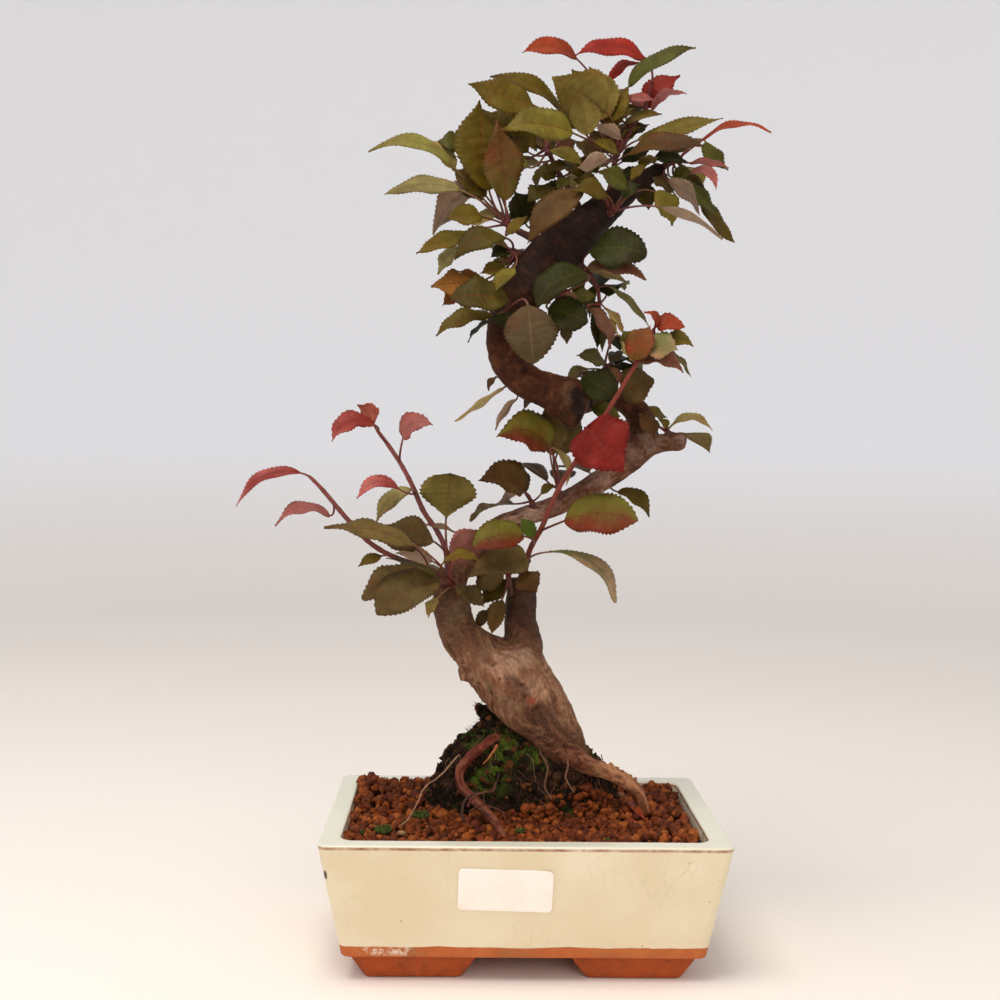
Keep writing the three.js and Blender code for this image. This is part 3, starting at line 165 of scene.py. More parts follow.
@dataclass(frozen=True)
class Sight:
    """Where the eye stood for the reference picture, in the pot's frame, and the picture's own scale."""

    eye: tuple[float, float, float] = (-32.4, -814.6, 294.6)
    pan: float = 1.23
    dip: float = 2.74
    roll: float = 0.78
    focal: float = 1427.4
    middle: float = 500.0

    def axes(self) -> np.ndarray:
        """The eye's own axes, from how far it is panned, dipped and rolled.

        Returns:
            Forward, rightward and upward unit vectors.
        """
        pan, dip, roll = np.radians([self.pan, self.dip, self.roll])
        forward = np.array([np.sin(pan) * np.cos(dip), np.cos(pan) * np.cos(dip), -np.sin(dip)])
        level = np.array([np.cos(pan), -np.sin(pan), 0.0])
        right = level * np.cos(roll) + np.cross(level, forward) * np.sin(roll)
        return np.stack([forward, right, np.cross(right, forward)])

    def seen(self, pixel: tuple[float, float], deep: float) -> np.ndarray:
        """The place seen at a pixel, at a depth behind the pot's middle.

        Args:
            pixel: across and down in the picture.
            deep: millimetres behind the pot's middle.

        Returns:
            The place in the pot's frame.
        """
        forward, right, up = self.axes()
        ray = forward * self.focal + right * (pixel[0] - self.middle) + up * (self.middle - pixel[1])
        return np.array(self.eye) + ray * (deep - self.eye[1]) / ray[1]

    def from_ray(self, pixel: tuple[float, float], points: np.ndarray) -> tuple[np.ndarray, np.ndarray]:
        """How far points lie along a pixel's line of sight, and how far aside from it.

        Args:
            pixel: across and down in the picture.
            points: places in the pot's frame.

        Returns:
            Two distances for each point.
        """
        eye = np.array(self.eye)
        ray = unit(self.seen(pixel, 0) - eye)
        along = (points - eye) @ ray
        return along, np.linalg.norm(points - eye - along[:, None] * ray, axis=1)


SIGHT = Sight()
POT_PLACE = np.array([sum(corner[0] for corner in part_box("pot")) / 2 / MM, 0.0, 0.0])

# Curves and skins


def smooth_path(stations: np.ndarray, count: int) -> np.ndarray:
    """A centripetal Catmull-Rom curve through stations, at even shares of the way through them.

    Each stretch is the cubic that meets its two stations with the slopes that their neighbours give, where the
    knots are as far apart as the square root of the distance.

    Args:
        stations: places or other rows of numbers.
        count: how many places to give.

    Returns:
        The places along the curve.
    """
    ends = np.vstack([2 * stations[0] - stations[1], stations, 2 * stations[-1] - stations[-2]])
    share = np.linspace(0, len(stations) - 1, count)
    at = np.minimum(share.astype(int), len(stations) - 2)
    w = (share - at)[:, None]
    p0, p1, p2, p3 = (ends[at + i] for i in range(4))
    d0, d1, d2 = (np.sqrt(np.linalg.norm(b - a, axis=1))[:, None] for a, b in ((p0, p1), (p1, p2), (p2, p3)))
    t1 = ((p1 - p0) / d0 - (p2 - p0) / (d0 + d1) + (p2 - p1) / d1) * d1
    t2 = ((p2 - p1) / d1 - (p3 - p1) / (d1 + d2) + (p3 - p2) / d2) * d1
    return p1 + t1 * w + (3 * (p2 - p1) - 2 * t1 - t2) * w**2 + (2 * (p1 - p2) + t1 + t2) * w**3


def bezier(start: np.ndarray, middle: np.ndarray, end: np.ndarray, along: np.ndarray) -> np.ndarray:
    """A quadratic curve: (1-t)^2 start + 2t(1-t) middle + t^2 end."""
    t = along[:, None]
    return (1 - t) ** 2 * start + 2 * t * (1 - t) * middle + t**2 * end


def frames_along(path: np.ndarray) -> tuple[np.ndarray, np.ndarray, np.ndarray]:
    """The tangent of a path and two directions across it that turn as little as possible.

    Args:
        path: the places.

    Returns:
        Tangent, across and over, one of each for every place.
    """
    tangent = unit(np.gradient(path, axis=0))
    across = np.empty_like(path)
    before = np.eye(3)[np.argmin(np.abs(tangent[0]))]
    for i, direction in enumerate(tangent):
        before = unit(before - direction * (before @ direction))
        across[i] = before
    return tangent, across, np.cross(tangent, across)


def grid_faces(rows: int, columns: int) -> np.ndarray:
    """Four-sided faces of a grid whose points are counted row by row, and whose last column joins the first.

    Args:
        rows: points one way.
        columns: points the other way.

    Returns:
        Four point numbers for each face.
    """
    i, j = np.meshgrid(np.arange(rows - 1), np.arange(columns), indexing="ij")
    k = (j + 1) % columns
    quads = np.stack([i * columns + j, i * columns + k, (i + 1) * columns + k, (i + 1) * columns + j], -1)
    return quads.reshape(-1, 4)


def tube(path: np.ndarray, radius: np.ndarray | float, sides: int) -> tuple[np.ndarray, list[np.ndarray]]:
    """A round skin along a path: place + radius (cos a across + sin a over), with a flat face at each end.

    Args:
        path: places along the middle.
        radius: one radius, one for each place, or one for each place and side.
        sides: points round each ring.

    Returns:
        The points, and the faces as lists of equal length.
    """
    _, across, over = frames_along(path)
    angle = np.linspace(0, 2 * np.pi, sides, endpoint=False)
    out = np.cos(angle)[None, :, None] * across[:, None] + np.sin(angle)[None, :, None] * over[:, None]
    reach = np.broadcast_to(np.asarray(radius, float).reshape(-1, 1) if np.ndim(radius) < 2 else radius,
                            (len(path), sides))
    points = (path[:, None] + reach[..., None] * out).reshape(-1, 3)
    last = (len(path) - 1) * sides
    ends = np.stack([np.arange(sides)[::-1], last + np.arange(sides)])
    return points, [grid_faces(len(path), sides), ends]


class Skin:
    """Points and faces in the pot's frame that are gathered into one mesh."""

    def __init__(self) -> None:
        """Starts with nothing in it."""
        self.points: list[np.ndarray] = []
        self.tints: list[np.ndarray] = []
        self.faces: list[tuple[np.ndarray, int]] = []
        self.marks: list[dict[str, np.ndarray]] = []
        self.count = 0

    def add(self, points: np.ndarray, faces: list[np.ndarray], tint: np.ndarray, slot: int = 0, **marks) -> None:
        """Adds one closed surface.

        Args:
            points: places in millimetres.
            faces: arrays of point numbers, each array with faces of one length.
            tint: one linear colour, or one for each point.
            slot: which of the mesh's materials it has.
            marks: more numbers or colours for each point, by attribute name.
        """
        self.points.append(points)
        self.marks.append(marks)
        self.tints.append(np.broadcast_to(np.asarray(tint)[..., :3], (len(points), 3)))
        self.faces += [(group + self.count, slot) for group in faces]
        self.count += len(points)

    def gathered(self, mark: str) -> np.ndarray:
        """One mark's values for all points, 0 where a surface has none.

        Args:
            mark: the mark's name.

        Returns:
            A row for each point.
        """
        wide = next(marks[mark].shape[1:] for marks in self.marks if mark in marks)
        return np.concatenate([marks.get(mark, np.zeros((len(points), *wide)))
                               for points, marks in zip(self.points, self.marks)])

    def build(self, name: str, materials: list[bpy.types.Material]) -> bpy.types.Object:
        """Makes the mesh and its object, in the part's frame.

        Args:
            name: the object's name.
            materials: one for each slot.

        Returns:
            The new object.
        """
        places = (np.concatenate(self.points) + POT_PLACE) * MM
        corners = np.concatenate([group.ravel() for group, _ in self.faces])
        lengths = np.concatenate([np.full(len(group), group.shape[1]) for group, _ in self.faces])
        slots = np.concatenate([np.full(len(group), slot) for group, slot in self.faces])
        mesh = bpy.data.meshes.new(name)
        mesh.vertices.add(len(places))
        mesh.vertices.foreach_set("co", places.astype(np.float32).ravel())
        mesh.loops.add(len(corners))
        mesh.loops.foreach_set("vertex_index", corners.astype(np.int32))
        mesh.polygons.add(len(lengths))
        mesh.polygons.foreach_set("loop_start", (np.cumsum(lengths) - lengths).astype(np.int32))
        mesh.polygons.foreach_set("material_index", slots.astype(np.int32))
        mesh.polygons.foreach_set("use_smooth", np.ones(len(lengths), bool))
        mesh.update(calc_edges=True)
        paint(mesh, "tint", np.concatenate(self.tints))
        for mark in sorted({mark for marks in self.marks for mark in marks}):
            values = self.gathered(mark)
            if values.ndim > 1:
                paint(mesh, mark, values)
            else:
                mesh.attributes.new(mark, "FLOAT", "POINT").data.foreach_set("value", values.astype(np.float32))
        for material in materials:
            mesh.materials.append(material)
        piece = bpy.data.objects.new(name, mesh)
        bpy.context.scene.collection.objects.link(piece)
        return piece


def paint(mesh: bpy.types.Mesh, name: str, tints: np.ndarray) -> None:
    """Stores a linear colour for each point of a mesh.

    Args:
        mesh: the mesh.
        name: the attribute's name.
        tints: three numbers for each point.
    """
    rgba = np.concatenate([np.clip(tints, 0, 1), np.ones((len(tints), 1))], axis=1)
    mesh.color_attributes.new(name, "FLOAT_COLOR", "POINT").data.foreach_set("color", rgba.astype(np.float32).ravel())


def solid(name: str, points: np.ndarray, faces: list[np.ndarray]) -> bpy.types.Object:
    """One closed surface as an object of its own, without a material.

    Args:
        name: the object's name.
        points: its places in millimetres.
        faces: arrays of point numbers, each array with faces of one length.

    Returns:
        The object.
    """
    skin = Skin()
    skin.add(points, faces, np.ones(3))
    return skin.build(name, [])


def places_of(mesh: bpy.types.Mesh) -> np.ndarray:
    """The places of a mesh's points.

    Args:
        mesh: the mesh.

    Returns:
        Three numbers for each point.
    """
    values = np.empty(len(mesh.vertices) * 3, np.float32)
    mesh.vertices.foreach_get("co", values)
    return values.reshape(-1, 3).astype(float)


def settle(piece: bpy.types.Object, node: str) -> None:
    """Lets a finished piece ride with the part.

    Args:
        piece: the finished object.
        node: the solid that it stands for.
    """
    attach(piece, "root")
    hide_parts(node)
    log.info("%s: %d points, %d faces", piece.name, len(piece.data.vertices), len(piece.data.polygons))


# Materials


def add_node(tree: bpy.types.NodeTree, kind: str, *values: bpy.types.NodeSocket | float | tuple,
             output: int | str = 0, feeds: dict | None = None, **settings) -> bpy.types.NodeSocket | None:
    """Adds a shader node with its settings and its links.

    Args:
        tree: the material's node tree.
        kind: the node's type, without the words ShaderNode.
        values: what its first inputs take in turn: a number, a colour, or another node's output.
        output: which of its own outputs is wanted.
        feeds: what its other inputs take, by name or number.
        settings: the node's own properties.

    Returns:
        That output, or None where it has none.
    """
    node = tree.nodes.new("ShaderNode" + kind)
    for key, value in settings.items():
        setattr(node, key, value)
    for key, value in (*enumerate(values), *(feeds or {}).items()):
        if isinstance(value, bpy.types.NodeSocket):
            tree.links.new(value, node.inputs[key])
        else:
            node.inputs[key].default_value = value
    return node.outputs[output] if len(node.outputs) else None


@dataclass(frozen=True)
class Finish:
    """A material's name and the numbers that its shader has everywhere."""

    name: str
    roughness: float = 0.5
    ior: float = 1.45
    specular: float = 0.5
    subsurface: float = 0.0
    scatter: tuple[float, float, float] = (1.0, 1.0, 1.0)
    scatter_mm: float = 0.5

    def start(self, *patterns: tuple[str, float, float, float]) -> tuple[
            bpy.types.Material, bpy.types.NodeTree, dict[str, bpy.types.NodeSocket]]:
        """Makes a material with the object's own coordinates and noises over them.

        Args:
            patterns: each noise's name, how many millimetres its lumps lie apart, its roughness and its detail.

        Returns:
            The material, its node tree, and the coordinates as "place" with the noises by their names.
        """
        material = bpy.data.materials.new(self.name)
        material.use_nodes = True
        tree = material.node_tree
        tree.nodes.clear()
        at = {"place": add_node(tree, "TexCoord", output="Object")}
        for name, size_mm, roughness, detail in patterns:
            feeds = {"Scale": 1 / (size_mm * MM), "Detail": detail, "Roughness": roughness}
            at[name] = add_node(tree, "TexNoise", at["place"], feeds=feeds)
        return material, tree, at

    def painted(self, tree: bpy.types.NodeTree, base: bpy.types.NodeSocket | str,
                *coats: tuple) -> bpy.types.NodeSocket:
        """Lays coats of colour over one another.

        Args:
            tree: the node tree.
            base: what lies under them, as a socket or a hex colour.
            coats: for each, the share that it covers, and its colour.

        Returns:
            The colour.
        """
        for share, coat in coats:
            low, high = (linear(colour) if isinstance(colour, str) else colour for colour in (base, coat))
            base = add_node(tree, "Mix", share, output=2, feeds={6: low, 7: high}, data_type="RGBA")
        return base

    def end(self, tree: bpy.types.NodeTree, colour: bpy.types.NodeSocket, roughness: bpy.types.NodeSocket | float,
            height: bpy.types.NodeSocket | None = None, depth_mm: float = 0.0) -> None:
        """Ends a material with its shader.

        Args:
            tree: the node tree.
            colour: its colour.
            roughness: its roughness.
            height: its small relief.
            depth_mm: how far the relief stands out at a height of 1.
        """
        feeds = {"Base Color": colour, "Roughness": roughness, "IOR": self.ior, "Specular IOR Level": self.specular,
                 "Subsurface Weight": self.subsurface, "Subsurface Radius": self.scatter,
                 "Subsurface Scale": self.scatter_mm * MM}
        if height is not None:
            raised = {"Height": height, "Distance": depth_mm * MM, "Strength": 1.0}
            feeds["Normal"] = add_node(tree, "Bump", feeds=raised)
        add_node(tree, "OutputMaterial", add_node(tree, "BsdfPrincipled", feeds=feeds))


@dataclass(frozen=True)
class TintedFinish(Finish):
    """A finish whose colour is stored point by point, with a finer mottle and grain over it."""

    mottle_mm: float = 3.0
    mottle: float = 0.25
    grain_mm: float = 0.6
    grain_depth_mm: float = 0.08
    uneven_gloss: float = 0.08

    def make(self) -> bpy.types.Material:
        """Makes the material: the stored tint times a mottle, with fine relief.

        Returns:
            The material.
        """
        material, tree, at = self.start(("spots", self.mottle_mm, 0.5, 4.0), ("grain", self.grain_mm, 0.5, 4.0))
        rough_low, rough_high = self.roughness - self.uneven_gloss, self.roughness + self.uneven_gloss
        shade = add_node(tree, "MapRange", at["spots"], 0.3, 0.7, 1 - self.mottle, 1 + self.mottle)
        gloss = add_node(tree, "MapRange", at["spots"], 0.3, 0.7, rough_low, rough_high)
        tint = add_node(tree, "Attribute", output="Color", attribute_name="tint")
        colour = add_node(tree, "VectorMath", tint, feeds={"Scale": shade}, operation="SCALE")
        self.end(tree, colour, gloss, at["grain"], self.grain_depth_mm)
        return material


@dataclass(frozen=True)
class CloudedFinish(Finish):
    """A finish of one colour, clouded with another, with fine relief."""

    colour: str = "#808080"
    cloud: str = "#a0a0a0"
    cloud_mm: float = 14.0
    cloud_roughness: float = 0.5
    cloudy: tuple[float, float, float] = (0.4, 0.75, 1.0)
    grain_mm: float = 0.8
    grain_detail: float = 4.0
    grain_depth_mm: float = 0.04

    def make(self) -> bpy.types.Material:
        """Makes the material.

        Returns:
            The material.
        """
        material, tree, at = self.start(("cloud", self.cloud_mm, self.cloud_roughness, 4.0),
                                        ("grain", self.grain_mm, 0.5, self.grain_detail))
        start, stop, most = self.cloudy
        cloud = add_node(tree, "MapRange", at["cloud"], start, stop, 0.0, most)
        colour = self.painted(tree, self.colour, (cloud, self.cloud))
        self.end(tree, colour, self.roughness, at["grain"], self.grain_depth_mm)
        return material


# The pot


def rounded_ring(length: float, depth: float, corner: float, fine: int = 8, side: int = 22) -> np.ndarray:
    """A rectangle with rounded corners: four quarter circles, joined by straight sides.

    Args:
        length: from left to right.
        depth: from front to back.
        corner: the radius of the corners.
        fine: steps round a corner.
        side: points between two corners.

    Returns:
        Its points, anticlockwise, two numbers each.
    """
    quarter = np.radians(np.linspace(0, 90, fine + 1))
    arcs = []
    for turn, (x, y) in enumerate(((1, 1), (-1, 1), (-1, -1), (1, -1))):
        angle = quarter + turn * np.pi / 2
        centre = np.array([x * (length / 2 - corner), y * (depth / 2 - corner)])
        arcs.append(centre + corner * np.stack([np.cos(angle), np.sin(angle)], axis=1))
    between = np.linspace(0, 1, side + 2)[1:-1, None]
    sides = [arc[-1] * (1 - between) + arcs[(i + 1) % 4][0] * between for i, arc in enumerate(arcs)]
    return np.concatenate([part for pair in zip(arcs, sides) for part in pair])


def loft(rings: np.ndarray) -> tuple[np.ndarray, list[np.ndarray]]:
    """A skin over rings of equal length, with a flat face on the first and the last.

    Args:
        rings: rows of places, one row for each ring.

    Returns:
        The points, and the faces as lists of equal length.
    """
    count, around = rings.shape[:2]
    last = (count - 1) * around
    caps = np.stack([np.arange(around)[::-1], last + np.arange(around)])
    return rings.reshape(-1, 3), [grid_faces(count, around), caps]


def at_height(ring: np.ndarray, z: float) -> np.ndarray:
    """A flat ring of places, lifted to a height."""
    return np.column_stack([ring, np.full(len(ring), z)])


def cut_or_join(piece: bpy.types.Object, other: bpy.types.Object, operation: str) -> None:
    """Joins another solid to a piece, or cuts it away, and removes the other.

    Args:
        piece: the piece that is kept.
        other: the other solid.
        operation: "UNION" or "DIFFERENCE".
    """
    modifier = piece.modifiers.new("shape", "BOOLEAN")
    modifier.object, modifier.operation, modifier.solver = other, operation, "EXACT"
    apply_all(piece)
    bpy.data.objects.remove(other)


def apply_all(piece: bpy.types.Object) -> None:
    """Makes a piece's modifiers part of its mesh.

    Args:
        piece: the piece.
    """
    shaped = bpy.data.meshes.new_from_object(piece.evaluated_get(bpy.context.evaluated_depsgraph_get()))
    piece.modifiers.clear()
    old, piece.data = piece.data, shaped
    bpy.data.meshes.remove(old)


@dataclass(frozen=True)
class GlazeFinish(Finish):
    """Glossy cream glaze that has crazed, over bare red clay at the foot."""

    cream: str = "#e6d9bd"
    celadon: str = "#dcdac6"
    shade: str = "#dccdab"
    crease: str = "#8f5a3e"
    craze: str = "#94805a"
    speck: str = "#6b4a2c"
    clay: str = "#b25826"
    pale_clay: str = "#ba6832"
    wet_clay: str = "#a64406"
    soaked_clay: str = "#5e2406"
    stain: str = "#7d5f32"
    lime: str = "#e0d2bd"
    line_mm: float = 20.0
    rim_mm: float = 76.6
    clay_roughness: float = 0.8
    growth: str = "#3b3526"
    craze_drift_mm: float = 3.5
    craze_cells: tuple[tuple[float, float], ...] = ((15.0, 0.009), (6.5, 0.012))
    speck_mm: float = 7.5
    patterns: tuple[tuple[str, float, float, float], ...] = (
        ("cloud", 45.0, 0.5, 4.0), ("drift", 12.0, 0.5, 4.0), ("crazed", 26.0, 0.7, 4.0), ("specked", 14.0, 0.5, 4.0),
        ("worn", 11.0, 0.75, 4.0), ("fired", 16.0, 0.65, 4.0), ("stained", 21.0, 0.6, 4.0),
        ("soaked", 9.0, 0.75, 6.0), ("smeared", 6.0, 0.85, 8.0), ("sway", 22.0, 0.5, 4.0),
        ("chipped", 2.5, 0.5, 4.0), ("grain", 0.9, 0.5, 6.0), ("wave", 26.0, 0.5, 4.0))
    smear_mm: tuple[float, float] = (-76.0, -46.0)
    chips: tuple[tuple[float, float, float, float], ...] = ((-99.2, -77.2, 72.0, 2.4), (-95.6, -74.6, 60.0, 3.4))

    def glaze(self, tree: bpy.types.NodeTree, at: dict[str, bpy.types.NodeSocket],
              height: bpy.types.NodeSocket) -> tuple[bpy.types.NodeSocket, bpy.types.NodeSocket]:
        """The glaze's colour: a cloudy cream with crazing lines, specks, and a worn crease under the rim.

        Args:
            tree: the node tree.
            at: the coordinates and the noises.
            height: the height in metres.

        Returns:
            The colour, and the crazing lines' height.
        """
        cloud = add_node(tree, "MapRange", at["cloud"], 0.35, 0.65)
        rim = add_node(tree, "MapRange", height, (self.rim_mm - 0.2) * MM, (self.rim_mm + 0.5) * MM)
        # The crazing: hair lines that run mostly upright, only in places
        drift = at["drift"].node.outputs["Color"]
        drift = add_node(tree, "VectorMath", drift, feeds={"Scale": self.craze_drift_mm * MM}, operation="SCALE")
        moved = add_node(tree, "VectorMath", at["place"], drift, operation="ADD")
        upright = add_node(tree, "VectorMath", moved, (1.0, 1.0, 0.22), operation="MULTIPLY")
        lines = []
        for cell_mm, thick in self.craze_cells:
            cells = add_node(tree, "TexVoronoi", upright, feeds={"Scale": 1 / (cell_mm * MM)},
                             feature="DISTANCE_TO_EDGE")
            lines.append(add_node(tree, "MapRange", cells, thick, 0.0))
        line = add_node(tree, "Math", *lines, operation="MAXIMUM")
        where = add_node(tree, "MapRange", at["crazed"], 0.45, 0.68, 0.0, 0.3)
        line = add_node(tree, "Math", line, where, operation="MULTIPLY")
        # Iron specks that burn through
        dots = add_node(tree, "TexVoronoi", at["place"], feeds={"Scale": 1 / (self.speck_mm * MM)})
        dot = add_node(tree, "MapRange", dots, 0.06, 0.035)
        some = add_node(tree, "MapRange", at["specked"], 0.5, 0.56)
        dot = add_node(tree, "Math", dot, some, operation="MULTIPLY")
        # The crease where the wall turns into the rim, where the glaze runs thin
        over = add_node(tree, "MapRange", height, (self.rim_mm - 1.9) * MM, (self.rim_mm - 1.2) * MM)
        under = add_node(tree, "MapRange", height, (self.rim_mm + 0.2) * MM, (self.rim_mm - 0.3) * MM)
        worn = add_node(tree, "Math", over, under, operation="MULTIPLY")
        gaps = add_node(tree, "MapRange", at["worn"], 0.36, 0.6, 0.3, 0.95)
        worn = add_node(tree, "Math", worn, gaps, operation="MULTIPLY")
        colour = self.painted(tree, self.cream, (cloud, self.shade), (rim, self.celadon), (line, self.craze),
                              (dot, self.speck), (worn, self.crease))
        return colour, line

    def bare_clay(self, tree: bpy.types.NodeTree, at: dict[str, bpy.types.NodeSocket], x: bpy.types.NodeSocket,
                  height: bpy.types.NodeSocket) -> bpy.types.NodeSocket:
        """The fired clay's colour: red-brown, darker in the bends, smeared with lime, most of all at the front's left.

        Args:
            tree: the node tree.
            at: the coordinates and the noises.
            x: how far to the right a place is, in metres.
            height: the height in metres.

        Returns:
            The colour.
        """
        cloud = add_node(tree, "MapRange", at["fired"], 0.35, 0.65)
        stain = add_node(tree, "MapRange", at["stained"], 0.52, 0.7, 0.0, 0.55)
        low = add_node(tree, "MapRange", height, 14.6 * MM, 12.8 * MM, 0.0, 0.85)
        soaked = add_node(tree, "MapRange", at["soaked"], 0.46, 0.72, 0.0, 0.85)
        wet = self.painted(tree, self.wet_clay, (soaked, self.soaked_clay))
        left, right = self.smear_mm
        start = add_node(tree, "MapRange", x, (left - 4) * MM, (left + 4) * MM)
        stop = add_node(tree, "MapRange", x, (right + 6) * MM, (right - 6) * MM)
        there = add_node(tree, "Math", start, stop, operation="MULTIPLY")
        more = add_node(tree, "MapRange", there, 0.0, 1.0, 0.0, 0.14)
        ragged = add_node(tree, "Math", at["smeared"], more, operation="ADD")
        smear = add_node(tree, "MapRange", ragged, 0.62, 0.7, 0.0, 0.85)
        band = add_node(tree, "MapRange", height, 14.5 * MM, 16.5 * MM)
        smear = add_node(tree, "Math", smear, band, operation="MULTIPLY")
        return self.painted(tree, self.clay, (cloud, self.pale_clay), (stain, self.stain), (low, wet),
                            (smear, self.lime))

    def make(self) -> bpy.types.Material:
        """Makes the material: glaze above an uneven line, clay under it.

        Returns:
            The material.
        """
        material, tree, at = self.start(*self.patterns)
        split = add_node(tree, "SeparateXYZ", at["place"]).node.outputs
        x, height = split["X"], split["Z"]
        sway = add_node(tree, "MapRange", at["sway"], 0.2, 0.8, -0.9 * MM, 0.9 * MM)
        swayed = add_node(tree, "Math", height, sway, operation="ADD")
        glazed = add_node(tree, "MapRange", swayed, self.line_mm * MM, (self.line_mm + 0.35) * MM)
        glaze, line = self.glaze(tree, at, height)
        colour = self.painted(tree, self.bare_clay(tree, at, x, height), (glazed, glaze))
        # Dark growth in two chips of the left edge
        drift = add_node(tree, "MapRange", at["chipped"], 0.3, 0.7, -1.4 * MM, 1.4 * MM)
        for *middle, radius in self.chips:
            middle = tuple(value * MM for value in middle)
            gap = add_node(tree, "VectorMath", at["place"], middle, output="Value", operation="DISTANCE")
            gap = add_node(tree, "Math", gap, drift, operation="ADD")
            chip = add_node(tree, "MapRange", gap, radius * MM, (radius - 0.5) * MM)
            colour = self.painted(tree, colour, (chip, self.growth))
        gloss = add_node(tree, "MapRange", glazed, 0.0, 1.0, self.clay_roughness, self.roughness)
        grain = add_node(tree, "MapRange", at["grain"], 0.2, 0.8)
        wave = add_node(tree, "MapRange", at["wave"], 0.2, 0.8, 0.0, 2.4)
        surface = self.painted(tree, grain, (glazed, wave))
        scored = add_node(tree, "Math", surface, line, operation="SUBTRACT")
        self.end(tree, colour, gloss, scored, 0.12)
        return material


@dataclass(frozen=True)
class Pot:
    """The slab-built pot, in millimetres: a tapered box with a wide flat rim, four feet and two drain holes."""

    length: float = 220.0
    depth: float = 155.0
    height: float = 77.5
    rim: float = 11.5
    taper: float = 0.19
    inner_taper: float = 0.127
    foot_height: float = 13.8
    floor: float = 8.0
    corner: float = 5.0
    inner_corner: float = 9.0
    edge: float = 1.5
    foot: tuple[float, float] = (73.0, 40.0)
    foot_inset: tuple[float, float] = (1.9, 6.0)
    foot_slant: tuple[float, float] = (10.5, 2.5)
    drain: tuple[float, float] = (90.0, 22.0)
    wave: float = 0.45

    def profile(self) -> np.ndarray:
        """The wall's section as rows of height, inset from the rim's outline, and corner radius.

        It goes up the outside, over the rim with a quarter round at each edge, and down the inside.

        Returns:
            The rows.
        """
        round_ = np.radians(np.linspace(0, 90, 6))
        low, top, edge = self.foot_height, self.height, self.edge
        outer_z = np.concatenate([low + 1 - np.cos(round_), np.linspace(low + 2, top - edge, 26)[:-1]])
        outer_in = self.taper * (top - outer_z)
        outer_in[:6] += 1 - np.sin(round_)
        outer = np.stack([outer_z, outer_in, np.full_like(outer_z, self.corner)], axis=1)
        turn = np.stack([top - edge + edge * np.sin(round_),
                         self.taper * edge * np.cos(round_) + edge * (1 - np.cos(round_)),
                         np.full(6, self.corner)], axis=1)
        flat = np.linspace(edge + 1, self.rim - edge - 1, 6)
        across = np.stack([np.full(6, top), flat, np.linspace(self.corner, self.inner_corner, 6)], axis=1)
        inner = np.stack([top - edge * (1 - np.cos(round_)), self.rim - edge * (1 - np.sin(round_)),
                          np.full(6, self.inner_corner)], axis=1)
        bed = self.foot_height + self.floor
        down_z = np.linspace(top - edge - 2, bed, 12)
        down = np.stack([down_z, self.rim + self.inner_taper * (top - down_z),
                         np.full(12, self.inner_corner)], axis=1)
        return np.concatenate([outer, turn, across, inner, down])

    def body(self) -> tuple[np.ndarray, list[np.ndarray]]:
        """The box: a rounded rectangle at each row of the section, wavering as a hand-made wall does.

        Returns:
            Its points and faces.
        """
        points, faces = loft(np.stack([
            at_height(rounded_ring(self.length - 2 * inset, self.depth - 2 * inset, corner), z)
            for z, inset, corner in self.profile()]))
        out = np.column_stack([points[:, :2], np.zeros(len(points))])
        sway = rough(points, 55, 3, 2) * self.wave + rough(points, 13, 8, 2) * 0.12
        points = points + unit(out) * sway[:, None]
        points[:, 2] += rough(points, 60, 5, 1) * 0.25 * (points[:, 2] > self.height - 5)
        return points, faces

    def foot_form(self, side_x: int, side_y: int) -> tuple[np.ndarray, list[np.ndarray]]:
        """A foot whose walls lean in towards the table.

        Args:
            side_x: -1 for the left, 1 for the right.
            side_y: -1 for the front, 1 for the back.

        Returns:
            Its points and faces.
        """
        wall = self.taper * (self.height - self.foot_height)
        heights = np.array([0, 0.12, 0.4, 0.9, 1.6, 4, 7, 10, 13, self.foot_height + 1.0])
        eased = np.array([0.9, 0.5, 0.2, 0.04, 0, 0, 0, 0, 0, 0])
        share = 1 - heights / heights[-1]
        rings = []
        for z, less, ease in zip(heights, share, eased):
            long, deep = (size - 2 * (slant * less + ease) for size, slant in zip(self.foot, self.foot_slant))
            rings.append(at_height(rounded_ring(long, deep, 3.0, 5, 12), z))
        points, faces = loft(np.stack(rings))
        points[:, 0] += side_x * (self.length / 2 - wall - self.foot_inset[0] - self.foot[0] / 2)
        points[:, 1] += side_y * (self.depth / 2 - wall - self.foot_inset[1] - self.foot[1] / 2)
        points[:, :2] += rough(points, 14, 21, 2)[:, None] * 0.3
        return points, faces

    def build(self) -> None:
        """Builds the pot and gives it its glaze."""
        piece = solid("pot_glazed", *self.body())
        apart, across = self.drain
        bed = self.foot_height + self.floor
        for side_x in (-1, 1):
            for side_y in (-1, 1):
                cut_or_join(piece, solid("foot", *self.foot_form(side_x, side_y)), "UNION")
            path = np.array([[side_x * apart / 2, 0, z] for z in (bed + 6, bed, self.foot_height - 6)])
            cut_or_join(piece, solid("hole", *tube(path, across / 2, 40)), "DIFFERENCE")
        shade_by_angle(piece, 40)
        piece.data.materials.clear()
        # A wet gloss broken by hair lines, over dull red clay: an old kiln-fired pot
        piece.data.materials.append(GlazeFinish("crazed_celadon_glaze", roughness=0.24, ior=1.5).make())
        settle(piece, "pot")


def shade_by_angle(piece: bpy.types.Object, degrees: float) -> None:
    """Keeps the edges sharp where two faces meet at more than an angle."""
    piece.data.shade_smooth()
    piece.data.set_sharp_from_angle(angle=math.radians(degrees))


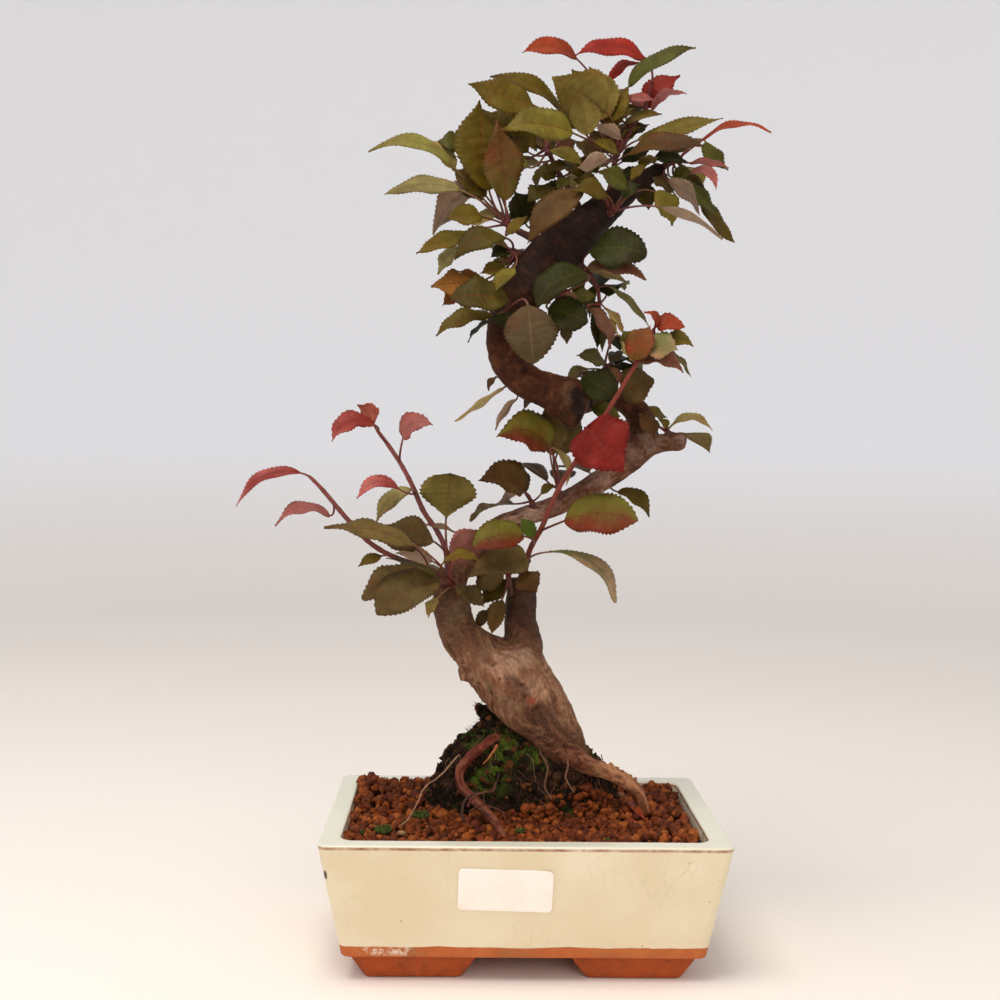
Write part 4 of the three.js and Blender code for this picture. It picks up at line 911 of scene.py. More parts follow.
@dataclass(frozen=True)
class Sticker:
    """The blank paper sticker on the pot's front wall, in millimetres."""

    length: float = 50.0
    height: float = 24.0
    thick: float = 0.4
    corner: float = 2.5
    x: float = -10.8
    below: float = 24.3
    turn: float = 1.5

    def build(self, pot: Pot) -> None:
        """Builds the sheet: rings of a rounded rectangle that grow from its middle and close behind it.

        Args:
            pot: the pot that it sticks to.
        """
        share = np.array([0.03, 0.25, 0.5, 0.75, 0.9, 0.97, 1.0, 1.0, 0.75, 0.4, 0.03])
        out = np.where(np.arange(11) < 7, self.thick, 0.0)
        out[5:8] = (self.thick * 0.95, self.thick * 0.75, 0.02)
        ring = rounded_ring(self.length, self.height, self.corner, 6, 14)
        points, faces = loft(np.stack([at_height(ring * part, rise) for part, rise in zip(share, out)]))
        corner = ramp(points[:, 0] * 0.5 + points[:, 1] * 0.87, 19.5, 23.5)
        points[:, 2] += 0.15 + corner * 0.9 + (rough(points * [1, 1, 0], 16, 4, 2) + 1) * 0.07
        turned = Matrix.Rotation(math.pi / 2 + math.atan(pot.taper), 3, "X")
        turned = turned @ Matrix.Rotation(math.radians(-self.turn), 3, "Z")
        points = points @ np.array(turned).T
        points += [self.x, pot.taper * self.below - pot.depth / 2 - pot.wave * 0.3, pot.height - self.below]
        piece = solid("blank_sticker", points, [group[:, ::-1] for group in faces])
        # A clean matt white that the clouds warm a little: paper, not glaze, against the glossy wall
        paper = CloudedFinish("matt_label_paper", roughness=0.55, colour="#fdf1e8", cloud="#f6e8dc", grain_mm=0.5,
                              grain_detail=6.0, grain_depth_mm=0.03)
        piece.data.materials.append(paper.make())
        shade_by_angle(piece, 50)
        settle(piece, "sticker")


def dress_screens() -> None:
    """Gives the two drain screens, whose plain shape is right, their plastic."""
    # Near-black with brown dust in patches: a dull net that reads as used, seen only from below and inside
    plastic = CloudedFinish("moulded_screen_plastic", roughness=0.6, ior=1.49, colour="#1d1e1f", cloud="#4d3b30",
                            cloud_mm=5.0, cloud_roughness=0.7, cloudy=(0.45, 0.75, 0.7)).make()
    for side in ("left", "right"):
        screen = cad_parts["drain_screen_" + side]
        for slot in screen.material_slots:
            slot.material = plastic
        log.info("%s: finish only", screen.name)


# The ground


def granule_shape() -> tuple[np.ndarray, list[np.ndarray]]:
    """A small ball of four rings of eight points, and a point at each pole.

    Returns:
        Its points and faces.
    """
    tilt = np.radians([-52, -18, 18, 52])[:, None]
    turn = (np.arange(8) * np.pi / 4)[None, :]
    rings = np.stack([np.cos(tilt) * np.cos(turn), np.cos(tilt) * np.sin(turn), np.sin(tilt) + 0 * turn], -1)
    points = np.concatenate([rings.reshape(-1, 3), [[0, 0, -1], [0, 0, 1]]])
    j = np.arange(8)
    k = (j + 1) % 8
    low = np.stack([np.full(8, 32), k, j], axis=1)
    high = np.stack([np.full(8, 33), 24 + j, 24 + k], axis=1)
    return points, [grid_faces(4, 8), np.concatenate([low, high])]


def turns(count: int, rng: np.random.Generator) -> np.ndarray:
    """Random rotations, from random directions made square to each other.

    Args:
        count: how many.
        rng: where their numbers come from.

    Returns:
        A matrix for each.
    """
    first = unit(rng.normal(size=(count, 3)))
    second = rng.normal(size=(count, 3))
    second = unit(second - first * np.sum(first * second, axis=1, keepdims=True))
    return np.stack([first, second, np.cross(first, second)], axis=1)


def scatter(skin: Skin, places: np.ndarray, sizes: np.ndarray, tints: np.ndarray, seed: int) -> None:
    """Adds lumpy granules, each a ball that is squeezed, dented and turned at random.

    Args:
        skin: what they are added to.
        places: their middles.
        sizes: their radii.
        tints: their colours.
        seed: picks their shapes.
    """
    rng = np.random.default_rng(seed)
    base, faces = granule_shape()
    count = len(places)
    dents = 1 + rng.uniform(-0.32, 0.32, (count, len(base), 1))
    squeeze = rng.uniform(0.58, 1.2, (count, 1, 3))
    shapes = np.einsum("npi,nij->npj", base * dents * squeeze, turns(count, rng))
    points = (shapes * sizes[:, None, None] + places[:, None]).reshape(-1, 3)
    start = (np.arange(count) * len(base))[:, None, None]
    groups = [(group[None] + start).reshape(-1, group.shape[1]) for group in faces]
    skin.add(points, groups, np.repeat(tints, len(base), axis=0))


def blades(skin: Skin, roots: np.ndarray, heads: np.ndarray, wide: float, tints: np.ndarray, seed: int) -> None:
    """Adds fine shoots of moss, each a slender pyramid of three sides.

    Args:
        skin: what they are added to.
        roots: where they stand.
        heads: how they point, as long as they are.
        wide: the radius of their foot.
        tints: their colours.
        seed: picks how they are turned.
    """
    rng = np.random.default_rng(seed)
    turn = turns(len(roots), rng)
    angle = np.arange(3) * 2 * np.pi / 3
    foot = np.stack([np.cos(angle), np.sin(angle)], axis=1) @ np.eye(2, 3)
    across = unit(np.cross(heads, turn[:, 0]))
    over = unit(np.cross(heads, across))
    ring = roots[:, None] + wide * (foot[None, :, :1] * across[:, None] + foot[None, :, 1:2] * over[:, None])
    points = np.concatenate([ring, (roots + heads)[:, None]], axis=1).reshape(-1, 3)
    start = (np.arange(len(roots)) * 4)[:, None, None]
    sides = np.array([[0, 1, 3], [1, 2, 3], [2, 0, 3], [2, 1, 0]])
    # Painted shade and light: each shoot darker at its foot and lighter at its tip
    shade = np.tile([0.6, 0.6, 0.6, 1.25], len(roots))[:, None]
    skin.add(points, [(sides[None] + start).reshape(-1, 3)], np.repeat(tints, 4, axis=0) * shade)


@dataclass(frozen=True)
class Mound:
    """The root ball's form, in millimetres: an oval heap that leans to the left as it rises."""

    x: float = 2.0
    y: float = 26.0
    wide: float = 60.0
    deep: float = 32.0
    top: float = 133.0
    bottom: float = 35.0
    crown: float = 0.12
    swell: float = 3.4
    lean: float = 22.0
    hook: float = 6.0
    forward: float = 6.0

    def place(self, rise: np.ndarray, angle: np.ndarray, share: np.ndarray | float = 1.0) -> np.ndarray:
        """The surface as a function of two parameters.

        The half widths shrink as 1 - (1 - crown) rise^swell, and the middle moves by lean rise^hook.

        Args:
            rise: 0 at the bottom, 1 at the top.
            angle: the way round.
            share: makes it wider or narrower.

        Returns:
            The places.
        """
        spread = (1 - (1 - self.crown) * rise**self.swell) * share
        return np.stack([
            self.x - self.lean * rise**self.hook + self.wide * spread * np.cos(angle),
            self.y - self.forward * rise + self.deep * spread * np.sin(angle),
            self.bottom + (self.top - self.bottom) * rise + 0 * angle,
        ], axis=-1)

    def covers(self, points: np.ndarray, share: float = 1.0) -> np.ndarray:
        """Whether points of the soil's surface lie under the heap.

        Args:
            points: the places.
            share: makes the heap wider or narrower.

        Returns:
            True or False for each.
        """
        level = (73.0 - self.bottom) / (self.top - self.bottom)
        spread = (1 - (1 - self.crown) * level**self.swell) * share
        dx = (points[..., 0] - self.x) / (self.wide * spread)
        dy = (points[..., 1] - self.y + self.forward * level) / (self.deep * spread)
        return dx**2 + dy**2 < 1


@dataclass(frozen=True)
class Soil:
    """Baked clay granules in the pot, with some moss, a pebble or two and a fallen leaf, in millimetres."""

    level: float = 73.2
    bed: float = 22.1
    sizes: tuple[float, float] = (1.5, 3.7)
    pitch: float = 4.1
    seed: int = 3
    rolled: int = 420
    stuck: int = 26
    browns: tuple[str, ...] = ("#6c3012", "#7c3c16", "#54240c", "#8e4a1c", "#5a280e", "#74350f")
    moss_spots: tuple[tuple[float, float, float], ...] = (
        (383, 831, 9), (421, 816, 9), (405, 826, 5), (487, 811, 8), (520, 832, 5), (360, 834, 4), (608, 842, 4))
    hills: tuple[tuple[float, float, float, float, float], ...] = (
        (-78, 48, 40, 30, 4.5), (62, 10, 26, 30, 3.0), (-52, 34, 16, 22, 4.0))

    def block(self, pot: Pot) -> tuple[np.ndarray, list[np.ndarray]]:
        """The mass under the granules: the pot's hollow, with a lumpy top.

        Args:
            pot: the pot that it fills.

        Returns:
            Its points and faces.
        """
        rings = []
        heights = [self.bed, *np.linspace(self.bed + 8, self.level - 3, 4)] + [self.level - 2.2] * 9
        shares = [1.0] * 5 + list(np.linspace(1, 0.06, 9))
        for z, share in zip(heights, shares):
            less = 2 * (pot.rim + pot.inner_taper * (pot.height - z) + 0.3)
            rings.append(at_height(rounded_ring(pot.length - less, pot.depth - less, pot.inner_corner) * share, z))
        points, faces = loft(np.stack(rings))
        points[:, 2] += np.where(points[:, 2] > self.level - 2.5, rough(points, 9, 6, 2) * 1.0, 0)
        return points, faces

    def granules(self, skin: Skin, pot: Pot, mound: Mound, rng: np.random.Generator) -> None:
        """Scatters the granules on a jittered grid, two layers deep where they show.

        Args:
            skin: what they are added to.
            pot: the pot that they lie in.
            mound: the root ball, which bears none but a few at its foot.
            rng: where their numbers come from.
        """
        less = 2 * (pot.rim + pot.inner_taper * 4.5) + 3.2
        half_x, half_y = (pot.length - less) / 2, (pot.depth - less) / 2
        grid = np.stack(np.meshgrid(np.arange(-half_x, half_x, self.pitch), np.arange(-half_y, half_y, self.pitch)), -1)
        flat = grid.reshape(-1, 2) + rng.uniform(-0.48, 0.48, (grid.size // 2, 2)) * self.pitch
        flat = np.clip(flat, [-half_x, -half_y], [half_x, half_y])
        flat = flat[~mound.covers(flat, 0.93) | (rng.random(len(flat)) < 0.05)]
        sizes = self.sizes[0] + (self.sizes[1] - self.sizes[0]) * rng.random(len(flat)) ** 1.15
        height = self.level - 2.0 + rng.uniform(-1.0, 1.6, len(flat)) + self.heap(flat)
        tints = drawn_from(self.browns, rng, len(flat), 0.75, 1.2)
        scatter(skin, np.c_[flat, height], sizes, tints, self.seed)
        log.info("soil: %d granules", len(flat) + self.rolled)

    def strays(self, skin: Skin, mound: Mound, rng: np.random.Generator) -> None:
        """Adds the granules that rolled against the root ball's front, and a few that stick to the right root.

        Args:
            skin: what they are added to.
            mound: the root ball, on whose slope they lie.
            rng: where their numbers come from.
        """
        angle = rng.uniform(-2.75, 0.1, self.rolled)
        rise = 0.33 + rng.random(self.rolled) ** 1.4 * (0.07 + 0.16 * bell(angle, -0.95, 0.6))
        slope = drawn_from(self.browns, rng, self.rolled, 0.7, 1.15)
        scatter(skin, mound.place(rise, angle) + [0, -0.8, 0], rng.uniform(1.4, 3.2, self.rolled), slope, self.seed + 5)
        path, radii = next(limb for limb in LIMBS if limb.name == "right_root").run(40)
        step, turn = rng.integers(13, 36, self.stuck), rng.uniform(-1.0, 0.7, self.stuck)
        stuck = path[step] + np.stack([0 * turn, np.sin(turn) * -radii[step], np.cos(turn) * radii[step]], axis=1)
        pale = rgb("#a5713f", "#8a5026", "#b88a55")
        scatter(skin, stuck, rng.uniform(0.7, 2.3, self.stuck), pale[rng.integers(0, 3, self.stuck)], self.seed + 6)

    def heap(self, flat: np.ndarray) -> np.ndarray:
        """How far the granules rise over their level: gently all over, on a few hills, and along the edges.

        Args:
            flat: places seen from above, two numbers each.

        Returns:
            Millimetres for each.
        """
        x, y = flat[:, 0], flat[:, 1]
        hills = sum(bell(x, mid_x, wide) * bell(y, mid_y, deep) * rise for mid_x, mid_y, wide, deep, rise in self.hills)
        edges = ramp(x, 70, 96) * 3.4 + ramp(-x, 78, 98) * 1.8 + ramp(y, 40, 62) * 1.6
        return rough(np.c_[flat, 0 * x], 26, 9, 2) * 1.2 + hills + edges

    def moss(self, skin: Skin) -> None:
        """Grows small cushions of moss where the picture shows them.

        Args:
            skin: what they are added to.
        """
        rng = np.random.default_rng(self.seed + 1)
        for x, y, radius in self.moss_spots:
            middle = on_level((x, y), self.level)
            count = int(radius**2 * 7)
            reach = np.sqrt(rng.random(count)) * radius / 1.9
            angle = rng.random(count) * 2 * np.pi
            roots = middle + np.stack([reach * np.cos(angle), 1.6 * reach * np.sin(angle), 0 * reach], axis=1)
            roots[:, 2] += 0.6 + rough(roots, 3, 2, 2) - (reach / radius) ** 2
            heads = unit(rng.normal(0, 0.5, (count, 3)) + [0, 0, 1]) * rng.uniform(0.9, 2.2, (count, 1))
            tints = drawn_from(("#46521f", "#5a6a28", "#2c3717"), rng, count, 0.6, 1.3)
            blades(skin, roots, heads, 0.28, tints, self.seed)

    def litter(self, skin: Skin) -> None:
        """Lays the pebbles and a fallen leaf on the granules.

        Args:
            skin: what they are added to.
        """
        pebbles = (((618, 799), 3.6, "#7d563a"), ((470, 800), 2.6, "#9a6a3c"), ((402, 833), 2.0, "#a08158"))
        places = np.array([on_level(pixel, self.level + 1.2) for pixel, _, _ in pebbles])
        tints = rgb(*(code for _, _, code in pebbles))
        scatter(skin, places, np.array([size for _, size, _ in pebbles]), tints, 77)
        root, tip = on_level((627, 800), self.level + 4.2), on_level((646, 820), self.level + 3.2)
        upper = np.array([0.2, -0.85, 0.5])
        fallen = Grown(root, root, tip, upper, unit(np.cross(tip - root, upper)), 5.2, 0.6, 1.2, Tone.ORANGE)
        Blade().mesh(skin, fallen, np.random.default_rng(5))

    def build(self, pot: Pot, mound: Mound) -> None:
        """Builds the soil with all that lies on it.

        Args:
            pot: the pot that it fills.
            mound: the root ball that stands in it.
        """
        rng = np.random.default_rng(self.seed)
        skin = Skin()
        skin.add(*self.block(pot), rgb("#3a2013"))
        self.granules(skin, pot, mound, rng)
        self.strays(skin, mound, rng)
        self.moss(skin)
        self.litter(skin)
        # Dull, dark and coarse, each crumb with a shade of its own: damp baked clay
        clay = TintedFinish("damp_baked_clay_granules", roughness=0.7, specular=0.2, mottle_mm=1.6, mottle=0.38,
                            grain_mm=1.1, grain_depth_mm=0.42)
        settle(skin.build("soil_granules", [clay.make()]), "soil")


def on_level(pixel: tuple[float, float], level: float) -> np.ndarray:
    """The place seen at a pixel on a level plane.

    Args:
        pixel: across and down in the picture.
        level: the plane's height in millimetres.

    Returns:
        The place in the pot's frame.
    """
    near, far = SIGHT.seen(pixel, 0), SIGHT.seen(pixel, 100)
    return near + (far - near) * (level - near[2]) / (far[2] - near[2])


@dataclass(frozen=True)
class RootBall:
    """The old root ball: dark soil bound by moss and fine roots, in millimetres."""

    mound: Mound = Mound()
    around: int = 230
    up: int = 125
    seed: int = 17
    shoots: int = 9500
    crumbs: int = 520
    threads: int = 700
    fibres: int = 60
    hanging: int = 24

    def surface(self, rise: np.ndarray, angle: np.ndarray) -> np.ndarray:
        """The lumpy heap: the mound's own form, swollen by noise at three sizes.

        Args:
            rise: 0 at the bottom, 1 at the top.
            angle: the way round.

        Returns:
            The places.
        """
        plain = self.mound.place(rise, angle)
        out = unit(plain - [self.mound.x - 8, self.mound.y - 3, 70]) * [1, 1, 0.5]
        waist = bell(rise, 0.88, 0.085) * np.clip(-np.cos(angle), 0, 1) ** 1.5 * 11.0
        lumps = rough(plain, 21, 4, 2) * 2.6 + rough(plain, 8, 5, 3) * 3.1
        lumps = lumps + np.abs(lattice(plain, 2.6, 9)) * 1.1 + lattice(plain, 1.4, 10) * 0.5
        return plain + out * lumps[..., None] + waist[..., None] * [1, 0, 0]

    def tints(self, points: np.ndarray) -> np.ndarray:
        """The heap's colours: near black soil, brown dust and patches of moss.

        Args:
            points: the places.

        Returns:
            A linear colour for each.
        """
        soil = mix(*rgb("#1a110a", "#38241a"), ramp(rough(points, 6, 31), -0.1, 0.7))
        moss = mix(*rgb("#27330e", "#5a6e1c"), ramp(rough(points, 4, 33), -0.4, 0.6))
        return mix(soil, moss, self.mossy(points) * 0.75)

    def mossy(self, points: np.ndarray) -> np.ndarray:
        """How mossy the heap is, most high up and to the left of its foot's middle.

        Args:
            points: the places.

        Returns:
            0 to 1 for each.
        """
        high = ramp(points[..., 2], 84, 118) * 0.3
        middle = bell(points[..., 0], -12, 16) * bell(points[..., 2], 100, 24) * 0.55
        return ramp(rough(points, 13, 35, 3) + high + middle, 0.3, 0.75)

    def fibre(self, skin: Skin, roll: np.random.Generator) -> None:
        """Adds a fine root that wanders over the heap.

        Args:
            skin: what it is added to.
            roll: where its numbers come from.
        """
        steps = int(roll.integers(7, 20))
        turn = np.cumsum(roll.normal(0, 0.3, steps)) + np.pi + roll.uniform(-0.9, 0.9)
        rise = 0.52 + np.cumsum(np.cos(turn)) * 0.014 + roll.uniform(-0.1, 0.42)
        angle = roll.uniform(-2.9, 0.4) + np.cumsum(np.sin(turn)) * 0.035
        path = self.surface(np.clip(rise, 0.3, 0.995), angle)
        path[:, 1] -= 0.5 + roll.uniform(0, 0.8)
        path = smooth_path(path, steps * 3)
        radius = np.linspace(roll.uniform(0.18, 0.45), 0.1, len(path))
        colour = ("#55382a", "#6b4a33", "#3c261a", "#7d5f45")[int(roll.integers(0, 4))]
        skin.add(*tube(path, radius, 5), rgb(colour) * roll.uniform(0.7, 1.1), 1)

    def hair(self, skin: Skin, roll: np.random.Generator) -> None:
        """Adds a hair root that hangs from under the trunk's right root.

        Args:
            skin: what it is added to.
            roll: where its numbers come from.
        """
        start = SIGHT.seen((roll.uniform(548, 600), roll.uniform(752, 768)), roll.uniform(2, 12))
        drop = roll.uniform(6, 19)
        down = np.linspace(0, 1, 9)[:, None]
        sway = np.cumsum(roll.normal(0, 0.45, (9, 3)), axis=0) * [1, 0.6, 0]
        path = start + down * [roll.uniform(-3, 4), roll.uniform(-6, 0), -drop] + sway
        skin.add(*tube(smooth_path(path, 20), np.linspace(0.3, 0.12, 20), 4), rgb("#6a4230"), 1)

    def drawn_roots(self, skin: Skin) -> None:
        """Adds the thin roots that the picture shows one by one, each through pixels and depths.

        Args:
            skin: what they are added to.
        """
        rows = (
            ("#8c6a50", 0.6, ((459, 755, -4), (452, 762, -8), (444, 772, -14), (434, 780, -22), (425, 787, -30),
                               (419, 800, -38), (412, 813, -46), (405, 822, -52), (398, 827, -54))),
            ("#9a5a30", 0.8, ((497, 745, -6), (492, 753, -12), (488, 759, -14), (483, 764, -12))),
            ("#3d261c", 0.9, ((464, 822, -32), (462, 811, -30), (466, 800, -27), (476, 794, -26), (490, 791, -20),
                              (496, 783, -14), (499, 772, -8))),
            ("#4a2f22", 0.7, ((480, 808, -36), (488, 815, -40), (494, 821, -44), (500, 825, -48))),
            ("#5a2e22", 0.75, ((468, 806, -36), (474, 797, -38), (484, 792, -38), (493, 791, -34), (496, 782, -26))),
            ("#4e2a1e", 0.6, ((470, 812, -38), (479, 806, -42), (490, 807, -44), (502, 812, -46), (506, 822, -50))),
            ("#5a3b2a", 1.0, ((545, 735, 6), (541, 752, 0), (548, 768, -6), (545, 786, -12), (552, 800, -20))),
            ("#6f4c36", 0.8, ((560, 745, 2), (568, 762, -4), (566, 778, -10), (574, 792, -18))),
        )
        for code, radius, places in rows:
            path = smooth_path(np.array([SIGHT.seen((x, y), deep) for x, y, deep in places]), 40)
            path += np.stack([rough(path, 5, 41 + i, 2) for i in range(3)], axis=1) * 0.6
            skin.add(*tube(path, np.linspace(radius, radius * 0.45, 40), 7), rgb(code), 1)

    def moss(self, skin: Skin, rng: np.random.Generator) -> None:
        """Grows shoots of moss where the heap is mossy.

        Args:
            skin: what they are added to.
            rng: where their numbers come from.
        """
        rise, angle = rng.uniform(0.36, 1.0, self.shoots) ** 0.8, rng.uniform(0, 2 * np.pi, self.shoots)
        roots = self.surface(rise, angle)
        roots = roots[rng.random(self.shoots) < self.mossy(roots) + 0.05]
        out = unit(roots - [self.mound.x - 10, self.mound.y, 60])
        heads = unit(out + rng.normal(0, 0.45, out.shape) + [0, 0, 0.35]) * rng.uniform(0.7, 2.1, (len(out), 1))
        tints = drawn_from(("#434f1c", "#6a7730", "#2a3312", "#77713a"), rng, len(out), 0.6, 1.2)
        blades(skin, roots - out * 0.2, heads, 0.3, tints, self.seed)

    def tuft(self, skin: Skin, rng: np.random.Generator) -> None:
        """Adds dark threads that stick out of the top's left.

        Args:
            skin: what they are added to.
            rng: where their numbers come from.
        """
        rise, angle = rng.uniform(0.82, 1.0, self.threads), rng.uniform(2.2, 5.2, self.threads)
        roots = self.surface(rise, angle)
        out = unit(roots - [self.mound.x - 14, self.mound.y, 112])
        heads = unit(out + rng.normal(0, 0.5, out.shape)) * rng.uniform(1.5, 5.5, (len(out), 1))
        blades(skin, roots - out * 0.4, heads, 0.26, np.tile(rgb("#20150d"), (len(out), 1)), self.seed + 4)

    def loose_soil(self, skin: Skin, rng: np.random.Generator) -> None:
        """Scatters crumbs, half of them towards the top and half lower down.

        Args:
            skin: what they are added to.
            rng: where their numbers come from.
        """
        count = 2 * self.crumbs
        rise = np.concatenate([0.4 + 0.6 * rng.random(self.crumbs) ** 0.7, rng.uniform(0.28, 0.7, self.crumbs)])
        places = self.surface(rise, rng.uniform(0, 2 * np.pi, count))
        sizes = rng.uniform(0.7, 2.5, count) * (0.6 + 0.6 * rise)
        dark = rgb("#1c120b", "#2b1b10", "#3c2617", "#5a341b")
        scatter(skin, places, sizes, dark[rng.integers(0, 4, count)], self.seed + 2)

    def build(self) -> None:
        """Builds the root ball with its moss and its fine roots."""
        rng = np.random.default_rng(self.seed)
        skin = Skin()
        rise, angle = np.meshgrid(np.linspace(0.12, 1, self.up), np.linspace(0, 2 * np.pi, self.around, endpoint=False),
                                  indexing="ij")
        points, faces = loft(self.surface(rise, angle))
        skin.add(points, faces, self.tints(points))
        self.moss(skin, rng)
        self.tuft(skin, rng)
        self.loose_soil(skin, rng)
        for _ in range(self.fibres):
            self.fibre(skin, rng)
        for _ in range(self.hanging):
            self.hair(skin, rng)
        self.drawn_roots(skin)
        # The roughest and most mottled of all, so that it throws no shine: crumbly earth
        heap = TintedFinish("mossy_root_soil", roughness=0.96, specular=0.15, mottle_mm=1.5, mottle=0.45,
                            grain_mm=0.55, grain_depth_mm=0.3)
        # Glossier and smoother than the earth, so that the threads stand out from it
        fibre = TintedFinish("fine_root_skin", roughness=0.75, specular=0.3, mottle_mm=2.0, mottle=0.3,
                             grain_mm=0.4, grain_depth_mm=0.06)
        settle(skin.build("root_ball_mossy", [heap.make(), fibre.make()]), "root_ball")


# The wood


@dataclass(frozen=True)
class Limb:
    """A length of wood: its name, and rows of picture x, picture y, depth and thickness in millimetres."""

    name: str
    rows: tuple[tuple[float, float, float, float], ...]

    def stations(self, behind: float = 0.0) -> np.ndarray:
        """Places along the limb with the radius as a fourth number."""
        return np.array([[*SIGHT.seen((x, y), deep + behind), thick / 2] for x, y, deep, thick in self.rows])

    def run(self, count: int, behind: float = 0.0) -> tuple[np.ndarray, np.ndarray]:
        """The middle line and the radius along it.

        Args:
            count: how many places.
            behind: how much deeper than its rows it stands.

        Returns:
            The places and the radii.
        """
        stations = self.stations(behind)
        path = smooth_path(stations[:, :3], count)
        share = np.linspace(0, len(stations) - 1, count)
        radii = smooth_path(np.column_stack([np.arange(len(stations)) * 8.0, stations[:, 3], stations[:, 3]]), count)
        return path, np.where(radii[:, 1] > 0, radii[:, 1], np.interp(share, np.arange(len(stations)), stations[:, 3]))


LIMBS = (
    Limb("butt", ((574, 792, 24, 26), (571, 764, 16, 22), (560, 741, 11, 27), (549, 723, 9, 31),
        (535, 705, 8, 38), (520, 687, 7, 41), (507, 669, 6, 45), (500, 657, 6, 43))),
    Limb("left_fork", ((497, 668, 6, 39), (474, 649, 5, 28), (459, 630, 2, 23), (453, 609, -1, 22),
        (449.5, 592, -3, 19), (449, 578, -3, 15))),
    Limb("right_fork", ((511, 669, 6, 38), (523, 645, 8, 25), (521, 622, 11, 20), (521, 600, 14, 19),
        (522, 578, 16, 17))),
    Limb("shoulder_knob", ((492, 668, 4, 24), (468, 674, 2, 15), (459, 676, 2, 8))),
    Limb("low_branch", ((450, 600, -2, 17), (457, 573, 2, 15.5), (476, 548, 8, 14), (500, 527, 13, 13),
        (525, 516, 17, 12.5), (557, 505, 21, 12.5), (590, 487, 23, 14), (620, 467, 24, 16),
        (640, 447, 23, 19))),
    Limb("right_stub", ((636, 452, 23, 15), (652, 445, 20, 11.5), (668, 442, 16, 10),
        (680, 442, 13, 10.5), (686, 443, 12, 7))),
    Limb("right_turn", ((634, 455, 23, 17), (642, 434, 24, 18), (636, 412, 25, 15), (618, 401, 23, 11),
        (598, 400, 18, 12), (576, 400, 6, 18))),
    Limb("thick_bend", ((586, 408, -4, 26), (570, 401, -4, 26), (548, 391, -6, 21), (524, 380, -9, 20),
        (507, 360, -12, 20), (503, 335, -13, 19.5), (510, 311, -12, 22), (528, 286, -8, 27),
        (547, 264, -2, 29.5), (566, 244, 4, 28), (588, 224, 9, 23), (610, 205, 13, 18),
        (632, 188, 16, 13), (649, 176, 18, 10), (661, 168, 20, 8))),
    Limb("right_root", ((563, 742, 10, 18), (580, 762, 4, 12), (604, 771, 1, 9.5), (624, 780, 1, 9.5),
        (637, 793, 2, 8.5), (644, 812, 4, 7.5), (647, 828, 6, 7))),
    Limb("low_strand", ((510, 702, -6, 7), (523, 720, -0.5, 9), (540, 736, 1.5, 10), (558, 749, 2, 10),
        (575, 760, 1.5, 10), (594, 768, 1, 8))),
    Limb("high_strand", ((537, 708, -8.5, 5), (550, 726, -4.5, 6), (563, 741, -1, 6.5), (577, 754, 0.5, 6.5),
        (594, 764, 0, 5))),
    Limb("middle_strand", ((520, 711, -6, 4.5), (536, 727, -2.5, 6), (552, 740, -0.5, 6), (568, 751, 0.5, 6),
        (584, 761, 0, 5))),
    Limb("left_root", ((548, 752, 20, 12), (520, 742, 14, 9), (496, 738, 6, 8), (483, 746, 0, 7.5),
        (471, 756, -3, 8), (460, 770, -5, 8), (461, 786, -8, 7.5), (474, 799, -14, 8),
        (487, 812, -23, 7.5), (498, 826, -31, 7), (506, 843, -37, 6))),
)


@dataclass(frozen=True)
class BarkTone:
    """The colours of one stretch of bark: its body, its worn ridges, its cracks, and what grows on it."""

    body: str
    ridge: str
    crack: str
    bloom: str


LOW_BARK = BarkTone("#7a523b", "#a4805f", "#38200f", "#8b7a5c")
RIGHT_ROOT_BARK = BarkTone("#936247", "#b98d6b", "#4c2c1c", "#9a7a5c")
LEFT_ROOT_BARK = BarkTone("#61291f", "#8e5a45", "#33130e", "#74503e")
MIDDLE_BARK = BarkTone("#593828", "#815f4b", "#2c1910", "#705f45")
HIGH_BARK = BarkTone("#3b1c0c", "#623a20", "#1b0b05", "#4e3a1e")
STRAND_BARK = BarkTone("#683c2c", "#95644a", "#341a12", "#7a5642")
BARK_OF = {
    "butt": LOW_BARK, "left_fork": LOW_BARK, "right_fork": MIDDLE_BARK, "shoulder_knob": LOW_BARK,
    "low_branch": MIDDLE_BARK, "right_stub": MIDDLE_BARK, "right_turn": HIGH_BARK, "thick_bend": HIGH_BARK,
    "right_root": RIGHT_ROOT_BARK, "left_root": LEFT_ROOT_BARK,
    "low_strand": STRAND_BARK, "middle_strand": STRAND_BARK, "high_strand": STRAND_BARK,
}


@dataclass(frozen=True)
class BarkFinish(TintedFinish):
    """Bark whose finest wrinkles lie across the wood and whose fibres lie along it, by its stored grain."""

    wrinkle_mm: float = 1.3
    fibre_mm: float = 0.9

    def make(self) -> bpy.types.Material:
        """Makes the material: the stored tint, shaded and raised by two stretched noises and a mottle.

        Returns:
            The material.
        """
        material, tree, at = self.start(("spots", self.mottle_mm, 0.5, 4.0))
        grain = add_node(tree, "Attribute", output="Vector", attribute_name="grain")
        layers = []
        for share, size in (((0.3, 0.3, 1.0), self.wrinkle_mm), ((1.0, 1.0, 0.16), self.fibre_mm)):
            held = add_node(tree, "VectorMath", grain, share, operation="MULTIPLY")
            feeds = {"Scale": 1 / size, "Detail": 3.0, "Roughness": 0.65}
            layers.append(add_node(tree, "TexNoise", held, feeds=feeds))
        both = add_node(tree, "Math", *layers, operation="ADD")
        shade = add_node(tree, "MapRange", both, 0.76, 1.22, 0.74, 1.26)
        spots = add_node(tree, "MapRange", at["spots"], 0.3, 0.7, 1 - self.mottle, 1 + self.mottle)
        shade = add_node(tree, "Math", shade, spots, operation="MULTIPLY")
        tint = add_node(tree, "Attribute", output="Color", attribute_name="tint")
        colour = add_node(tree, "VectorMath", tint, feeds={"Scale": shade}, operation="SCALE")
        self.end(tree, colour, self.roughness, both, self.grain_depth_mm)
        return material


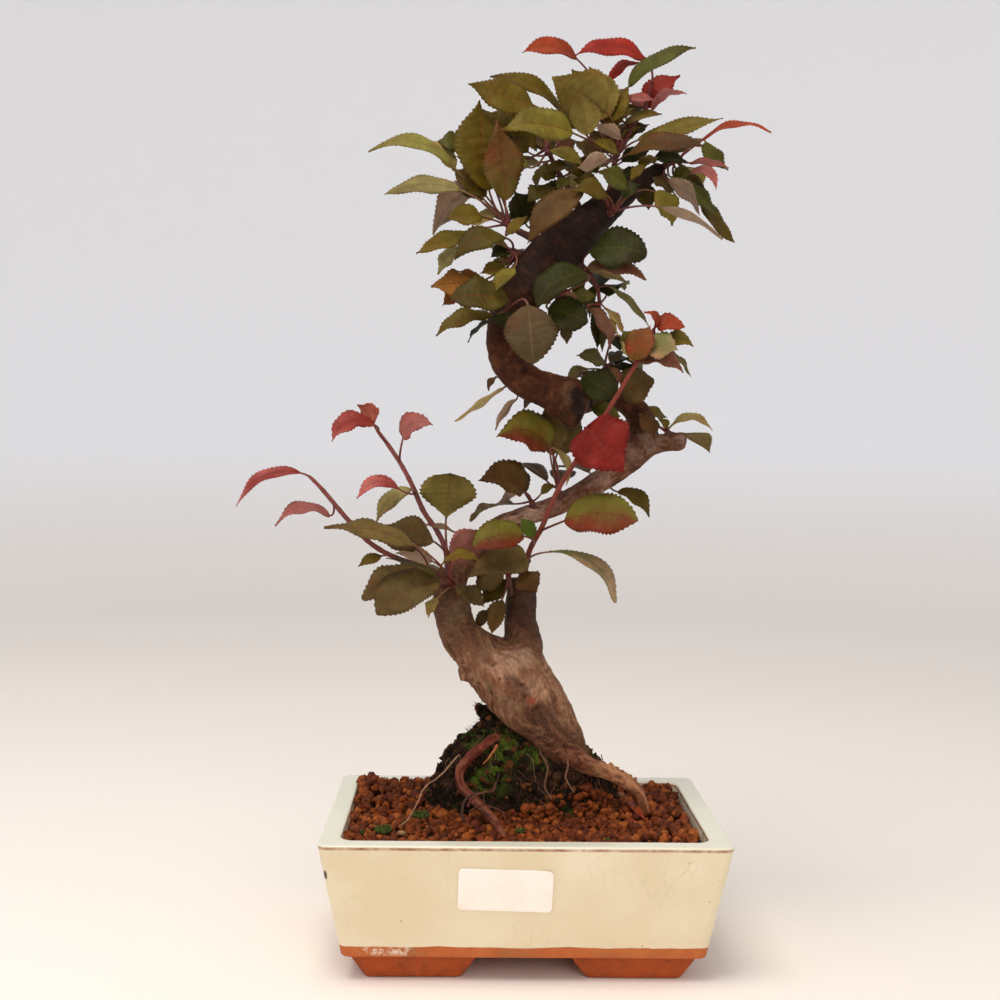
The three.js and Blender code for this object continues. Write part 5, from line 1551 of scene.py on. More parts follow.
@dataclass(frozen=True)
class Trunk:
    """The trunk with its forks, bends and gripping roots, in millimetres."""

    voxel: float = 0.85
    rings: int = 90
    sides: int = 40
    ridge: float = 1.15
    along: float = 26.0
    seed: int = 23
    scars: tuple[tuple[float, float, float, float], ...] = (
        (509, 657, 4.2, -1.6), (520, 692, 5.0, -1.0), (457, 676, 4.0, 1.2), (478, 640, 3.0, -0.8),
        (541, 742, 3.6, -1.2), (655, 446, 3.2, -1.0), (525, 610, 2.6, 1.0), (528, 372, 3.6, -1.2),
        (505, 345, 3.0, 1.2), (556, 262, 4.0, -1.4), (536, 288, 3.2, 1.3), (600, 480, 2.4, 0.9),
        (579, 405, 5.0, -1.6))
    tucks: tuple[tuple[float, float, float, float], ...] = ((468, 684, 12.0, 2.4), (484, 699, 12.0, 3.6))
    # Stains, scars and a sawn face on the bark, and pale patches that are painted sheen
    stains_and_painted_sheen: tuple[tuple[float, float, float, str, float], ...] = (
        (499, 681, 1.3, "#2c1810", 0.9), (504, 679, 1.4, "#2c1810", 0.9), (509, 678, 1.5, "#2c1810", 0.9),
        (514, 679, 1.6, "#2c1810", 0.9), (519, 682, 1.7, "#2c1810", 0.9), (523, 686, 1.8, "#2c1810", 0.95),
        (527, 691, 2.0, "#2c1810", 0.95), (530, 697, 2.2, "#2c1810", 0.95), (533, 702, 1.8, "#2c1810", 0.9),
        (514, 692, 9.0, "#6a4432", 0.5), (455, 640, 7.0, "#5e4432", 0.4), (478, 655, 6.0, "#6c503c", 0.4),
        (534, 701, 3.0, "#8d4526", 0.8), (509, 657, 3.4, "#5b4030", 0.7), (524, 640, 3.0, "#5a3324", 0.6),
        (524, 619, 4.5, "#3c241a", 0.7), (545, 712, 8.0, "#4a2c20", 0.6), (556, 728, 8.0, "#50302a", 0.15),
        # The pale patches from (530, 512) to (602, 476): painted sheen on the low branch
        (528, 716, 6.0, "#4a2c20", 0.5), (530, 512, 9.0, "#b89780", 0.55), (512, 520, 6.0, "#b08d76", 0.5),
        (551, 503, 7.0, "#8c6654", 0.6), (568, 492, 6.0, "#8a6554", 0.55), (602, 476, 9.0, "#9a7564", 0.65),
        # Pale patches halfway up the trunk's front: a painted highlight
        (500, 665, 9.0, "#b08a70", 0.5), (525, 655, 9.0, "#b08a70", 0.4), (540, 690, 7.0, "#a8826a", 0.35),
        (548, 262, 5.0, "#3c1c0e", 0.5), (563, 240, 4.0, "#3c1c0e", 0.5),
        (576, 392, 5.5, "#1c0c07", 0.9), (579, 406, 6.5, "#1c0c07", 0.9), (582, 420, 5.5, "#1c0c07", 0.9),
        (569, 383, 3.6, "#6e4e36", 0.55), (567, 394, 2.6, "#5e4230", 0.5), (567, 404, 2.4, "#5a3e2c", 0.5),
        # Pale patches on the right stub: painted sheen
        (650, 440, 8.0, "#866a5a", 0.75), (634, 455, 7.0, "#7d5e4e", 0.6), (683, 438, 4.0, "#94796c", 0.6))
    slim_root: float = 0.74

    def rough_form(self) -> bpy.types.Object:
        """Swells each limb along its middle line, joins them by a fine voxel grid and smooths the joins.

        Returns:
            The joined form.
        """
        skin = Skin()
        for number, limb in enumerate(LIMBS):
            path, radii = limb.run(self.rings)
            angle = np.linspace(0, 2 * np.pi, self.sides, endpoint=False)
            lobes = 1 + 0.05 * np.sin(2 * angle + number)[None] + 0.035 * np.sin(
                3 * angle[None] + np.linspace(0, 4, self.rings)[:, None] + number)
            slim = self.slim_root if limb.name == "left_root" else 1.0
            skin.add(*tube(path, radii[:, None] * lobes * slim, self.sides), np.ones(3))
        piece = skin.build("trunk_rough", [])
        grid = piece.modifiers.new("join", "REMESH")
        grid.mode, grid.voxel_size = "VOXEL", self.voxel * MM
        soft = piece.modifiers.new("soften", "SMOOTH")
        soft.factor, soft.iterations = 0.6, 9
        apply_all(piece)
        return piece

    def bearings(self, points: np.ndarray) -> dict[str, np.ndarray]:
        """Where points lie on the limbs: round them, along them, how deep, and in whose bark.

        The nearer limbs count more, by (radius / distance)^6, so that the values flow over the joins.

        Args:
            points: the places.

        Returns:
            "grain", three numbers whose noise gives grain along the wood; "out", the direction away from the
            middle; "weights", a share for each limb; "radius".
        """
        grain, out, weights, radius = (np.zeros((len(points), 3)), np.zeros((len(points), 3)), [],
                                       np.zeros(len(points)))
        for number, limb in enumerate(LIMBS):
            path, radii = limb.run(self.rings)
            _, across, over = frames_along(path)
            run = np.concatenate([[0], np.cumsum(np.linalg.norm(np.diff(path, axis=0), axis=1))])
            gaps = np.linalg.norm(points[:, None] - path[None], axis=2)
            near = np.argmin(gaps - radii[None] * 0.6, axis=1)
            away = points - path[near]
            distance = np.linalg.norm(away, axis=1)
            weight = (radii[near] / np.maximum(distance, 0.3)) ** 6
            turned = np.stack([np.sum(away * across[near], 1), np.sum(away * over[near], 1),
                               run[near] + 37.0 * number], axis=1)
            grain += weight[:, None] * turned
            out += weight[:, None] * away / distance[:, None]
            radius += weight * radii[near]
            weights.append(weight)
        total = sum(weights)
        return {"grain": grain / total[:, None], "out": unit(out), "radius": radius / total,
                "weights": np.stack(weights, 1) / total[:, None]}

    def relief(self, points: np.ndarray, at: dict[str, np.ndarray]) -> tuple[np.ndarray, np.ndarray]:
        """How far the bark stands out: long ridges, cross wrinkles, plates, and scars.

        Args:
            points: the places.
            at: their bearings.

        Returns:
            Millimetres outward, and the share from 0 in a crack to 1 on a ridge.
        """
        scaled = at["grain"] * [1, 1, 1 / 4]
        ridges = 1 - np.abs(rough(scaled + rough(points, 9, 51, 2)[:, None] * 1.3, 4.2, 52, 3)) * 2.2
        wrinkles = 1 - np.abs(rough(at["grain"] * [0.3, 0.3, 1] + rough(points, 6, 56, 2)[:, None], 2.4, 53, 2)) * 2.4
        plates = rough(points, 7.5, 54, 3)
        size = np.clip(at["radius"] / 13, 0.28, 1)
        low = ramp(points[:, 2], 175, 135)
        height = (ridges * 0.62 - 0.3) * self.ridge * (0.35 + 0.85 * low) + (wrinkles - 0.4) * 0.38
        height = (height + plates * 0.6 + rough(points, 24, 55, 1) * 0.9) * size
        for x, y, radius, rise in self.scars:
            gap = self.gap_to(points, (x, y)) / radius
            height += rise * np.exp(-(gap**2) * 1.6) + bell(gap, 1.0, 0.3) * abs(rise) * 0.6
        for x, y, radius, sunk in self.tucks:
            gap = self.gap_to(points, (x, y)) / radius
            height -= sunk * np.exp(-(gap**2) * 1.2)
        cracks = ridges * (0.3 + 0.5 * low) + wrinkles * (0.45 - 0.3 * low)
        return height, np.clip(cracks + 0.2 - 0.1 * low, 0, 1)

    def gap_to(self, points: np.ndarray, pixel: tuple[float, float]) -> np.ndarray:
        """How far each point is from the one seen at a pixel: the nearest to the eye of those close to its ray.

        Args:
            points: the trunk's places.
            pixel: across and down in the picture.

        Returns:
            Millimetres for each.
        """
        along, aside = SIGHT.from_ray(pixel, points)
        spot = points[np.argmin(along + np.where(aside < 1.2, 0, 1000 + 50 * aside))]
        return np.linalg.norm(points - spot, axis=1)

    def tints(self, points: np.ndarray, at: dict[str, np.ndarray], share: np.ndarray) -> np.ndarray:
        """The bark's colours: body, worn ridges, dark cracks, pale growth in patches, and painted highlights and shade.

        Args:
            points: the places.
            at: their bearings.
            share: 0 in a crack, 1 on a ridge.

        Returns:
            A linear colour for each.
        """
        total = np.zeros((len(points), 3))
        for number, limb in enumerate(LIMBS):
            tone = BARK_OF[limb.name]
            body, ridge, crack, bloom = rgb(tone.body, tone.ridge, tone.crack, tone.bloom)
            colour = mix(body, ridge, ramp(share + rough(points, 6, 61, 3) * 0.4, 0.45, 1.05) * 0.6)
            colour = mix(colour, crack, ramp(share + rough(points, 2.5, 62, 2) * 0.2, 0.36, 0.02) * 0.65)
            colour = mix(colour, bloom, ramp(rough(points, 11, 63, 3), 0.2, 0.7) * 0.45)
            total += colour * at["weights"][:, number : number + 1]
        redder = ramp(rough(points, 17, 64, 2), 0.0, 0.7)[:, None] * np.array([0.06, -0.04, -0.08]) + 1
        # Painted highlight and shade: the low trunk is palest halfway up, and darkens towards the forks' tops and the
        # foot
        names = [limb.name for limb in LIMBS]
        low = sum(at["weights"][:, names.index(name)] for name in ("butt", "left_fork", "right_fork", "shoulder_knob"))
        height = points[:, 2]
        # pale: the share of the painted highlight, 1 halfway up
        pale = np.exp(-(((height - 155) / np.where(height > 155, 22, 40)) ** 2))
        total = total * redder * (1 + low * (0.74 * pale - 0.66))[:, None]
        # Away from the painted highlight the bark is browner
        total = total * mix([1.0, 0.94, 0.84], [1.0, 1.0, 1.0], pale * low)
        # Painted light and shade on the high bends: lighter where they face up, as if lit from above, and almost black
        # at their highest, in the leaves' shade
        high = at["weights"][:, names.index("thick_bend")] + at["weights"][:, names.index("right_turn")]
        shade = 0.05 + 0.72 * ramp(height, 352, 385)
        total = total * ((1 + high * ramp(at["out"][:, 2], 0.35, 0.95)) * (1 - high * shade))[:, None]
        # Each stain, and each patch of painted sheen, laid on with a ragged edge
        for x, y, radius, code, strength in self.stains_and_painted_sheen:
            edge = self.gap_to(points, (x, y)) / radius + rough(at["grain"] * [1, 1, 0.4], 2.2, 66, 3) * 0.9
            total = mix(total, rgb(code), ramp(edge, 1.2, 0.5) * strength)
        return total

    def cut_ends(self, points: np.ndarray, tints: np.ndarray) -> np.ndarray:
        """Darkens the sawn faces, and rings them with a paler callus.

        Args:
            points: the places.
            tints: their colours so far.

        Returns:
            The colours.
        """
        for name, end, wood in (("thick_bend", 0, "#2c1c15"), ("right_stub", -1, "#5a3b2c")):
            limb = next(each for each in LIMBS if each.name == name)
            path, radii = limb.run(self.rings)
            outward = unit(path[end] - path[1 if end == 0 else -2])
            ahead = (points - path[end]) @ outward
            aside = np.linalg.norm(points - path[end] - ahead[:, None] * outward, axis=1) / radii[end]
            face = ramp(ahead, -1.1, -0.3) * ramp(aside, 1.15, 0.95)
            rim = face * ramp(aside, 0.72, 0.86)
            tints = mix(mix(tints, rgb(wood), face), rgb("#6b4b3a"), rim * 0.7)
        return tints

    def build(self) -> None:
        """Builds the trunk with its bark."""
        piece = self.rough_form()
        points = places_of(piece.data) / MM - POT_PLACE
        at = self.bearings(points)
        height, share = self.relief(points, at)
        moved = points + at["out"] * height[:, None]
        piece.data.vertices.foreach_set("co", ((moved + POT_PLACE) * MM).astype(np.float32).ravel())
        tints = self.cut_ends(points, self.tints(points, at, share))
        for layer in list(piece.data.color_attributes):
            piece.data.color_attributes.remove(layer)
        paint(piece.data, "tint", tints)
        piece.data.update()
        piece.data.shade_smooth()
        piece.name = "trunk_with_roots"
        grain = piece.data.attributes.new("grain", "FLOAT_VECTOR", "POINT")
        grain.data.foreach_set("vector", at["grain"].astype(np.float32).ravel())
        # A faint sheen on fine ridges and cross wrinkles: dry, aged wood
        bark = BarkFinish("weathered_apple_bark", roughness=0.78, specular=0.24, mottle_mm=2.2, mottle=0.26,
                          grain_depth_mm=0.5)
        piece.data.materials.clear()
        piece.data.materials.append(bark.make())
        settle(piece, "trunk")


# The leaves


class Tone(Enum):
    """A leaf's colouring: upper face at the base and at the tip, lower face, and veins."""

    OLIVE = ("#584910", "#4c3d0c", "#736430", "#745e23")
    DARK_OLIVE = ("#42390c", "#392e08", "#675a28", "#5e4c1a")
    YELLOW_OLIVE = ("#6c6222", "#5e5018", "#7c7038", "#847632")
    BROWN_OLIVE = ("#4e3714", "#422b0e", "#6d5431", "#6f4e26")
    OLIVE_BROWN = ("#55471c", "#5c3a1c", "#7b6a42", "#75502c")
    PALE_OLIVE = ("#767032", "#6c602c", "#948d5c", "#9e9453")
    GREY_OLIVE = ("#5d4c27", "#513f1f", "#7a6943", "#7d693e")
    GREEN = ("#484816", "#403a10", "#6b683d", "#707231")
    BRIGHT_GREEN = ("#485916", "#3e4b11", "#71773d", "#7a873a")
    DARK_GREEN = ("#292c09", "#242106", "#56562b", "#4d5020")
    PALE_GREEN = ("#84794a", "#75693c", "#8f8658", "#9a8e5c")
    GREY_GREEN = ("#5e5930", "#524a27", "#80784d", "#827846")
    BROWN = ("#51401f", "#42351a", "#705f3d", "#735431")
    RUST = ("#7c521f", "#71431a", "#8a7041", "#98622f")
    TAN = ("#a39053", "#917542", "#a99865", "#b49b67")
    GREY_BROWN = ("#514128", "#463a20", "#6e5f40", "#866c4e")
    PINK_BROWN = ("#6f4f36", "#6c432f", "#866b4e", "#915e48")
    MAUVE = ("#7a6444", "#745640", "#a48b74", "#a87862")
    RED = ("#802014", "#74190f", "#9f5341", "#a94834")
    SCARLET = ("#651911", "#6f1b15", "#894237", "#8e3628")
    ORANGE = ("#803018", "#90381a", "#ab6e54", "#b56345")
    PINK = ("#8f524a", "#985a54", "#a8746a", "#aa6a60")
    ROSE = ("#7c2a22", "#9c544e", "#a05e56", "#a86a62")
    RED_MAUVE = ("#722d24", "#773128", "#8a574c", "#954b40")
    OLIVE_RED = ("#5f451c", "#7e331e", "#866141", "#975333")
    GREEN_RED = ("#5f5a1c", "#602812", "#6f4a33", "#87462e")
    GREEN_TAN = ("#5d6030", "#957c5c", "#9c8a6c", "#a8896c")
    SPOTTED = ("#4d3d1b", "#5c3e1b", "#705c3b", "#795d34")

    def colours(self) -> np.ndarray:
        """The four colours in linear light."""
        return rgb(*self.value)


class Form(Enum):
    """A blade's outline: the power of u that places its widest part, and how full it is at its base and tip."""

    POINTED = (0.82, 0.75, 0.5)
    OVAL = (0.95, 0.6, 0.1)
    HEART = (0.62, 0.55, 0.65)
    SPOON = (1.35, 0.85, -0.25)


@dataclass(frozen=True)
class Leaf:
    """One leaf as the picture shows it: pixels of the blade's two ends, width, depths and turn of its face."""

    root: tuple[float, float]
    tip: tuple[float, float]
    wide: float
    deep: tuple[float, float]
    tilt: float
    tone: Tone
    bow: float = 0.0
    lift: float = 1.5
    hold: tuple[float, float] | None = None
    form: Form = Form.POINTED


@dataclass(frozen=True)
class Spray:
    """A shoot or a spur with its leaves: stems as limbs are given, leaves, and how many grow at its back."""

    name: str
    behind: float
    back: int
    tone: Tone
    stems: tuple[tuple[tuple[float, float, float, float], ...], ...]
    leaves: tuple[Leaf, ...]


SPRAYS = (
    Spray(
        "crown_top", behind=10, back=3, tone=Tone.OLIVE,
        stems=(
            ((606, 208, 4, 6), (612, 180, 2, 4), (616, 152, 1, 3.6)),
            ((615, 160, 1, 3), (632, 128, 5, 2.6), (645, 108, 7, 2.4), (652, 84, 8, 2)),
        ),
        leaves=(
            Leaf((577, 59), (522, 53), 15, (6, -4), 52, Tone.ORANGE, bow=4, hold=(620, 145)),
            Leaf((645, 58), (574, 54), 18, (8, 0), 52, Tone.RED, bow=4, hold=(652, 84)),
            Leaf((610, 82), (642, 63), 10, (12, 14), 55, Tone.RED, bow=3, hold=(632, 128)),
            Leaf((629, 86), (696, 47), 16, (-2, -14), 55, Tone.GREEN, bow=3, hold=(618, 148)),
            Leaf((647, 108), (680, 75), 18, (10, 14), 32, Tone.RED, bow=2, hold=(640, 115)),
            Leaf((652, 110), (687, 94), 9, (4, 0), 50, Tone.PINK, bow=4, hold=(645, 108)),
            Leaf((606, 112), (552, 77), 34, (-8, -16), 150, Tone.OLIVE, hold=(617, 150)),
            Leaf((587, 135), (578, 91), 20, (-14, -22), 150, Tone.OLIVE, hold=(616, 152)),
            Leaf((573, 133), (502, 126), 24, (-18, -32), 35, Tone.YELLOW_OLIVE, bow=2, hold=(616, 155)),
            Leaf((621, 138), (594, 124), 10, (-6, -12), 140, Tone.MAUVE, hold=(616, 152)),
            Leaf((618, 153), (592, 141), 10, (-10, -18), 50, Tone.OLIVE, hold=(616, 155)),
            Leaf((622, 147), (641, 126), 12, (8, 6), 120, Tone.DARK_OLIVE, hold=(616, 155)),
            Leaf((612, 122), (634, 108), 9, (-4, -8), 60, Tone.OLIVE, hold=(617, 150)),
            Leaf((625, 123), (662, 113), 11, (0, -6), 62, Tone.OLIVE, hold=(618, 150)),
            Leaf((607, 160), (578, 168), 14, (-12, -22), 130, Tone.MAUVE, hold=(614, 165)),
            Leaf((638, 140), (723, 118), 16, (-2, -18), 56, Tone.YELLOW_OLIVE, bow=-1, hold=(616, 158)),
            Leaf((628, 154), (707, 148), 17, (-8, -26), 55, Tone.BROWN_OLIVE, bow=3, hold=(614, 165)),
            Leaf((628, 99), (655, 100), 7, (-2, -6), 45, Tone.PINK, hold=(632, 128)),
            Leaf((606, 130), (629, 84), 21, (2, -4), 38, Tone.OLIVE, hold=(617, 150)),
            Leaf((598, 120), (590, 66), 24, (-2, -4), 155, Tone.OLIVE, bow=2, hold=(617, 150)),
            Leaf((580, 128), (557, 104), 17, (6, 8), 40, Tone.DARK_OLIVE, hold=(616, 152)),
            Leaf((612, 150), (630, 120), 14, (16, 20), 45, Tone.DARK_OLIVE, hold=(616, 155)),
            Leaf((606, 152), (588, 130), 13, (12, 14), 45, Tone.BROWN_OLIVE, hold=(616, 155)),
            Leaf((622, 162), (650, 150), 13, (10, 14), 45, Tone.DARK_GREEN, hold=(614, 165)),
            Leaf((620, 140), (650, 124), 13, (12, 14), 50, Tone.DARK_OLIVE, hold=(616, 155)),
            Leaf((598, 172), (574, 158), 13, (4, 4), 45, Tone.DARK_OLIVE, hold=(613, 172)),
            Leaf((622, 176), (650, 178), 13, (8, 8), 40, Tone.DARK_GREEN, hold=(613, 172)),
            Leaf((645, 106), (622, 98), 10, (8, 8), 50, Tone.PINK, hold=(645, 108)),
            Leaf((600, 112), (572, 68), 20, (0, -6), 150, Tone.OLIVE, hold=(617, 150)),
            Leaf((602, 162), (574, 140), 17, (2, 0), 45, Tone.GREY_OLIVE, hold=(613, 172)),
            Leaf((622, 118), (648, 106), 10, (10, 10), 55, Tone.OLIVE, hold=(618, 150)),
        ),
    ),
    Spray(
        "crown_right", behind=12, back=2, tone=Tone.OLIVE,
        stems=(
            ((655, 172, 7, 6), (668, 164, 7, 4.2), (682, 158, 7, 3)),
        ),
        leaves=(
            Leaf((664, 131), (694, 131), 9, (16, 14), 60, Tone.OLIVE, hold=(676, 161)),
            Leaf((706, 142), (729, 168), 14, (10, 4), 45, Tone.GREEN, bow=-3),
            Leaf((690, 163), (729, 167), 9, (4, -4), 62, Tone.PINK),
            Leaf((702, 140), (772, 131), 9, (2, -6), 66, Tone.ORANGE, bow=5),
            Leaf((690, 174), (716, 190), 9, (-4, -12), 50, Tone.PINK, bow=5),
            Leaf((668, 181), (701, 215), 17, (-2, -10), 125, Tone.MAUVE, bow=2, hold=(668, 164)),
            Leaf((684, 179), (723, 219), 14, (4, 0), 52, Tone.GREEN, bow=-2, hold=(672, 164)),
            Leaf((703, 200), (735, 242), 15, (12, 8), 55, Tone.OLIVE, bow=-3, hold=(676, 161)),
            Leaf((650, 186), (648, 210), 16, (10, 12), 40, Tone.DARK_OLIVE, hold=(664, 168)),
            Leaf((656, 158), (636, 168), 9, (-8, -14), 45, Tone.OLIVE, hold=(668, 164)),
            Leaf((676, 152), (704, 138), 13, (22, 28), 60, Tone.OLIVE, hold=(676, 161)),
            Leaf((673, 177), (693, 171), 10, (0, -4), 38, Tone.GREEN, hold=(668, 164)),
            Leaf((654, 158), (688, 162), 13, (-4, -8), 50, Tone.DARK_GREEN, hold=(662, 167)),
            Leaf((660, 150), (684, 142), 12, (8, 10), 45, Tone.BROWN_OLIVE, hold=(668, 164)),
            Leaf((676, 178), (708, 192), 13, (10, 10), 45, Tone.DARK_OLIVE, hold=(676, 161)),
            Leaf((652, 174), (676, 196), 14, (4, 4), 50, Tone.GREY_OLIVE, hold=(664, 168)),
        ),
    ),
    Spray(
        "crown_middle", behind=10, back=0, tone=Tone.BROWN_OLIVE,
        stems=(
            ((604, 216, 0, 7), (613, 212, -13, 3.8)),
        ),
        leaves=(
            Leaf((660, 207), (724, 238), 11, (-20, -26), 118, Tone.MAUVE, bow=1),
            Leaf((655, 192), (673, 226), 19, (-16, -20), 48, Tone.YELLOW_OLIVE, bow=2),
            Leaf((608, 196), (571, 191), 15, (-24, -34), 45, Tone.OLIVE, bow=2),
            Leaf((583, 192), (527, 243), 20, (-28, -38), 35, Tone.BROWN_OLIVE, bow=3),
            Leaf((626, 187), (598, 171), 15, (-20, -28), 42, Tone.GREEN),
            Leaf((631, 180), (647, 165), 8, (-16, -18), 50, Tone.OLIVE),
            Leaf((622, 196), (640, 184), 11, (-16, -18), 45, Tone.DARK_GREEN),
            Leaf((600, 190), (574, 178), 14, (-8, -10), 50, Tone.DARK_OLIVE),
        ),
    ),
    Spray(
        "crown_left", behind=7, back=3, tone=Tone.DARK_OLIVE,
        stems=(
            ((588, 226, 4, 7), (570, 192, 4, 4), (556, 168, 2, 3.4), (547, 148, 2, 3)),
        ),
        leaves=(
            Leaf((533, 105), (469, 82), 24, (4, -6), 40, Tone.OLIVE, bow=-2),
            Leaf((560, 109), (490, 75), 13, (14, 8), 50, Tone.OLIVE, bow=4),
            Leaf((572, 167), (545, 171), 10, (-6, -14), 55, Tone.DARK_OLIVE, hold=(560, 178)),
            Leaf((551, 150), (584, 165), 12, (-6, -16), 50, Tone.YELLOW_OLIVE),
            Leaf((527, 167), (503, 155), 11, (0, -4), 45, Tone.PALE_OLIVE),
            Leaf((528, 152), (508, 140), 11, (4, 2), 45, Tone.DARK_OLIVE),
            Leaf((543, 166), (537, 190), 10, (-8, -14), 60, Tone.DARK_OLIVE, hold=(552, 160)),
            Leaf((552, 188), (527, 201), 16, (-8, -16), 50, Tone.DARK_OLIVE, hold=(565, 185)),
            Leaf((525, 222), (516, 190), 20, (8, 6), 30, Tone.DARK_GREEN, hold=(566, 188)),
            Leaf((535, 128), (508, 108), 20, (18, 22), 40, Tone.YELLOW_OLIVE),
            Leaf((569, 178), (556, 191), 8, (-10, -12), 40, Tone.GREEN, hold=(562, 180)),
            Leaf((530, 120), (493, 112), 17, (10, 8), 45, Tone.YELLOW_OLIVE, hold=(547, 148)),
            Leaf((551, 156), (535, 134), 14, (10, 14), 50, Tone.GREY_OLIVE, hold=(550, 158)),
            Leaf((569, 156), (553, 130), 15, (12, 16), 50, Tone.PINK_BROWN, hold=(556, 165)),
            Leaf((584, 176), (562, 160), 14, (6, 8), 45, Tone.DARK_OLIVE, hold=(570, 190)),
            Leaf((556, 176), (534, 172), 13, (2, 0), 45, Tone.DARK_OLIVE, hold=(562, 180)),
            Leaf((566, 200), (540, 186), 15, (6, 4), 45, Tone.DARK_GREEN, hold=(575, 200)),
            Leaf((545, 130), (563, 108), 12, (16, 20), 45, Tone.OLIVE, hold=(547, 148)),
            Leaf((508, 152), (484, 108), 20, (16, 16), 35, Tone.OLIVE, hold=(547, 148)),
            Leaf((541, 146), (506, 130), 14, (12, 14), 45, Tone.OLIVE, hold=(547, 148)),
        ),
    ),
    Spray(
        "upper_left", behind=2, back=2, tone=Tone.OLIVE,
        stems=(
            ((545, 244, 0, 7), (520, 232, -3, 4.2), (505, 224, -3, 3.4)),
        ),
        leaves=(
            Leaf((489, 190), (480, 100), 37, (-2, 4), 30, Tone.OLIVE, bow=-2),
            Leaf((505, 200), (497, 120), 25, (8, 14), 28, Tone.OLIVE_BROWN),
            Leaf((453, 166), (368, 151), 14, (-4, -14), 55, Tone.PALE_OLIVE, bow=8),
            Leaf((455, 168), (428, 138), 14, (4, 6), 50, Tone.TAN),
            Leaf((462, 147), (437, 140), 15, (12, 12), 42, Tone.GREEN),
            Leaf((460, 190), (384, 195), 15, (-10, -22), 48, Tone.PALE_GREEN, bow=3),
            Leaf((478, 183), (431, 234), 24, (4, 0), 132, Tone.MAUVE, bow=2),
            Leaf((482, 217), (446, 219), 15, (-10, -18), 38, Tone.OLIVE),
            Leaf((468, 233), (416, 252), 16, (-6, -16), 48, Tone.YELLOW_OLIVE, bow=-1),
            Leaf((508, 234), (528, 216), 9, (-14, -16), 40, Tone.OLIVE),
            Leaf((486, 196), (453, 166), 20, (2, 2), 45, Tone.OLIVE),
            Leaf((484, 200), (450, 181), 14, (8, 8), 50, Tone.GREEN),
            Leaf((496, 212), (472, 226), 12, (6, 6), 50, Tone.TAN),
        ),
    ),
    Spray(
        "middle_left", behind=-3, back=2, tone=Tone.BROWN,
        stems=(
            ((535, 262, 0, 7), (512, 250, -5, 3.6)),
        ),
        leaves=(
            Leaf((506, 238), (454, 259), 19, (-16, -26), 50, Tone.DARK_OLIVE, bow=4),
            Leaf((460, 246), (437, 274), 11, (6, 4), 45, Tone.PALE_GREEN),
            Leaf((508, 248), (487, 240), 9, (2, -2), 60, Tone.BROWN),
            Leaf((508, 270), (480, 273), 12, (-6, -10), 45, Tone.OLIVE),
            Leaf((513, 268), (495, 291), 12, (-14, -18), 45, Tone.YELLOW_OLIVE),
            Leaf((474, 283), (431, 285), 20, (0, -6), 42, Tone.RUST, bow=-1),
            Leaf((478, 284), (458, 270), 10, (8, 8), 50, Tone.RUST),
            Leaf((478, 288), (442, 305), 17, (4, -2), 50, Tone.RUST),
            Leaf((509, 262), (490, 268), 8, (-10, -14), 50, Tone.BROWN),
            Leaf((510, 250), (490, 256), 13, (4, 2), 45, Tone.DARK_GREEN),
            Leaf((512, 262), (497, 266), 10, (4, 2), 45, Tone.PINK_BROWN),
            Leaf((514, 276), (500, 284), 9, (2, 2), 45, Tone.DARK_GREEN),
        ),
    ),
    Spray(
        "waist_left", behind=-11, back=0, tone=Tone.GREY_OLIVE,
        stems=(
            ((512, 322, 0, 7), (497, 316, -11, 3.8)),
        ),
        leaves=(
            Leaf((508, 299), (451, 297), 24, (-20, -30), 38, Tone.DARK_OLIVE, bow=0, form=Form.OVAL),
            Leaf((491, 316), (435, 334), 15, (-12, -20), 55, Tone.OLIVE, bow=2),
            Leaf((493, 320), (467, 342), 11, (-14, -16), 78, Tone.DARK_GREEN),
            Leaf((528, 305), (533, 364), 28, (-27, -32), 6, Tone.GREY_BROWN, form=Form.OVAL),
            Leaf((506, 313), (507, 331), 19, (-17, -18), 20, Tone.DARK_GREEN),
        ),
    ),
    Spray(
        "waist_low", behind=-13, back=1, tone=Tone.TAN,
        stems=(
            ((512, 374, 4, 6), (508, 386, 14, 3.4)),
        ),
        leaves=(
            Leaf((503, 388), (454, 420), 12, (12, 6), 108, Tone.TAN, bow=-2),
            Leaf((517, 399), (495, 430), 8, (16, 14), 122, Tone.MAUVE),
            Leaf((496, 377), (488, 391), 6, (14, 12), 50, Tone.BROWN_OLIVE),
            Leaf((534, 398), (524, 409), 7, (15, 16), 50, Tone.BROWN),
        ),
    ),
    Spray(
        "waist_front", behind=-6, back=0, tone=Tone.DARK_GREEN,
        stems=(
            ((556, 290, -2, 7), (556, 296, -20, 3.8)),
        ),
        leaves=(
            Leaf((588, 275), (535, 304), 24, (-20, -34), 40, Tone.DARK_GREEN, bow=4, form=Form.OVAL),
            Leaf((548, 309), (588, 322), 23, (-24, -30), 26, Tone.DARK_GREEN, form=Form.OVAL),
            Leaf((558, 321), (552, 340), 10, (-20, -20), 40, Tone.BROWN),
            Leaf((579, 298), (549, 297), 13, (-8, -8), 60, Tone.PINK_BROWN),
            Leaf((572, 300), (596, 296), 12, (-8, -8), 45, Tone.GREEN),
            Leaf((562, 322), (567, 344), 10, (-16, -14), 40, Tone.BROWN),
        ),
    ),
    Spray(
        "waist_right", behind=0, back=2, tone=Tone.DARK_GREEN,
        stems=(
            ((566, 258, 3, 7), (584, 268, 2, 4), (597, 288, 0, 3), (600, 306, 0, 2.4)),
        ),
        leaves=(
            Leaf((590, 252), (647, 254), 27, (-10, -20), 36, Tone.DARK_GREEN, bow=2, form=Form.OVAL, hold=(584, 268)),
            Leaf((588, 267), (647, 279), 16, (-6, -14), 52, Tone.PINK_BROWN, bow=3, hold=(586, 270)),
            Leaf((590, 270), (630, 283), 9, (8, 6), 130, Tone.PALE_GREEN, hold=(586, 270)),
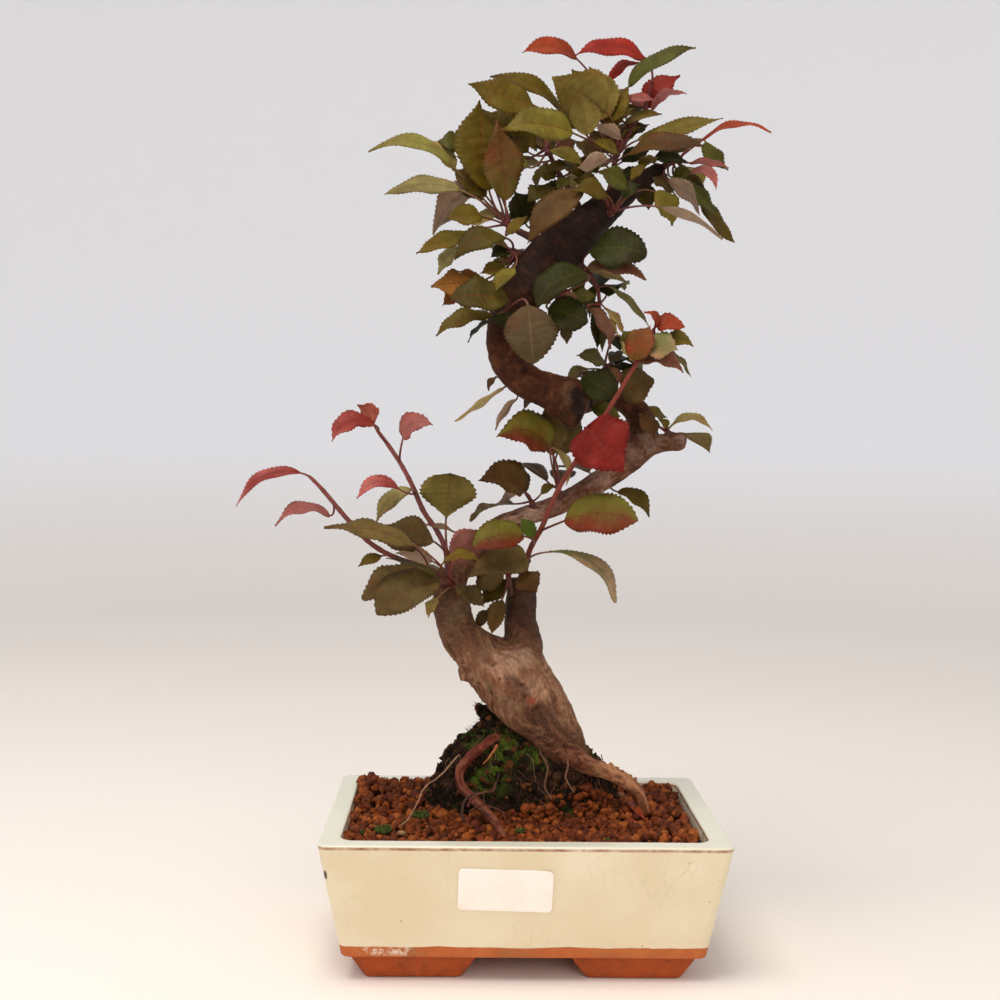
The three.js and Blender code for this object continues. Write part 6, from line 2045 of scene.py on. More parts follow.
            Leaf((611, 287), (649, 326), 8, (-4, -12), 58, Tone.GREY_GREEN, bow=0, hold=(597, 288)),
            Leaf((588, 308), (611, 349), 15, (-8, -10), 58, Tone.PINK_BROWN, bow=2),
            Leaf((601, 312), (602, 352), 9, (4, 4), 50, Tone.GREEN),
            Leaf((605, 308), (624, 334), 9, (8, 6), 60, Tone.TAN),
            Leaf((594, 286), (590, 318), 10, (2, 4), 40, Tone.DARK_GREEN, hold=(597, 288)),
            Leaf((596, 320), (620, 336), 12, (4, 2), 50, Tone.TAN, hold=(600, 306)),
            Leaf((584, 280), (576, 302), 11, (8, 10), 45, Tone.DARK_OLIVE, hold=(584, 268)),
            Leaf((594, 302), (597, 350), 11, (0, 4), 40, Tone.DARK_GREEN, hold=(600, 306)),
        ),
    ),
    Spray(
        "elbow_right", behind=8, back=2, tone=Tone.DARK_GREEN,
        stems=(
            ((592, 402, 10, 7), (598, 382, 4, 4), (607, 364, 0, 3.2)),
        ),
        leaves=(
            Leaf((605, 363), (577, 355), 13, (-6, -14), 45, Tone.GREY_GREEN),
            Leaf((610, 363), (626, 351), 10, (4, 6), 60, Tone.BROWN),
            Leaf((588, 369), (565, 380), 10, (4, 2), 45, Tone.PALE_GREEN),
            Leaf((582, 377), (617, 398), 21, (-16, -20), 28, Tone.DARK_GREEN, form=Form.OVAL),
            Leaf((622, 396), (653, 377), 25, (-4, -10), 30, Tone.GREY_OLIVE, form=Form.OVAL, hold=(598, 382)),
            Leaf((592, 408), (621, 416), 11, (-2, -6), 22, Tone.GREEN, hold=(597, 390)),
            Leaf((622, 337), (633, 362), 14, (6, 6), 48, Tone.TAN),
            Leaf((620, 350), (608, 335), 12, (14, 20), 50, Tone.DARK_GREEN),
            Leaf((606, 368), (614, 384), 7, (-6, -8), 40, Tone.DARK_GREEN),
            Leaf((610, 368), (618, 386), 9, (-8, -10), 40, Tone.PINK_BROWN),
            Leaf((604, 372), (622, 372), 9, (4, 6), 45, Tone.DARK_OLIVE),
        ),
    ),
    Spray(
        "stub_spur", behind=12, back=1, tone=Tone.OLIVE,
        stems=(
            ((664, 443, 4, 5), (668, 430, 3, 3)),
        ),
        leaves=(
            Leaf((671, 426), (713, 430), 10, (0, -6), 62, Tone.TAN, bow=5),
            Leaf((644, 411), (667, 418), 10, (16, 16), 45, Tone.OLIVE),
            Leaf((641, 416), (656, 439), 13, (-8, -12), 40, Tone.BROWN_OLIVE),
            Leaf((667, 429), (658, 418), 7, (4, 6), 50, Tone.OLIVE),
        ),
    ),
    Spray(
        "long_shoot", behind=0, back=0, tone=Tone.OLIVE_RED,
        stems=(
            ((521, 590, 14, 6), (529, 552, 2, 3.8), (541, 529, -6, 3.6), (560, 486, -12, 3.4),
             (584, 449, -16, 3.2), (616, 397, -18, 3), (646, 346, -16, 2.6), (655, 327, -15, 2)),
        ),
        leaves=(
            Leaf((655, 328), (644, 311), 9, (-18, -18), 62, Tone.ORANGE, bow=2),
            Leaf((657, 326), (685, 327), 18, (-18, -24), 50, Tone.ORANGE, bow=0),
            Leaf((634, 360), (650, 325), 20, (-24, -24), 35, Tone.OLIVE_RED, hold=(642, 353)),
            Leaf((648, 351), (678, 350), 20, (-22, -28), 42, Tone.GREEN_TAN, bow=1, hold=(646, 346)),
            Leaf((664, 342), (694, 346), 12, (-12, -14), 45, Tone.YELLOW_OLIVE, bow=2),
            Leaf((656, 352), (692, 376), 10, (-12, -16), 58, Tone.GREY_GREEN, bow=2, hold=(648, 342)),
            Leaf((641, 362), (683, 373), 17, (-18, -24), 55, Tone.PINK_BROWN, bow=4, hold=(640, 356)),
            Leaf((586, 428), (623, 473), 37, (-24, -30), 14, Tone.SCARLET, form=Form.HEART, hold=(588, 443)),
            Leaf((564, 521), (638, 521), 27, (-20, -34), 34, Tone.GREEN_RED, bow=3, form=Form.OVAL, hold=(541, 531)),
            Leaf((549, 552), (618, 602), 15, (-14, -20), 56, Tone.GREEN_TAN, bow=8, form=Form.SPOON, hold=(527, 560)),
            Leaf((524, 536), (473, 546), 22, (-20, -30), 36, Tone.GREEN_RED, bow=2, form=Form.OVAL, hold=(532, 546)),
            Leaf((532, 538), (521, 518), 11, (-6, -4), 40, Tone.BRIGHT_GREEN, hold=(536, 540)),
            Leaf((634, 336), (620, 341), 8, (-12, -12), 40, Tone.GREEN, hold=(646, 346)),
        ),
    ),
    Spray(
        "right_fork_spur", behind=8, back=0, tone=Tone.GREY_OLIVE,
        stems=(
            ((511, 595, 0, 5), (508, 574, -6, 3.6)),
        ),
        leaves=(
            Leaf((527, 559), (466, 574), 23, (-20, -32), 36, Tone.GREY_OLIVE, bow=1, form=Form.HEART),
            Leaf((502, 600), (491, 634), 12, (-8, -12), 22, Tone.SPOTTED),
            Leaf((520, 574), (537, 592), 17, (-22, -28), 30, Tone.BROWN_OLIVE),
            Leaf((489, 610), (476, 630), 8, (2, 0), 30, Tone.BROWN),
            Leaf((503, 574), (474, 592), 18, (-2, -6), 45, Tone.BROWN, hold=(508, 574)),
            Leaf((507, 580), (482, 604), 15, (0, -2), 30, Tone.DARK_OLIVE, hold=(508, 574)),
            Leaf((500, 572), (486, 588), 13, (6, 4), 45, Tone.DARK_GREEN, hold=(508, 574)),
        ),
    ),
    Spray(
        "low_branch_spur", behind=7, back=2, tone=Tone.BROWN,
        stems=(
            ((535, 512, 9, 6), (531, 500, 4, 3.2)),
        ),
        leaves=(
            Leaf((524, 490), (478, 481), 24, (0, -10), 34, Tone.BROWN_OLIVE, bow=4, form=Form.HEART),
            Leaf((524, 492), (498, 503), 11, (8, 8), 125, Tone.MAUVE),
            Leaf((541, 494), (556, 486), 8, (0, -2), 50, Tone.OLIVE),
        ),
    ),
    Spray(
        "branch_fan", behind=11, back=2, tone=Tone.BROWN_OLIVE,
        stems=(
            ((563, 503, 8, 6), (558, 488, 2, 3.2)),
        ),
        leaves=(
            Leaf((549, 447), (496, 437), 27, (-8, -18), 34, Tone.GREEN_RED, bow=6, form=Form.HEART),
            Leaf((553, 455), (545, 407), 22, (6, 8), 30, Tone.GREY_OLIVE),
            Leaf((556, 449), (567, 486), 9, (-2, 2), 60, Tone.TAN, bow=2),
            Leaf((557, 454), (580, 416), 23, (12, 14), 30, Tone.GREY_OLIVE, hold=(558, 488)),
        ),
    ),
    Spray(
        "branch_right", behind=14, back=1, tone=Tone.OLIVE,
        stems=(
            ((601, 482, 8, 5), (606, 478, 17, 3)),
        ),
        leaves=(
            Leaf((618, 492), (650, 517), 14, (10, 4), 50, Tone.OLIVE, bow=3),
        ),
    ),
    Spray(
        "left_fork_spur", behind=-6, back=0, tone=Tone.OLIVE,
        stems=(
            ((452, 597, 2, 7), (454, 583, -6, 4)),
        ),
        leaves=(
            Leaf((414, 545), (324, 526), 18, (-20, -32), 50, Tone.GREY_OLIVE, bow=2),
            Leaf((432, 561), (396, 552), 14, (10, 14), 140, Tone.MAUVE),
            Leaf((438, 577), (386, 558), 10, (-18, -26), 66, Tone.DARK_OLIVE),
            Leaf((440, 581), (377, 615), 29, (-16, -30), 38, Tone.GREY_OLIVE, bow=3, form=Form.OVAL),
            Leaf((436, 583), (361, 598), 25, (-6, -14), 42, Tone.GREY_OLIVE, bow=5, form=Form.OVAL),
            Leaf((437, 598), (428, 618), 9, (-14, -18), 45, Tone.TAN),
            Leaf((446, 518), (450, 473), 32, (-4, -8), 176, Tone.DARK_OLIVE, form=Form.SPOON),
            Leaf((454, 561), (485, 527), 21, (-12, -18), 150, Tone.RED_MAUVE),
            Leaf((459, 588), (484, 607), 13, (-14, -18), 40, Tone.BROWN),
            Leaf((444, 562), (480, 560), 12, (-22, -28), 58, Tone.OLIVE, bow=2),
            Leaf((454, 532), (418, 525), 8, (14, 12), 68, Tone.MAUVE),
            Leaf((458, 584), (462, 599), 7, (-16, -18), 30, Tone.BROWN),
        ),
    ),
    Spray(
        "outer_shoot", behind=-8, back=0, tone=Tone.RED,
        stems=(
            ((450, 588, 8, 6), (436, 573, 8, 4), (392, 556, 4, 3.4), (369, 542, 0, 3.4),
             (348, 520, -4, 3.2), (321, 488, -10, 2.8), (308, 475, -12, 2.2)),
        ),
        leaves=(
            Leaf((301, 473), (235, 506), 12, (-12, -20), 55, Tone.ROSE, bow=6),
            Leaf((330, 516), (274, 525), 13, (-8, -18), 60, Tone.PINK, bow=6, hold=(336, 506)),
            Leaf((416, 549), (378, 539), 15, (14, 16), 50, Tone.BROWN_OLIVE, hold=(425, 569)),
            Leaf((381, 556), (358, 566), 8, (4, 0), 35, Tone.OLIVE, hold=(391, 556)),
        ),
    ),
    Spray(
        "inner_shoot", behind=0, back=0, tone=Tone.RED,
        stems=(
            ((449, 584, -2, 6), (446, 551, 3, 3.8), (437, 531, 6, 3.4), (424, 512, 8, 3.4),
             (412, 485, 10, 3.2), (402, 466, 11, 3), (391, 449, 12, 2.8), (375, 427, 13, 2.2)),
        ),
        leaves=(
            Leaf((373, 424), (331, 441), 17, (2, -8), 48, Tone.ROSE, bow=5),
            Leaf((374, 425), (358, 404), 18, (6, 10), 130, Tone.RED),
            Leaf((403, 438), (433, 425), 19, (2, -4), 50, Tone.PINK, bow=4, form=Form.HEART, hold=(401, 462)),
            Leaf((399, 489), (356, 498), 12, (-4, -14), 48, Tone.ROSE, bow=5, hold=(415, 493)),
            Leaf((411, 489), (376, 523), 13, (6, 2), 42, Tone.PALE_GREEN, bow=3, hold=(418, 499)),
            Leaf((433, 541), (388, 523), 20, (-10, -18), 42, Tone.BROWN, hold=(447, 553)),
        ),
    ),
    Spray(
        "waist_back", behind=0, back=4, tone=Tone.DARK_OLIVE,
        stems=(
            ((505, 338, -8, 6), (507, 328, 6, 3)),
        ),
        leaves=(),
    ),
    Spray(
        "left_fork_back", behind=0, back=4, tone=Tone.OLIVE,
        stems=(
            ((452, 590, -2, 6), (457, 583, 12, 3)),
        ),
        leaves=(),
    ),
)
BENDS = (0, 3, -3, 6, -6, 9, -9, 12, -12, 15, -15, 18, -18, 22, -22, 26, -26)


@dataclass
class Grown:
    """A leaf placed in space, in millimetres: where it holds on, its blade's ends, its faces and its size."""

    hold: np.ndarray
    root: np.ndarray
    tip: np.ndarray
    upper: np.ndarray
    side: np.ndarray
    wide: float
    bow: float
    lift: float
    tone: Tone
    form: Form = Form.POINTED

    def arch(self) -> np.ndarray:
        """The point that the rib's curve is drawn towards, halfway along it."""
        return (self.root + self.tip) / 2 + 2 * self.bow * self.side + 2 * self.lift * self.upper


@dataclass(frozen=True)
class LeafFinish(Finish):
    """A satin leaf: two tints stored point by point, with veins drawn along the blade's own measures."""

    veins: float = 8.5
    slant: float = 0.34
    net_mm: float = 1.5

    def vein_share(self, tree: bpy.types.NodeTree) -> bpy.types.NodeSocket:
        """How much of a vein each point is, 0 to 1: the rib, and side veins that slant from it to the edge.

        Args:
            tree: the node tree.

        Returns:
            The share.
        """
        along, across = (add_node(tree, "Attribute", output="Fac", attribute_name=name) for name in ("along", "across"))
        across = add_node(tree, "Math", across, operation="ABSOLUTE")
        back = add_node(tree, "Math", across, -self.slant, along, operation="MULTIPLY_ADD")
        count = add_node(tree, "Math", back, self.veins, operation="MULTIPLY")
        wave = add_node(tree, "Math", count, 0.5, operation="PINGPONG")
        fine = add_node(tree, "MapRange", wave, 0.05, 0.01)
        fade = add_node(tree, "MapRange", across, 0.95, 0.5, 0.05, 0.5)
        fine = add_node(tree, "Math", fine, fade, operation="MULTIPLY")
        rib = add_node(tree, "MapRange", across, 0.055, 0.022)
        return add_node(tree, "Math", fine, rib, operation="MAXIMUM")

    def make(self) -> bpy.types.Material:
        """Makes the material.

        Returns:
            The material.
        """
        material, tree, at = self.start(("cloud", 5.5, 0.6, 4.0), ("gloss", 9.0, 0.5, 4.0))
        tint, veins = (add_node(tree, "Attribute", output="Color", attribute_name=name) for name in ("tint", "veins"))
        cloud = add_node(tree, "MapRange", at["cloud"], 0.3, 0.7, 0.78, 1.24)
        face = add_node(tree, "VectorMath", tint, feeds={"Scale": cloud}, operation="SCALE")
        cells = add_node(tree, "TexVoronoi", at["place"], feeds={"Scale": 1 / (self.net_mm * MM)},
                         feature="DISTANCE_TO_EDGE")
        net = add_node(tree, "MapRange", cells, 0.1, 0.0, 0.0, 0.18)
        drawn = add_node(tree, "Math", self.vein_share(tree), net, operation="MAXIMUM")
        faint = add_node(tree, "Math", drawn, 0.66, operation="MULTIPLY")
        gloss = add_node(tree, "MapRange", at["gloss"], 0.3, 0.7, self.roughness - 0.07, self.roughness + 0.1)
        sunk = add_node(tree, "Math", drawn, -1.0, operation="MULTIPLY")
        self.end(tree, self.painted(tree, face, (faint, veins)), gloss, sunk, 0.14)
        return material


@dataclass(frozen=True)
class Blade:
    """How a blade is shaped, in millimetres: the same for every leaf but for what is drawn at random."""

    teeth: tuple[int, int] = (7, 19)
    across: int = 9
    thick: float = 0.42
    edge: float = 0.18
    pitch: float = 2.15
    tooth: float = 0.82
    rib: str = "#5e1a13"

    def outline(self, u: np.ndarray, form: Form) -> np.ndarray:
        """Half the width as a share of the widest: sin(pi u^a) to the power b + c u, with a, b, c of its form."""
        place, full, taper = form.value
        return np.abs(np.sin(np.pi * u**place)) ** (full + taper * u)

    def half_width(self, leaf: Grown, u: np.ndarray, roll: np.random.Generator) -> np.ndarray:
        """Half the width along the rib, with teeth that point to the tip.

        Args:
            leaf: the leaf.
            u: shares of the way along the rib.
            roll: where its numbers come from.

        Returns:
            Millimetres.
        """
        step = np.arange(len(u)) + int(roll.integers(0, 3))
        saw = np.array([-0.55, 0.05, 0.6])[step % 3] * np.array([0.75, 1.2, 0.85, 1.1, 0.7])[step // 3 % 5]
        size = self.tooth * ramp(u, 0.06, 0.22) * (leaf.wide / 18) ** 0.6
        body = self.outline(u, leaf.form) * (1 + 0.04 * np.sin(u * 9 + roll.random() * 6))
        held = leaf.wide / 2 * body + size * saw * np.minimum(body * 3, 1)
        return np.maximum(held, 0.14 + 0.5 * (1 - u) ** 9)

    def rib_frame(self, leaf: Grown, u: np.ndarray,
                  roll: np.random.Generator) -> tuple[np.ndarray, np.ndarray, np.ndarray]:
        """The rib, a quadratic curve, with the way that the upper face looks and the way across, a little twisted.

        Args:
            leaf: the leaf.
            u: shares of the way along the rib.
            roll: where its numbers come from.

        Returns:
            Places, normals and directions across.
        """
        rib = bezier(leaf.root, leaf.arch(), leaf.tip, u)
        tangent = unit(np.gradient(rib, axis=0))
        twist = (np.radians(roll.normal(0, 9)) * (u - 0.2))[:, None]
        flat = leaf.upper - tangent * (tangent @ leaf.upper)[:, None]
        other = leaf.side - tangent * (tangent @ leaf.side)[:, None]
        normal = unit(np.where(np.linalg.norm(flat, axis=1, keepdims=True) < 0.2, other, flat))
        across = np.cross(normal, tangent)
        return rib, normal * np.cos(twist) + across * np.sin(twist), across * np.cos(twist) - normal * np.sin(twist)

    def face(self, leaf: Grown, u: np.ndarray, s: np.ndarray,
             roll: np.random.Generator) -> tuple[np.ndarray, np.ndarray]:
        """The blade's middle face.

        A point lies out from the rib by its share of the half width, turned up by the fold, waved towards the
        edge, puffed between the veins and curled down at the tip.

        Args:
            leaf: the leaf.
            u: shares of the way along the rib.
            s: shares across it, from -1 to 1.
            roll: where its numbers come from.

        Returns:
            Places, a row for each u, and the normals along the rib.
        """
        rib, normal, across = self.rib_frame(leaf, u, roll)
        half = np.stack([self.half_width(leaf, u, roll) for _ in range(2)], axis=1)
        along, aside = u[:, None], np.abs(s)[None]
        out = np.where(s[None] < 0, half[:, :1], half[:, 1:]) * s[None]
        size = leaf.wide / 18
        fold = np.radians(roll.uniform(9, 26)) * (1 - 0.35 * aside) * (1.15 - 0.5 * along)
        waves, start = roll.uniform(1.3, 2.6), roll.uniform(0, 6.3, 2)
        phase = 2 * np.pi * waves * along + np.where(s[None] < 0, start[0], start[1])
        height = np.abs(out) * np.sin(fold) + np.sin(phase) * s[None] ** 2 * roll.uniform(0.45, 1.25) * size
        puff = np.cos(2 * np.pi * 8.5 * (along - 0.34 * aside))
        height -= puff * 0.19 * size * (1 - s[None] ** 4) * np.sin(np.pi * along)
        height -= roll.uniform(-0.2, 1.0) * 1.6 * size * ramp(along, 0.62, 1.0) ** 1.5
        height -= roll.uniform(0, 0.9) * size * aside**3
        place = rib[:, None] + across[:, None] * (out * np.cos(fold))[..., None] + normal[:, None] * height[..., None]
        return place, normal

    def mesh(self, skin: Skin, leaf: Grown, roll: np.random.Generator) -> None:
        """Adds the blade, a closed skin whose section goes over the upper face and back under the lower one.

        Args:
            skin: what it is added to.
            leaf: the leaf.
            roll: where its numbers come from.
        """
        long = np.linalg.norm(leaf.tip - leaf.root)
        count = 3 * int(np.clip(round(long / self.pitch), *self.teeth)) + 1
        u = np.linspace(0, 1, count)
        s = np.linspace(-1, 1, self.across)
        place, normal = self.face(leaf, u, s, roll)
        thick = (self.edge + (self.thick - self.edge) * (1 - np.abs(s) ** 3))[None, :, None] / 2
        thick = thick + (0.35 * (1 - u[:, None, None]) ** 2 + 0.1) * bell(s[None, :, None], 0, 0.12)
        slope = unit(np.cross(np.gradient(place, axis=1), np.gradient(place, axis=0)))
        slope *= np.sign(np.sum(slope * normal[:, None], axis=-1, keepdims=True) + 1e-6)
        ring = np.concatenate([place + slope * thick, (place - slope * thick * 0.9)[:, ::-1]], axis=1)
        n = self.across
        j = np.arange(n - 1)
        cap = np.stack([j, j + 1, 2 * n - 2 - j, 2 * n - 1 - j], axis=1)
        faces = [grid_faces(count, 2 * n)[:, ::-1], cap, (cap + (count - 1) * 2 * n)[:, ::-1]]
        tints, veins = self.tints(leaf, place, u, s, roll)
        across = np.tile(np.concatenate([s, s[::-1]]), count)
        skin.add(ring.reshape(-1, 3), faces, tints, 0, along=np.repeat(u, 2 * n), across=across, veins=veins)

    def tints(self, leaf: Grown, place: np.ndarray, u: np.ndarray, s: np.ndarray,
              roll: np.random.Generator) -> tuple[np.ndarray, np.ndarray]:
        """The colours of both faces: base to tip, in patches, darker at the edge, with rust spots on some.

        Args:
            leaf: the leaf.
            place: the blade's places.
            u: shares along the rib.
            s: shares across it.
            roll: where its numbers come from.

        Returns:
            The tints and the veins' colours, for each point of the section.
        """
        base, end, lower, vein = leaf.tone.colours()
        light = roll.uniform(0.84, 1.16)
        patch = rough(place, 11, int(roll.integers(1, 900)), 2)
        if leaf.tone is Tone.GREEN_RED:
            lower_half = s[None] * np.sign(leaf.tip[0] - leaf.root[0])
            share = ramp(lower_half * np.ones_like(u)[:, None] + patch * 0.6, 0.55, -0.6)
        else:
            share = ramp(u[:, None] + patch * 0.8, 0.15, 0.95)
        face = mix(base, end, share) * light
        red = ramp(rough(place, 8, 7, 2) + np.abs(s)[None] * 0.5, 0.4, 1.0) * 0.5
        face = mix(face, face * [1.4, 0.72, 0.66], red)
        pale = ramp(rough(place, 6, int(roll.integers(1, 900)), 2), 0.1, 0.7) * 0.4
        face = mix(face, face * [1.25, 1.3, 1.2], pale)
        spots = ramp(rough(place, 3.2, int(roll.integers(1, 900)), 2), 0.6, 0.72) * roll.uniform(0, 0.9)
        face = mix(face, face * [0.85, 0.5, 0.38], spots)
        face = face * (1 - 0.25 * ramp(np.abs(s), 0.9, 1.0))[None, :, None]
        below = mix(lower, lower * [1.05, 0.85, 0.8], ramp(patch, 0, 0.7)) * light
        both = np.concatenate([face, below[:, ::-1]], axis=1).reshape(-1, 3)
        greenish = leaf.tone in (Tone.DARK_GREEN, Tone.GREEN, Tone.BRIGHT_GREEN, Tone.GREY_GREEN, Tone.GREY_BROWN)
        redness = roll.uniform(0.0, 0.25) if greenish else roll.uniform(0.6, 1.0)
        vein = mix(vein, base, 0.45 if greenish else 0.0)
        rib = mix(vein, rgb(self.rib), np.exp(-((s / 0.2) ** 2)) * redness)
        veins = np.concatenate([np.broadcast_to(rib, face.shape),
                                np.broadcast_to(lower * 0.6 + rib[::-1] * 0.5, face.shape)], axis=1)
        return both, veins.reshape(-1, 3) * light


@dataclass(frozen=True)
class Shoots:
    """Grows the sprays: reads where each leaf of the solid part lies, and grows a finer one there."""

    blade: Blade = Blade()
    stalk: tuple[float, float] = (0.72, 0.52)
    petiole: str = "#571d1a"
    shoot: str = "#4b2a20"
    bright_shoot: str = "#7d2d19"
    pink_shoot: str = "#7e3e36"
    close: float = 0.6
    sides: int = 10

    def facing(self, root: np.ndarray, tip: np.ndarray, tilt: float) -> tuple[np.ndarray, np.ndarray]:
        """The way a blade's upper face looks, and the direction across its rib.

        Args:
            root: where the blade starts.
            tip: where it ends.
            tilt: degrees that it is turned from the eye, round the rib.

        Returns:
            The two directions.
        """
        rib = unit(tip - root)
        towards = unit(np.array(SIGHT.eye) - root)
        flat = unit(towards - rib * (towards @ rib))
        side = np.cross(rib, flat) * (-1 if rib[0] >= 0 else 1)
        return flat * math.cos(math.radians(tilt)) + side * math.sin(math.radians(tilt)), side

    def hold_on(self, stems: list[np.ndarray], pixel: tuple[float, float] | None, number: int) -> np.ndarray:
        """Where a leaf holds on: the stems' place nearest to a pixel's line of sight, or near the first's end.

        Args:
            stems: the stems' places.
            pixel: the pixel, or None.
            number: the leaf's place in its spray.

        Returns:
            The place.
        """
        if pixel is None:
            return stems[0][-2 - 3 * (number % 4)]
        places = np.concatenate(stems)
        return places[np.argmin(SIGHT.from_ray(pixel, places)[1])]

    def front(self, spray: Spray, stems: list[np.ndarray], number: int, bend: float) -> Grown:
        """A leaf from its row, bent back or forth.

        Args:
            spray: its spray.
            stems: the stems' places.
            number: its place in the spray.
            bend: how much deeper its tip lies; its root lies half as much deeper.

        Returns:
            The leaf.
        """
        row = spray.leaves[number]
        root = SIGHT.seen(row.root, row.deep[0] + spray.behind + bend / 2)
        tip = SIGHT.seen(row.tip, row.deep[1] + spray.behind + bend)
        upper, side = self.facing(root, tip, row.tilt)
        hold = self.hold_on(stems, row.hold, number)
        return Grown(hold, root, tip, upper, side, row.wide, row.bow, row.lift, row.tone, row.form)

    def back(self, spray: Spray, stems: list[np.ndarray], seed: int) -> list[Grown]:
        """The leaves that grow away from the front, drawn as the part draws them.

        Args:
            spray: their spray.
            stems: the stems' places.
            seed: picks the sequence.

        Returns:
            The leaves, unbent.
        """
        roll = dice(seed)
        leaves = []
        for i in range(spray.back):
            hold = stems[0][-3 - 3 * i]
            ranges = ((-70, 70), (-15, 35), (8, 16), (26, 38), (0, 2), (0, 6), (-0.2, 0.2), (15, 21))
            swing, rise, stalk, long, start, droop, turn, wide = (a + (b - a) * roll() for a, b in ranges)
            swing, rise = math.radians(swing), math.radians(rise)
            heading = unit(np.array([0.75 * math.sin(swing), math.cos(swing), math.sin(rise)]))
            root = hold + heading * stalk + [0, 2, start]
            tip = root + heading * long + [0, 0, -droop]
            upper = np.array([turn, 0, 1])
            upper = unit(upper - heading * (upper @ heading))
            leaves.append(Grown(hold, root, tip, upper, np.cross(heading, upper), wide, 0, 3, spray.tone))
        return leaves

    def bend_of(self, tips: np.ndarray, solid: np.ndarray) -> int:
        """Which bend the solid part's leaf took: the one whose tip lies on a point of the solid.

        Args:
            tips: the tip's place for each bend.
            solid: the points of the spray's solid.

        Returns:
            The bend's number, 0 where none is near.
        """
        gaps = np.linalg.norm(tips[:, None] - solid[None], axis=2).min(axis=1)
        return int(np.argmin(gaps)) if gaps.min() < self.close else 0

    def leaves(self, spray: Spray, stems: list[np.ndarray], number: int, solid: np.ndarray) -> list[Grown]:
        """All leaves of a spray, bent as the solid's are.

        Args:
            spray: the spray.
            stems: the stems' places.
            number: the spray's place among the sprays.
            solid: the points of its solid.

        Returns:
            The leaves.
        """
        grown = []
        for i in range(len(spray.leaves)):
            ways = [self.front(spray, stems, i, bend) for bend in BENDS]
            grown.append(ways[self.bend_of(np.array([way.tip for way in ways]), solid)])
        for leaf in self.back(spray, stems, 100 + number):
            rises = np.array(BENDS)[:, None] * [0, 0, 1.0]
            bend = BENDS[self.bend_of(leaf.tip + rises, solid)]
            leaf.root, leaf.tip = leaf.root + [0, 0, bend / 2], leaf.tip + [0, 0, bend]
            grown.append(leaf)
        return grown

    def stem(self, skin: Skin, rows: tuple, behind: float, roll: np.random.Generator, young: str) -> np.ndarray:
        """Adds a stem: a round skin that swells a little at its nodes, with a bud at its end.

        Args:
            skin: what it is added to.
            rows: its pixels, depths and thicknesses.
            behind: how much deeper than its rows it stands.
            roll: where its numbers come from.
            young: the colour of its thinner end.

        Returns:
            The places along it that leaves hold on to.
        """
        limb = Limb("stem", rows)
        places, _ = limb.run(41, behind)
        path, radii = limb.run(72, behind)
        radii = radii * (1 + 0.13 * np.maximum(np.sin(np.linspace(0, 1, 72) * len(rows) * 9 + roll.random()), 0) ** 6)
        radii = radii * 0.88 + rough(path, 3, 71, 2) * 0.12
        radii[-4:] *= (0.98, 0.85, 0.6, 0.25)
        share = ramp(radii, 2.4, 0.9)
        tints = mix(*rgb(self.shoot, young), share) * (1 + 0.2 * rough(path, 5, 72, 2))[:, None]
        points, faces = tube(path, radii, self.sides)
        skin.add(points, faces, np.repeat(tints, self.sides, axis=0), 1)
        return places

    def petiole_skin(self, skin: Skin, leaf: Grown, roll: np.random.Generator) -> None:
        """Adds the leaf's stalk, a curve from its hold into the rib's direction, with a swollen foot.

        Args:
            skin: what it is added to.
            leaf: the leaf.
            roll: where its numbers come from.
        """
        way = unit(leaf.arch() - leaf.root)
        bend = leaf.root - 0.45 * np.linalg.norm(leaf.hold - leaf.root) * way
        path = bezier(leaf.hold, bend, leaf.root + way * 1.6, np.linspace(0, 1, 13))
        radius = np.linspace(*self.stalk, 13) * np.clip(0.8 + leaf.wide / 90, 0.85, 1.1)
        radius[:2] *= (1.5, 1.2)
        base = rgb(self.petiole)
        greener = leaf.tone.colours()[3]
        tints = np.repeat(mix(base, greener, np.linspace(0, 0.35, 13)) * roll.uniform(0.75, 1.3), 7, axis=0)
        skin.add(*tube(path, radius, 7), tints, 1)

    def build(self) -> None:
        """Builds every spray, each for its own solid."""
        # A soft sheen, and some light that passes through the blade: a living leaf
        leaf_skin = LeafFinish("satin_apple_leaf", roughness=0.5, ior=1.4, specular=0.16, subsurface=0.1,
                               scatter=(0.9, 0.8, 0.2), scatter_mm=0.6).make()
        # Smoother and glossier than the trunk's: this year's wood
        bark = TintedFinish("young_red_shoot_bark", roughness=0.55, specular=0.4, mottle_mm=2.5, mottle=0.2,
                            grain_mm=0.7, grain_depth_mm=0.04).make()
        young_of = {"long_shoot": self.bright_shoot, "inner_shoot": self.pink_shoot, "outer_shoot": self.pink_shoot}
        for number, spray in enumerate(SPRAYS):
            node = "spray_" + spray.name
            roll = np.random.default_rng(400 + number)
            hull = places_of(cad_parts[node].data) / MM - POT_PLACE
            skin = Skin()
            young = young_of.get(spray.name, self.petiole)
            stems = [self.stem(skin, rows, spray.behind, roll, young) for rows in spray.stems]
            for leaf in self.leaves(spray, stems, number, hull):
                self.blade.mesh(skin, leaf, roll)
                self.petiole_skin(skin, leaf, roll)
            piece = skin.build("leafy_" + spray.name, [leaf_skin, bark])
            settle(piece, node)


# The studio


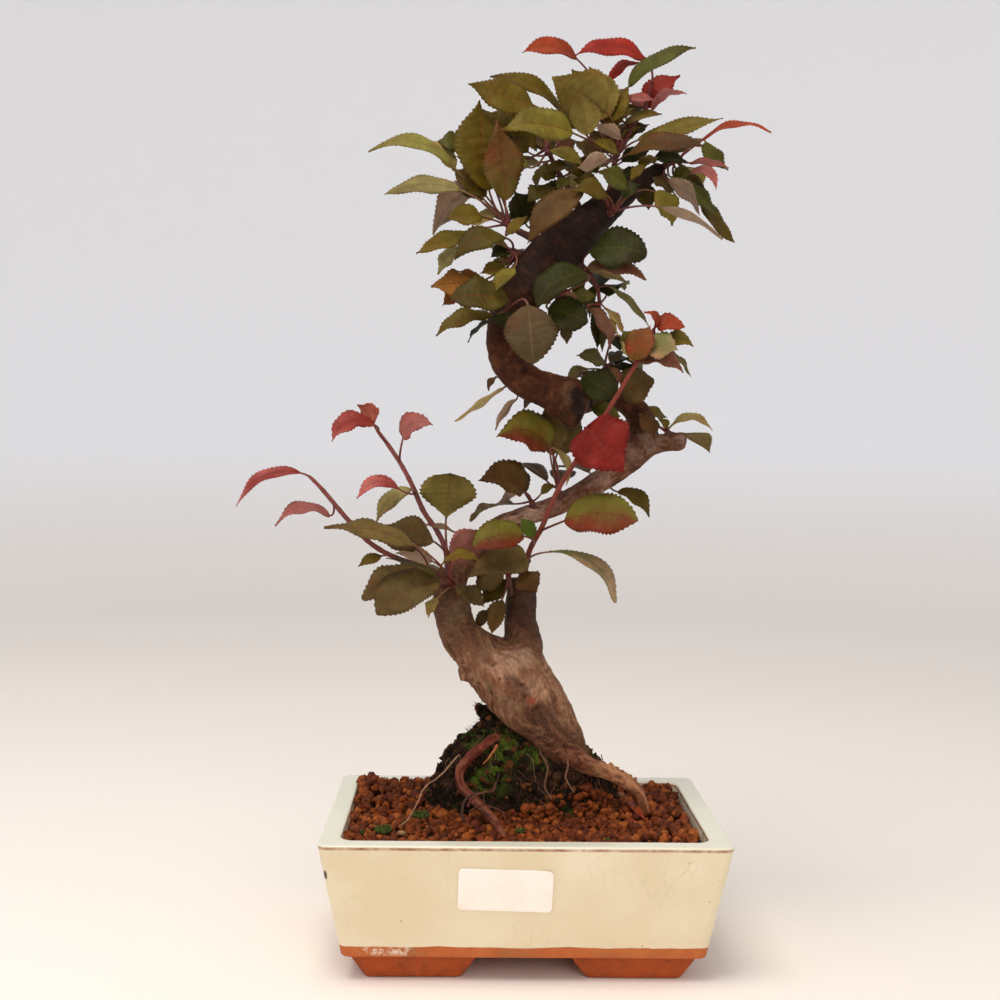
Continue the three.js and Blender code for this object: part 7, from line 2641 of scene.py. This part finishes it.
@dataclass(frozen=True)
class Studio:
    """A plain pale floor that curves up into a wall, soft light, and the camera at the picture's viewing angle."""

    floor: str = "#f3ece4"
    wall: str = "#fbfcff"
    sensor_mm: float = 36.0
    pixels: float = 1000.0
    aim: tuple[float, float, float] = (0.0, 0.0, 0.25)
    sky: str = "#f2f3f6"
    sky_strength: float = 0.62
    lights: tuple[tuple[str, tuple[float, float, float], float, float, str], ...] = (
        ("soft_top", (-0.3, -0.5, 1.5), 0.8, 13.5, "#fff6ec"),
        ("soft_front", (0.45, -1.5, 0.75), 0.7, 5.4, "#fff1e6"),
        ("soft_left", (-1.3, -0.5, 0.7), 0.6, 3.6, "#f3f3f6"))

    def sweep(self) -> None:
        """Lays the floor, a round plate whose rim turns up all round in a wide curve to a low wall."""
        turn = np.radians(np.linspace(0, 90, 20))
        out = np.concatenate([[0.0, 0.5, 1.0], 1.5 + 1.1 * np.sin(turn), [2.6]])
        rise = np.concatenate([[0.0, 0.0, 0.0], 1.1 - 1.1 * np.cos(turn), [2.3]]) - 0.0002
        angle = np.linspace(0, 2 * np.pi, 72, endpoint=False)
        points = np.stack([out[:, None] * np.cos(angle), out[:, None] * np.sin(angle),
                           np.repeat(rise[:, None], 72, axis=1)], axis=-1).reshape(-1, 3)
        mesh = bpy.data.meshes.new("floor_sweep")
        mesh.from_pydata(points.tolist(), [], grid_faces(len(out), 72)[:, ::-1].tolist())
        mesh.shade_smooth()
        floor = bpy.data.objects.new("floor_sweep", mesh)
        bpy.context.scene.collection.objects.link(floor)
        paper = Finish("matt_studio_paper", roughness=0.85, specular=0.2)
        material, tree, at = paper.start()
        height = add_node(tree, "SeparateXYZ", at["place"], output="Z")
        share = add_node(tree, "MapRange", height, 0.0, 0.25)
        paper.end(tree, paper.painted(tree, self.floor, (share, self.wall)), paper.roughness)
        mesh.materials.append(material)

    def light(self, name: str, place: tuple, size: float, power: float, colour: str) -> None:
        """Adds a square soft light.

        Args:
            name: its name.
            place: where it hangs, in metres.
            size: its side in metres.
            power: its power in watts.
            colour: its sRGB hex colour.
        """
        lamp = bpy.data.lights.new(name, "AREA")
        lamp.size, lamp.energy, lamp.color = size, power, linear(colour)[:3]
        holder = bpy.data.objects.new(name, lamp)
        bpy.context.scene.collection.objects.link(holder)
        back = unit(np.array(place, float) - np.array(self.aim))
        right = unit(np.cross([0.0, 1.0, 0.001], back))
        turn = np.eye(4)
        turn[:3, :3] = np.stack([right, np.cross(back, right), back], axis=1)
        turn[:3, 3] = place
        holder.matrix_world = Matrix(turn.tolist())

    def camera(self) -> None:
        """Stands the camera where the picture was taken from, and turns it the same way."""
        lens = bpy.data.cameras.new("studio_camera")
        lens.sensor_width = self.sensor_mm
        lens.lens = self.sensor_mm * SIGHT.focal / self.pixels
        lens.clip_start, lens.clip_end = 0.01, 20
        holder = bpy.data.objects.new("studio_camera", lens)
        forward, right, up = SIGHT.axes()
        turn = np.eye(4)
        turn[:3, :3] = np.stack([right, up, -forward], axis=1)
        turn[:3, 3] = (np.array(SIGHT.eye) + POT_PLACE) * MM
        holder.matrix_world = Matrix(turn.tolist())
        bpy.context.scene.collection.objects.link(holder)
        bpy.context.scene.camera = holder

    def build(self) -> None:
        """Sets up the floor, the world, the lights and the camera."""
        self.sweep()
        world = bpy.data.worlds.new("pale_room")
        world.use_nodes = True
        sky = world.node_tree.nodes["Background"]
        sky.inputs["Color"].default_value = linear(self.sky)
        sky.inputs["Strength"].default_value = self.sky_strength
        bpy.context.scene.world = world
        bpy.context.scene.view_settings.view_transform = "Standard"
        for light in self.lights:
            self.light(*light)
        self.camera()


def main() -> None:
    """Builds the object's pieces and the studio."""
    logging.basicConfig(level=logging.INFO, format="%(name)s: %(message)s")
    pot, mound = Pot(), Mound()
    pot.build()
    Sticker().build(pot)
    dress_screens()
    Soil().build(pot, mound)
    RootBall(mound).build()
    Trunk().build()
    Shoots().build()
    Studio().build()


if __name__ == "__main__":
    main()
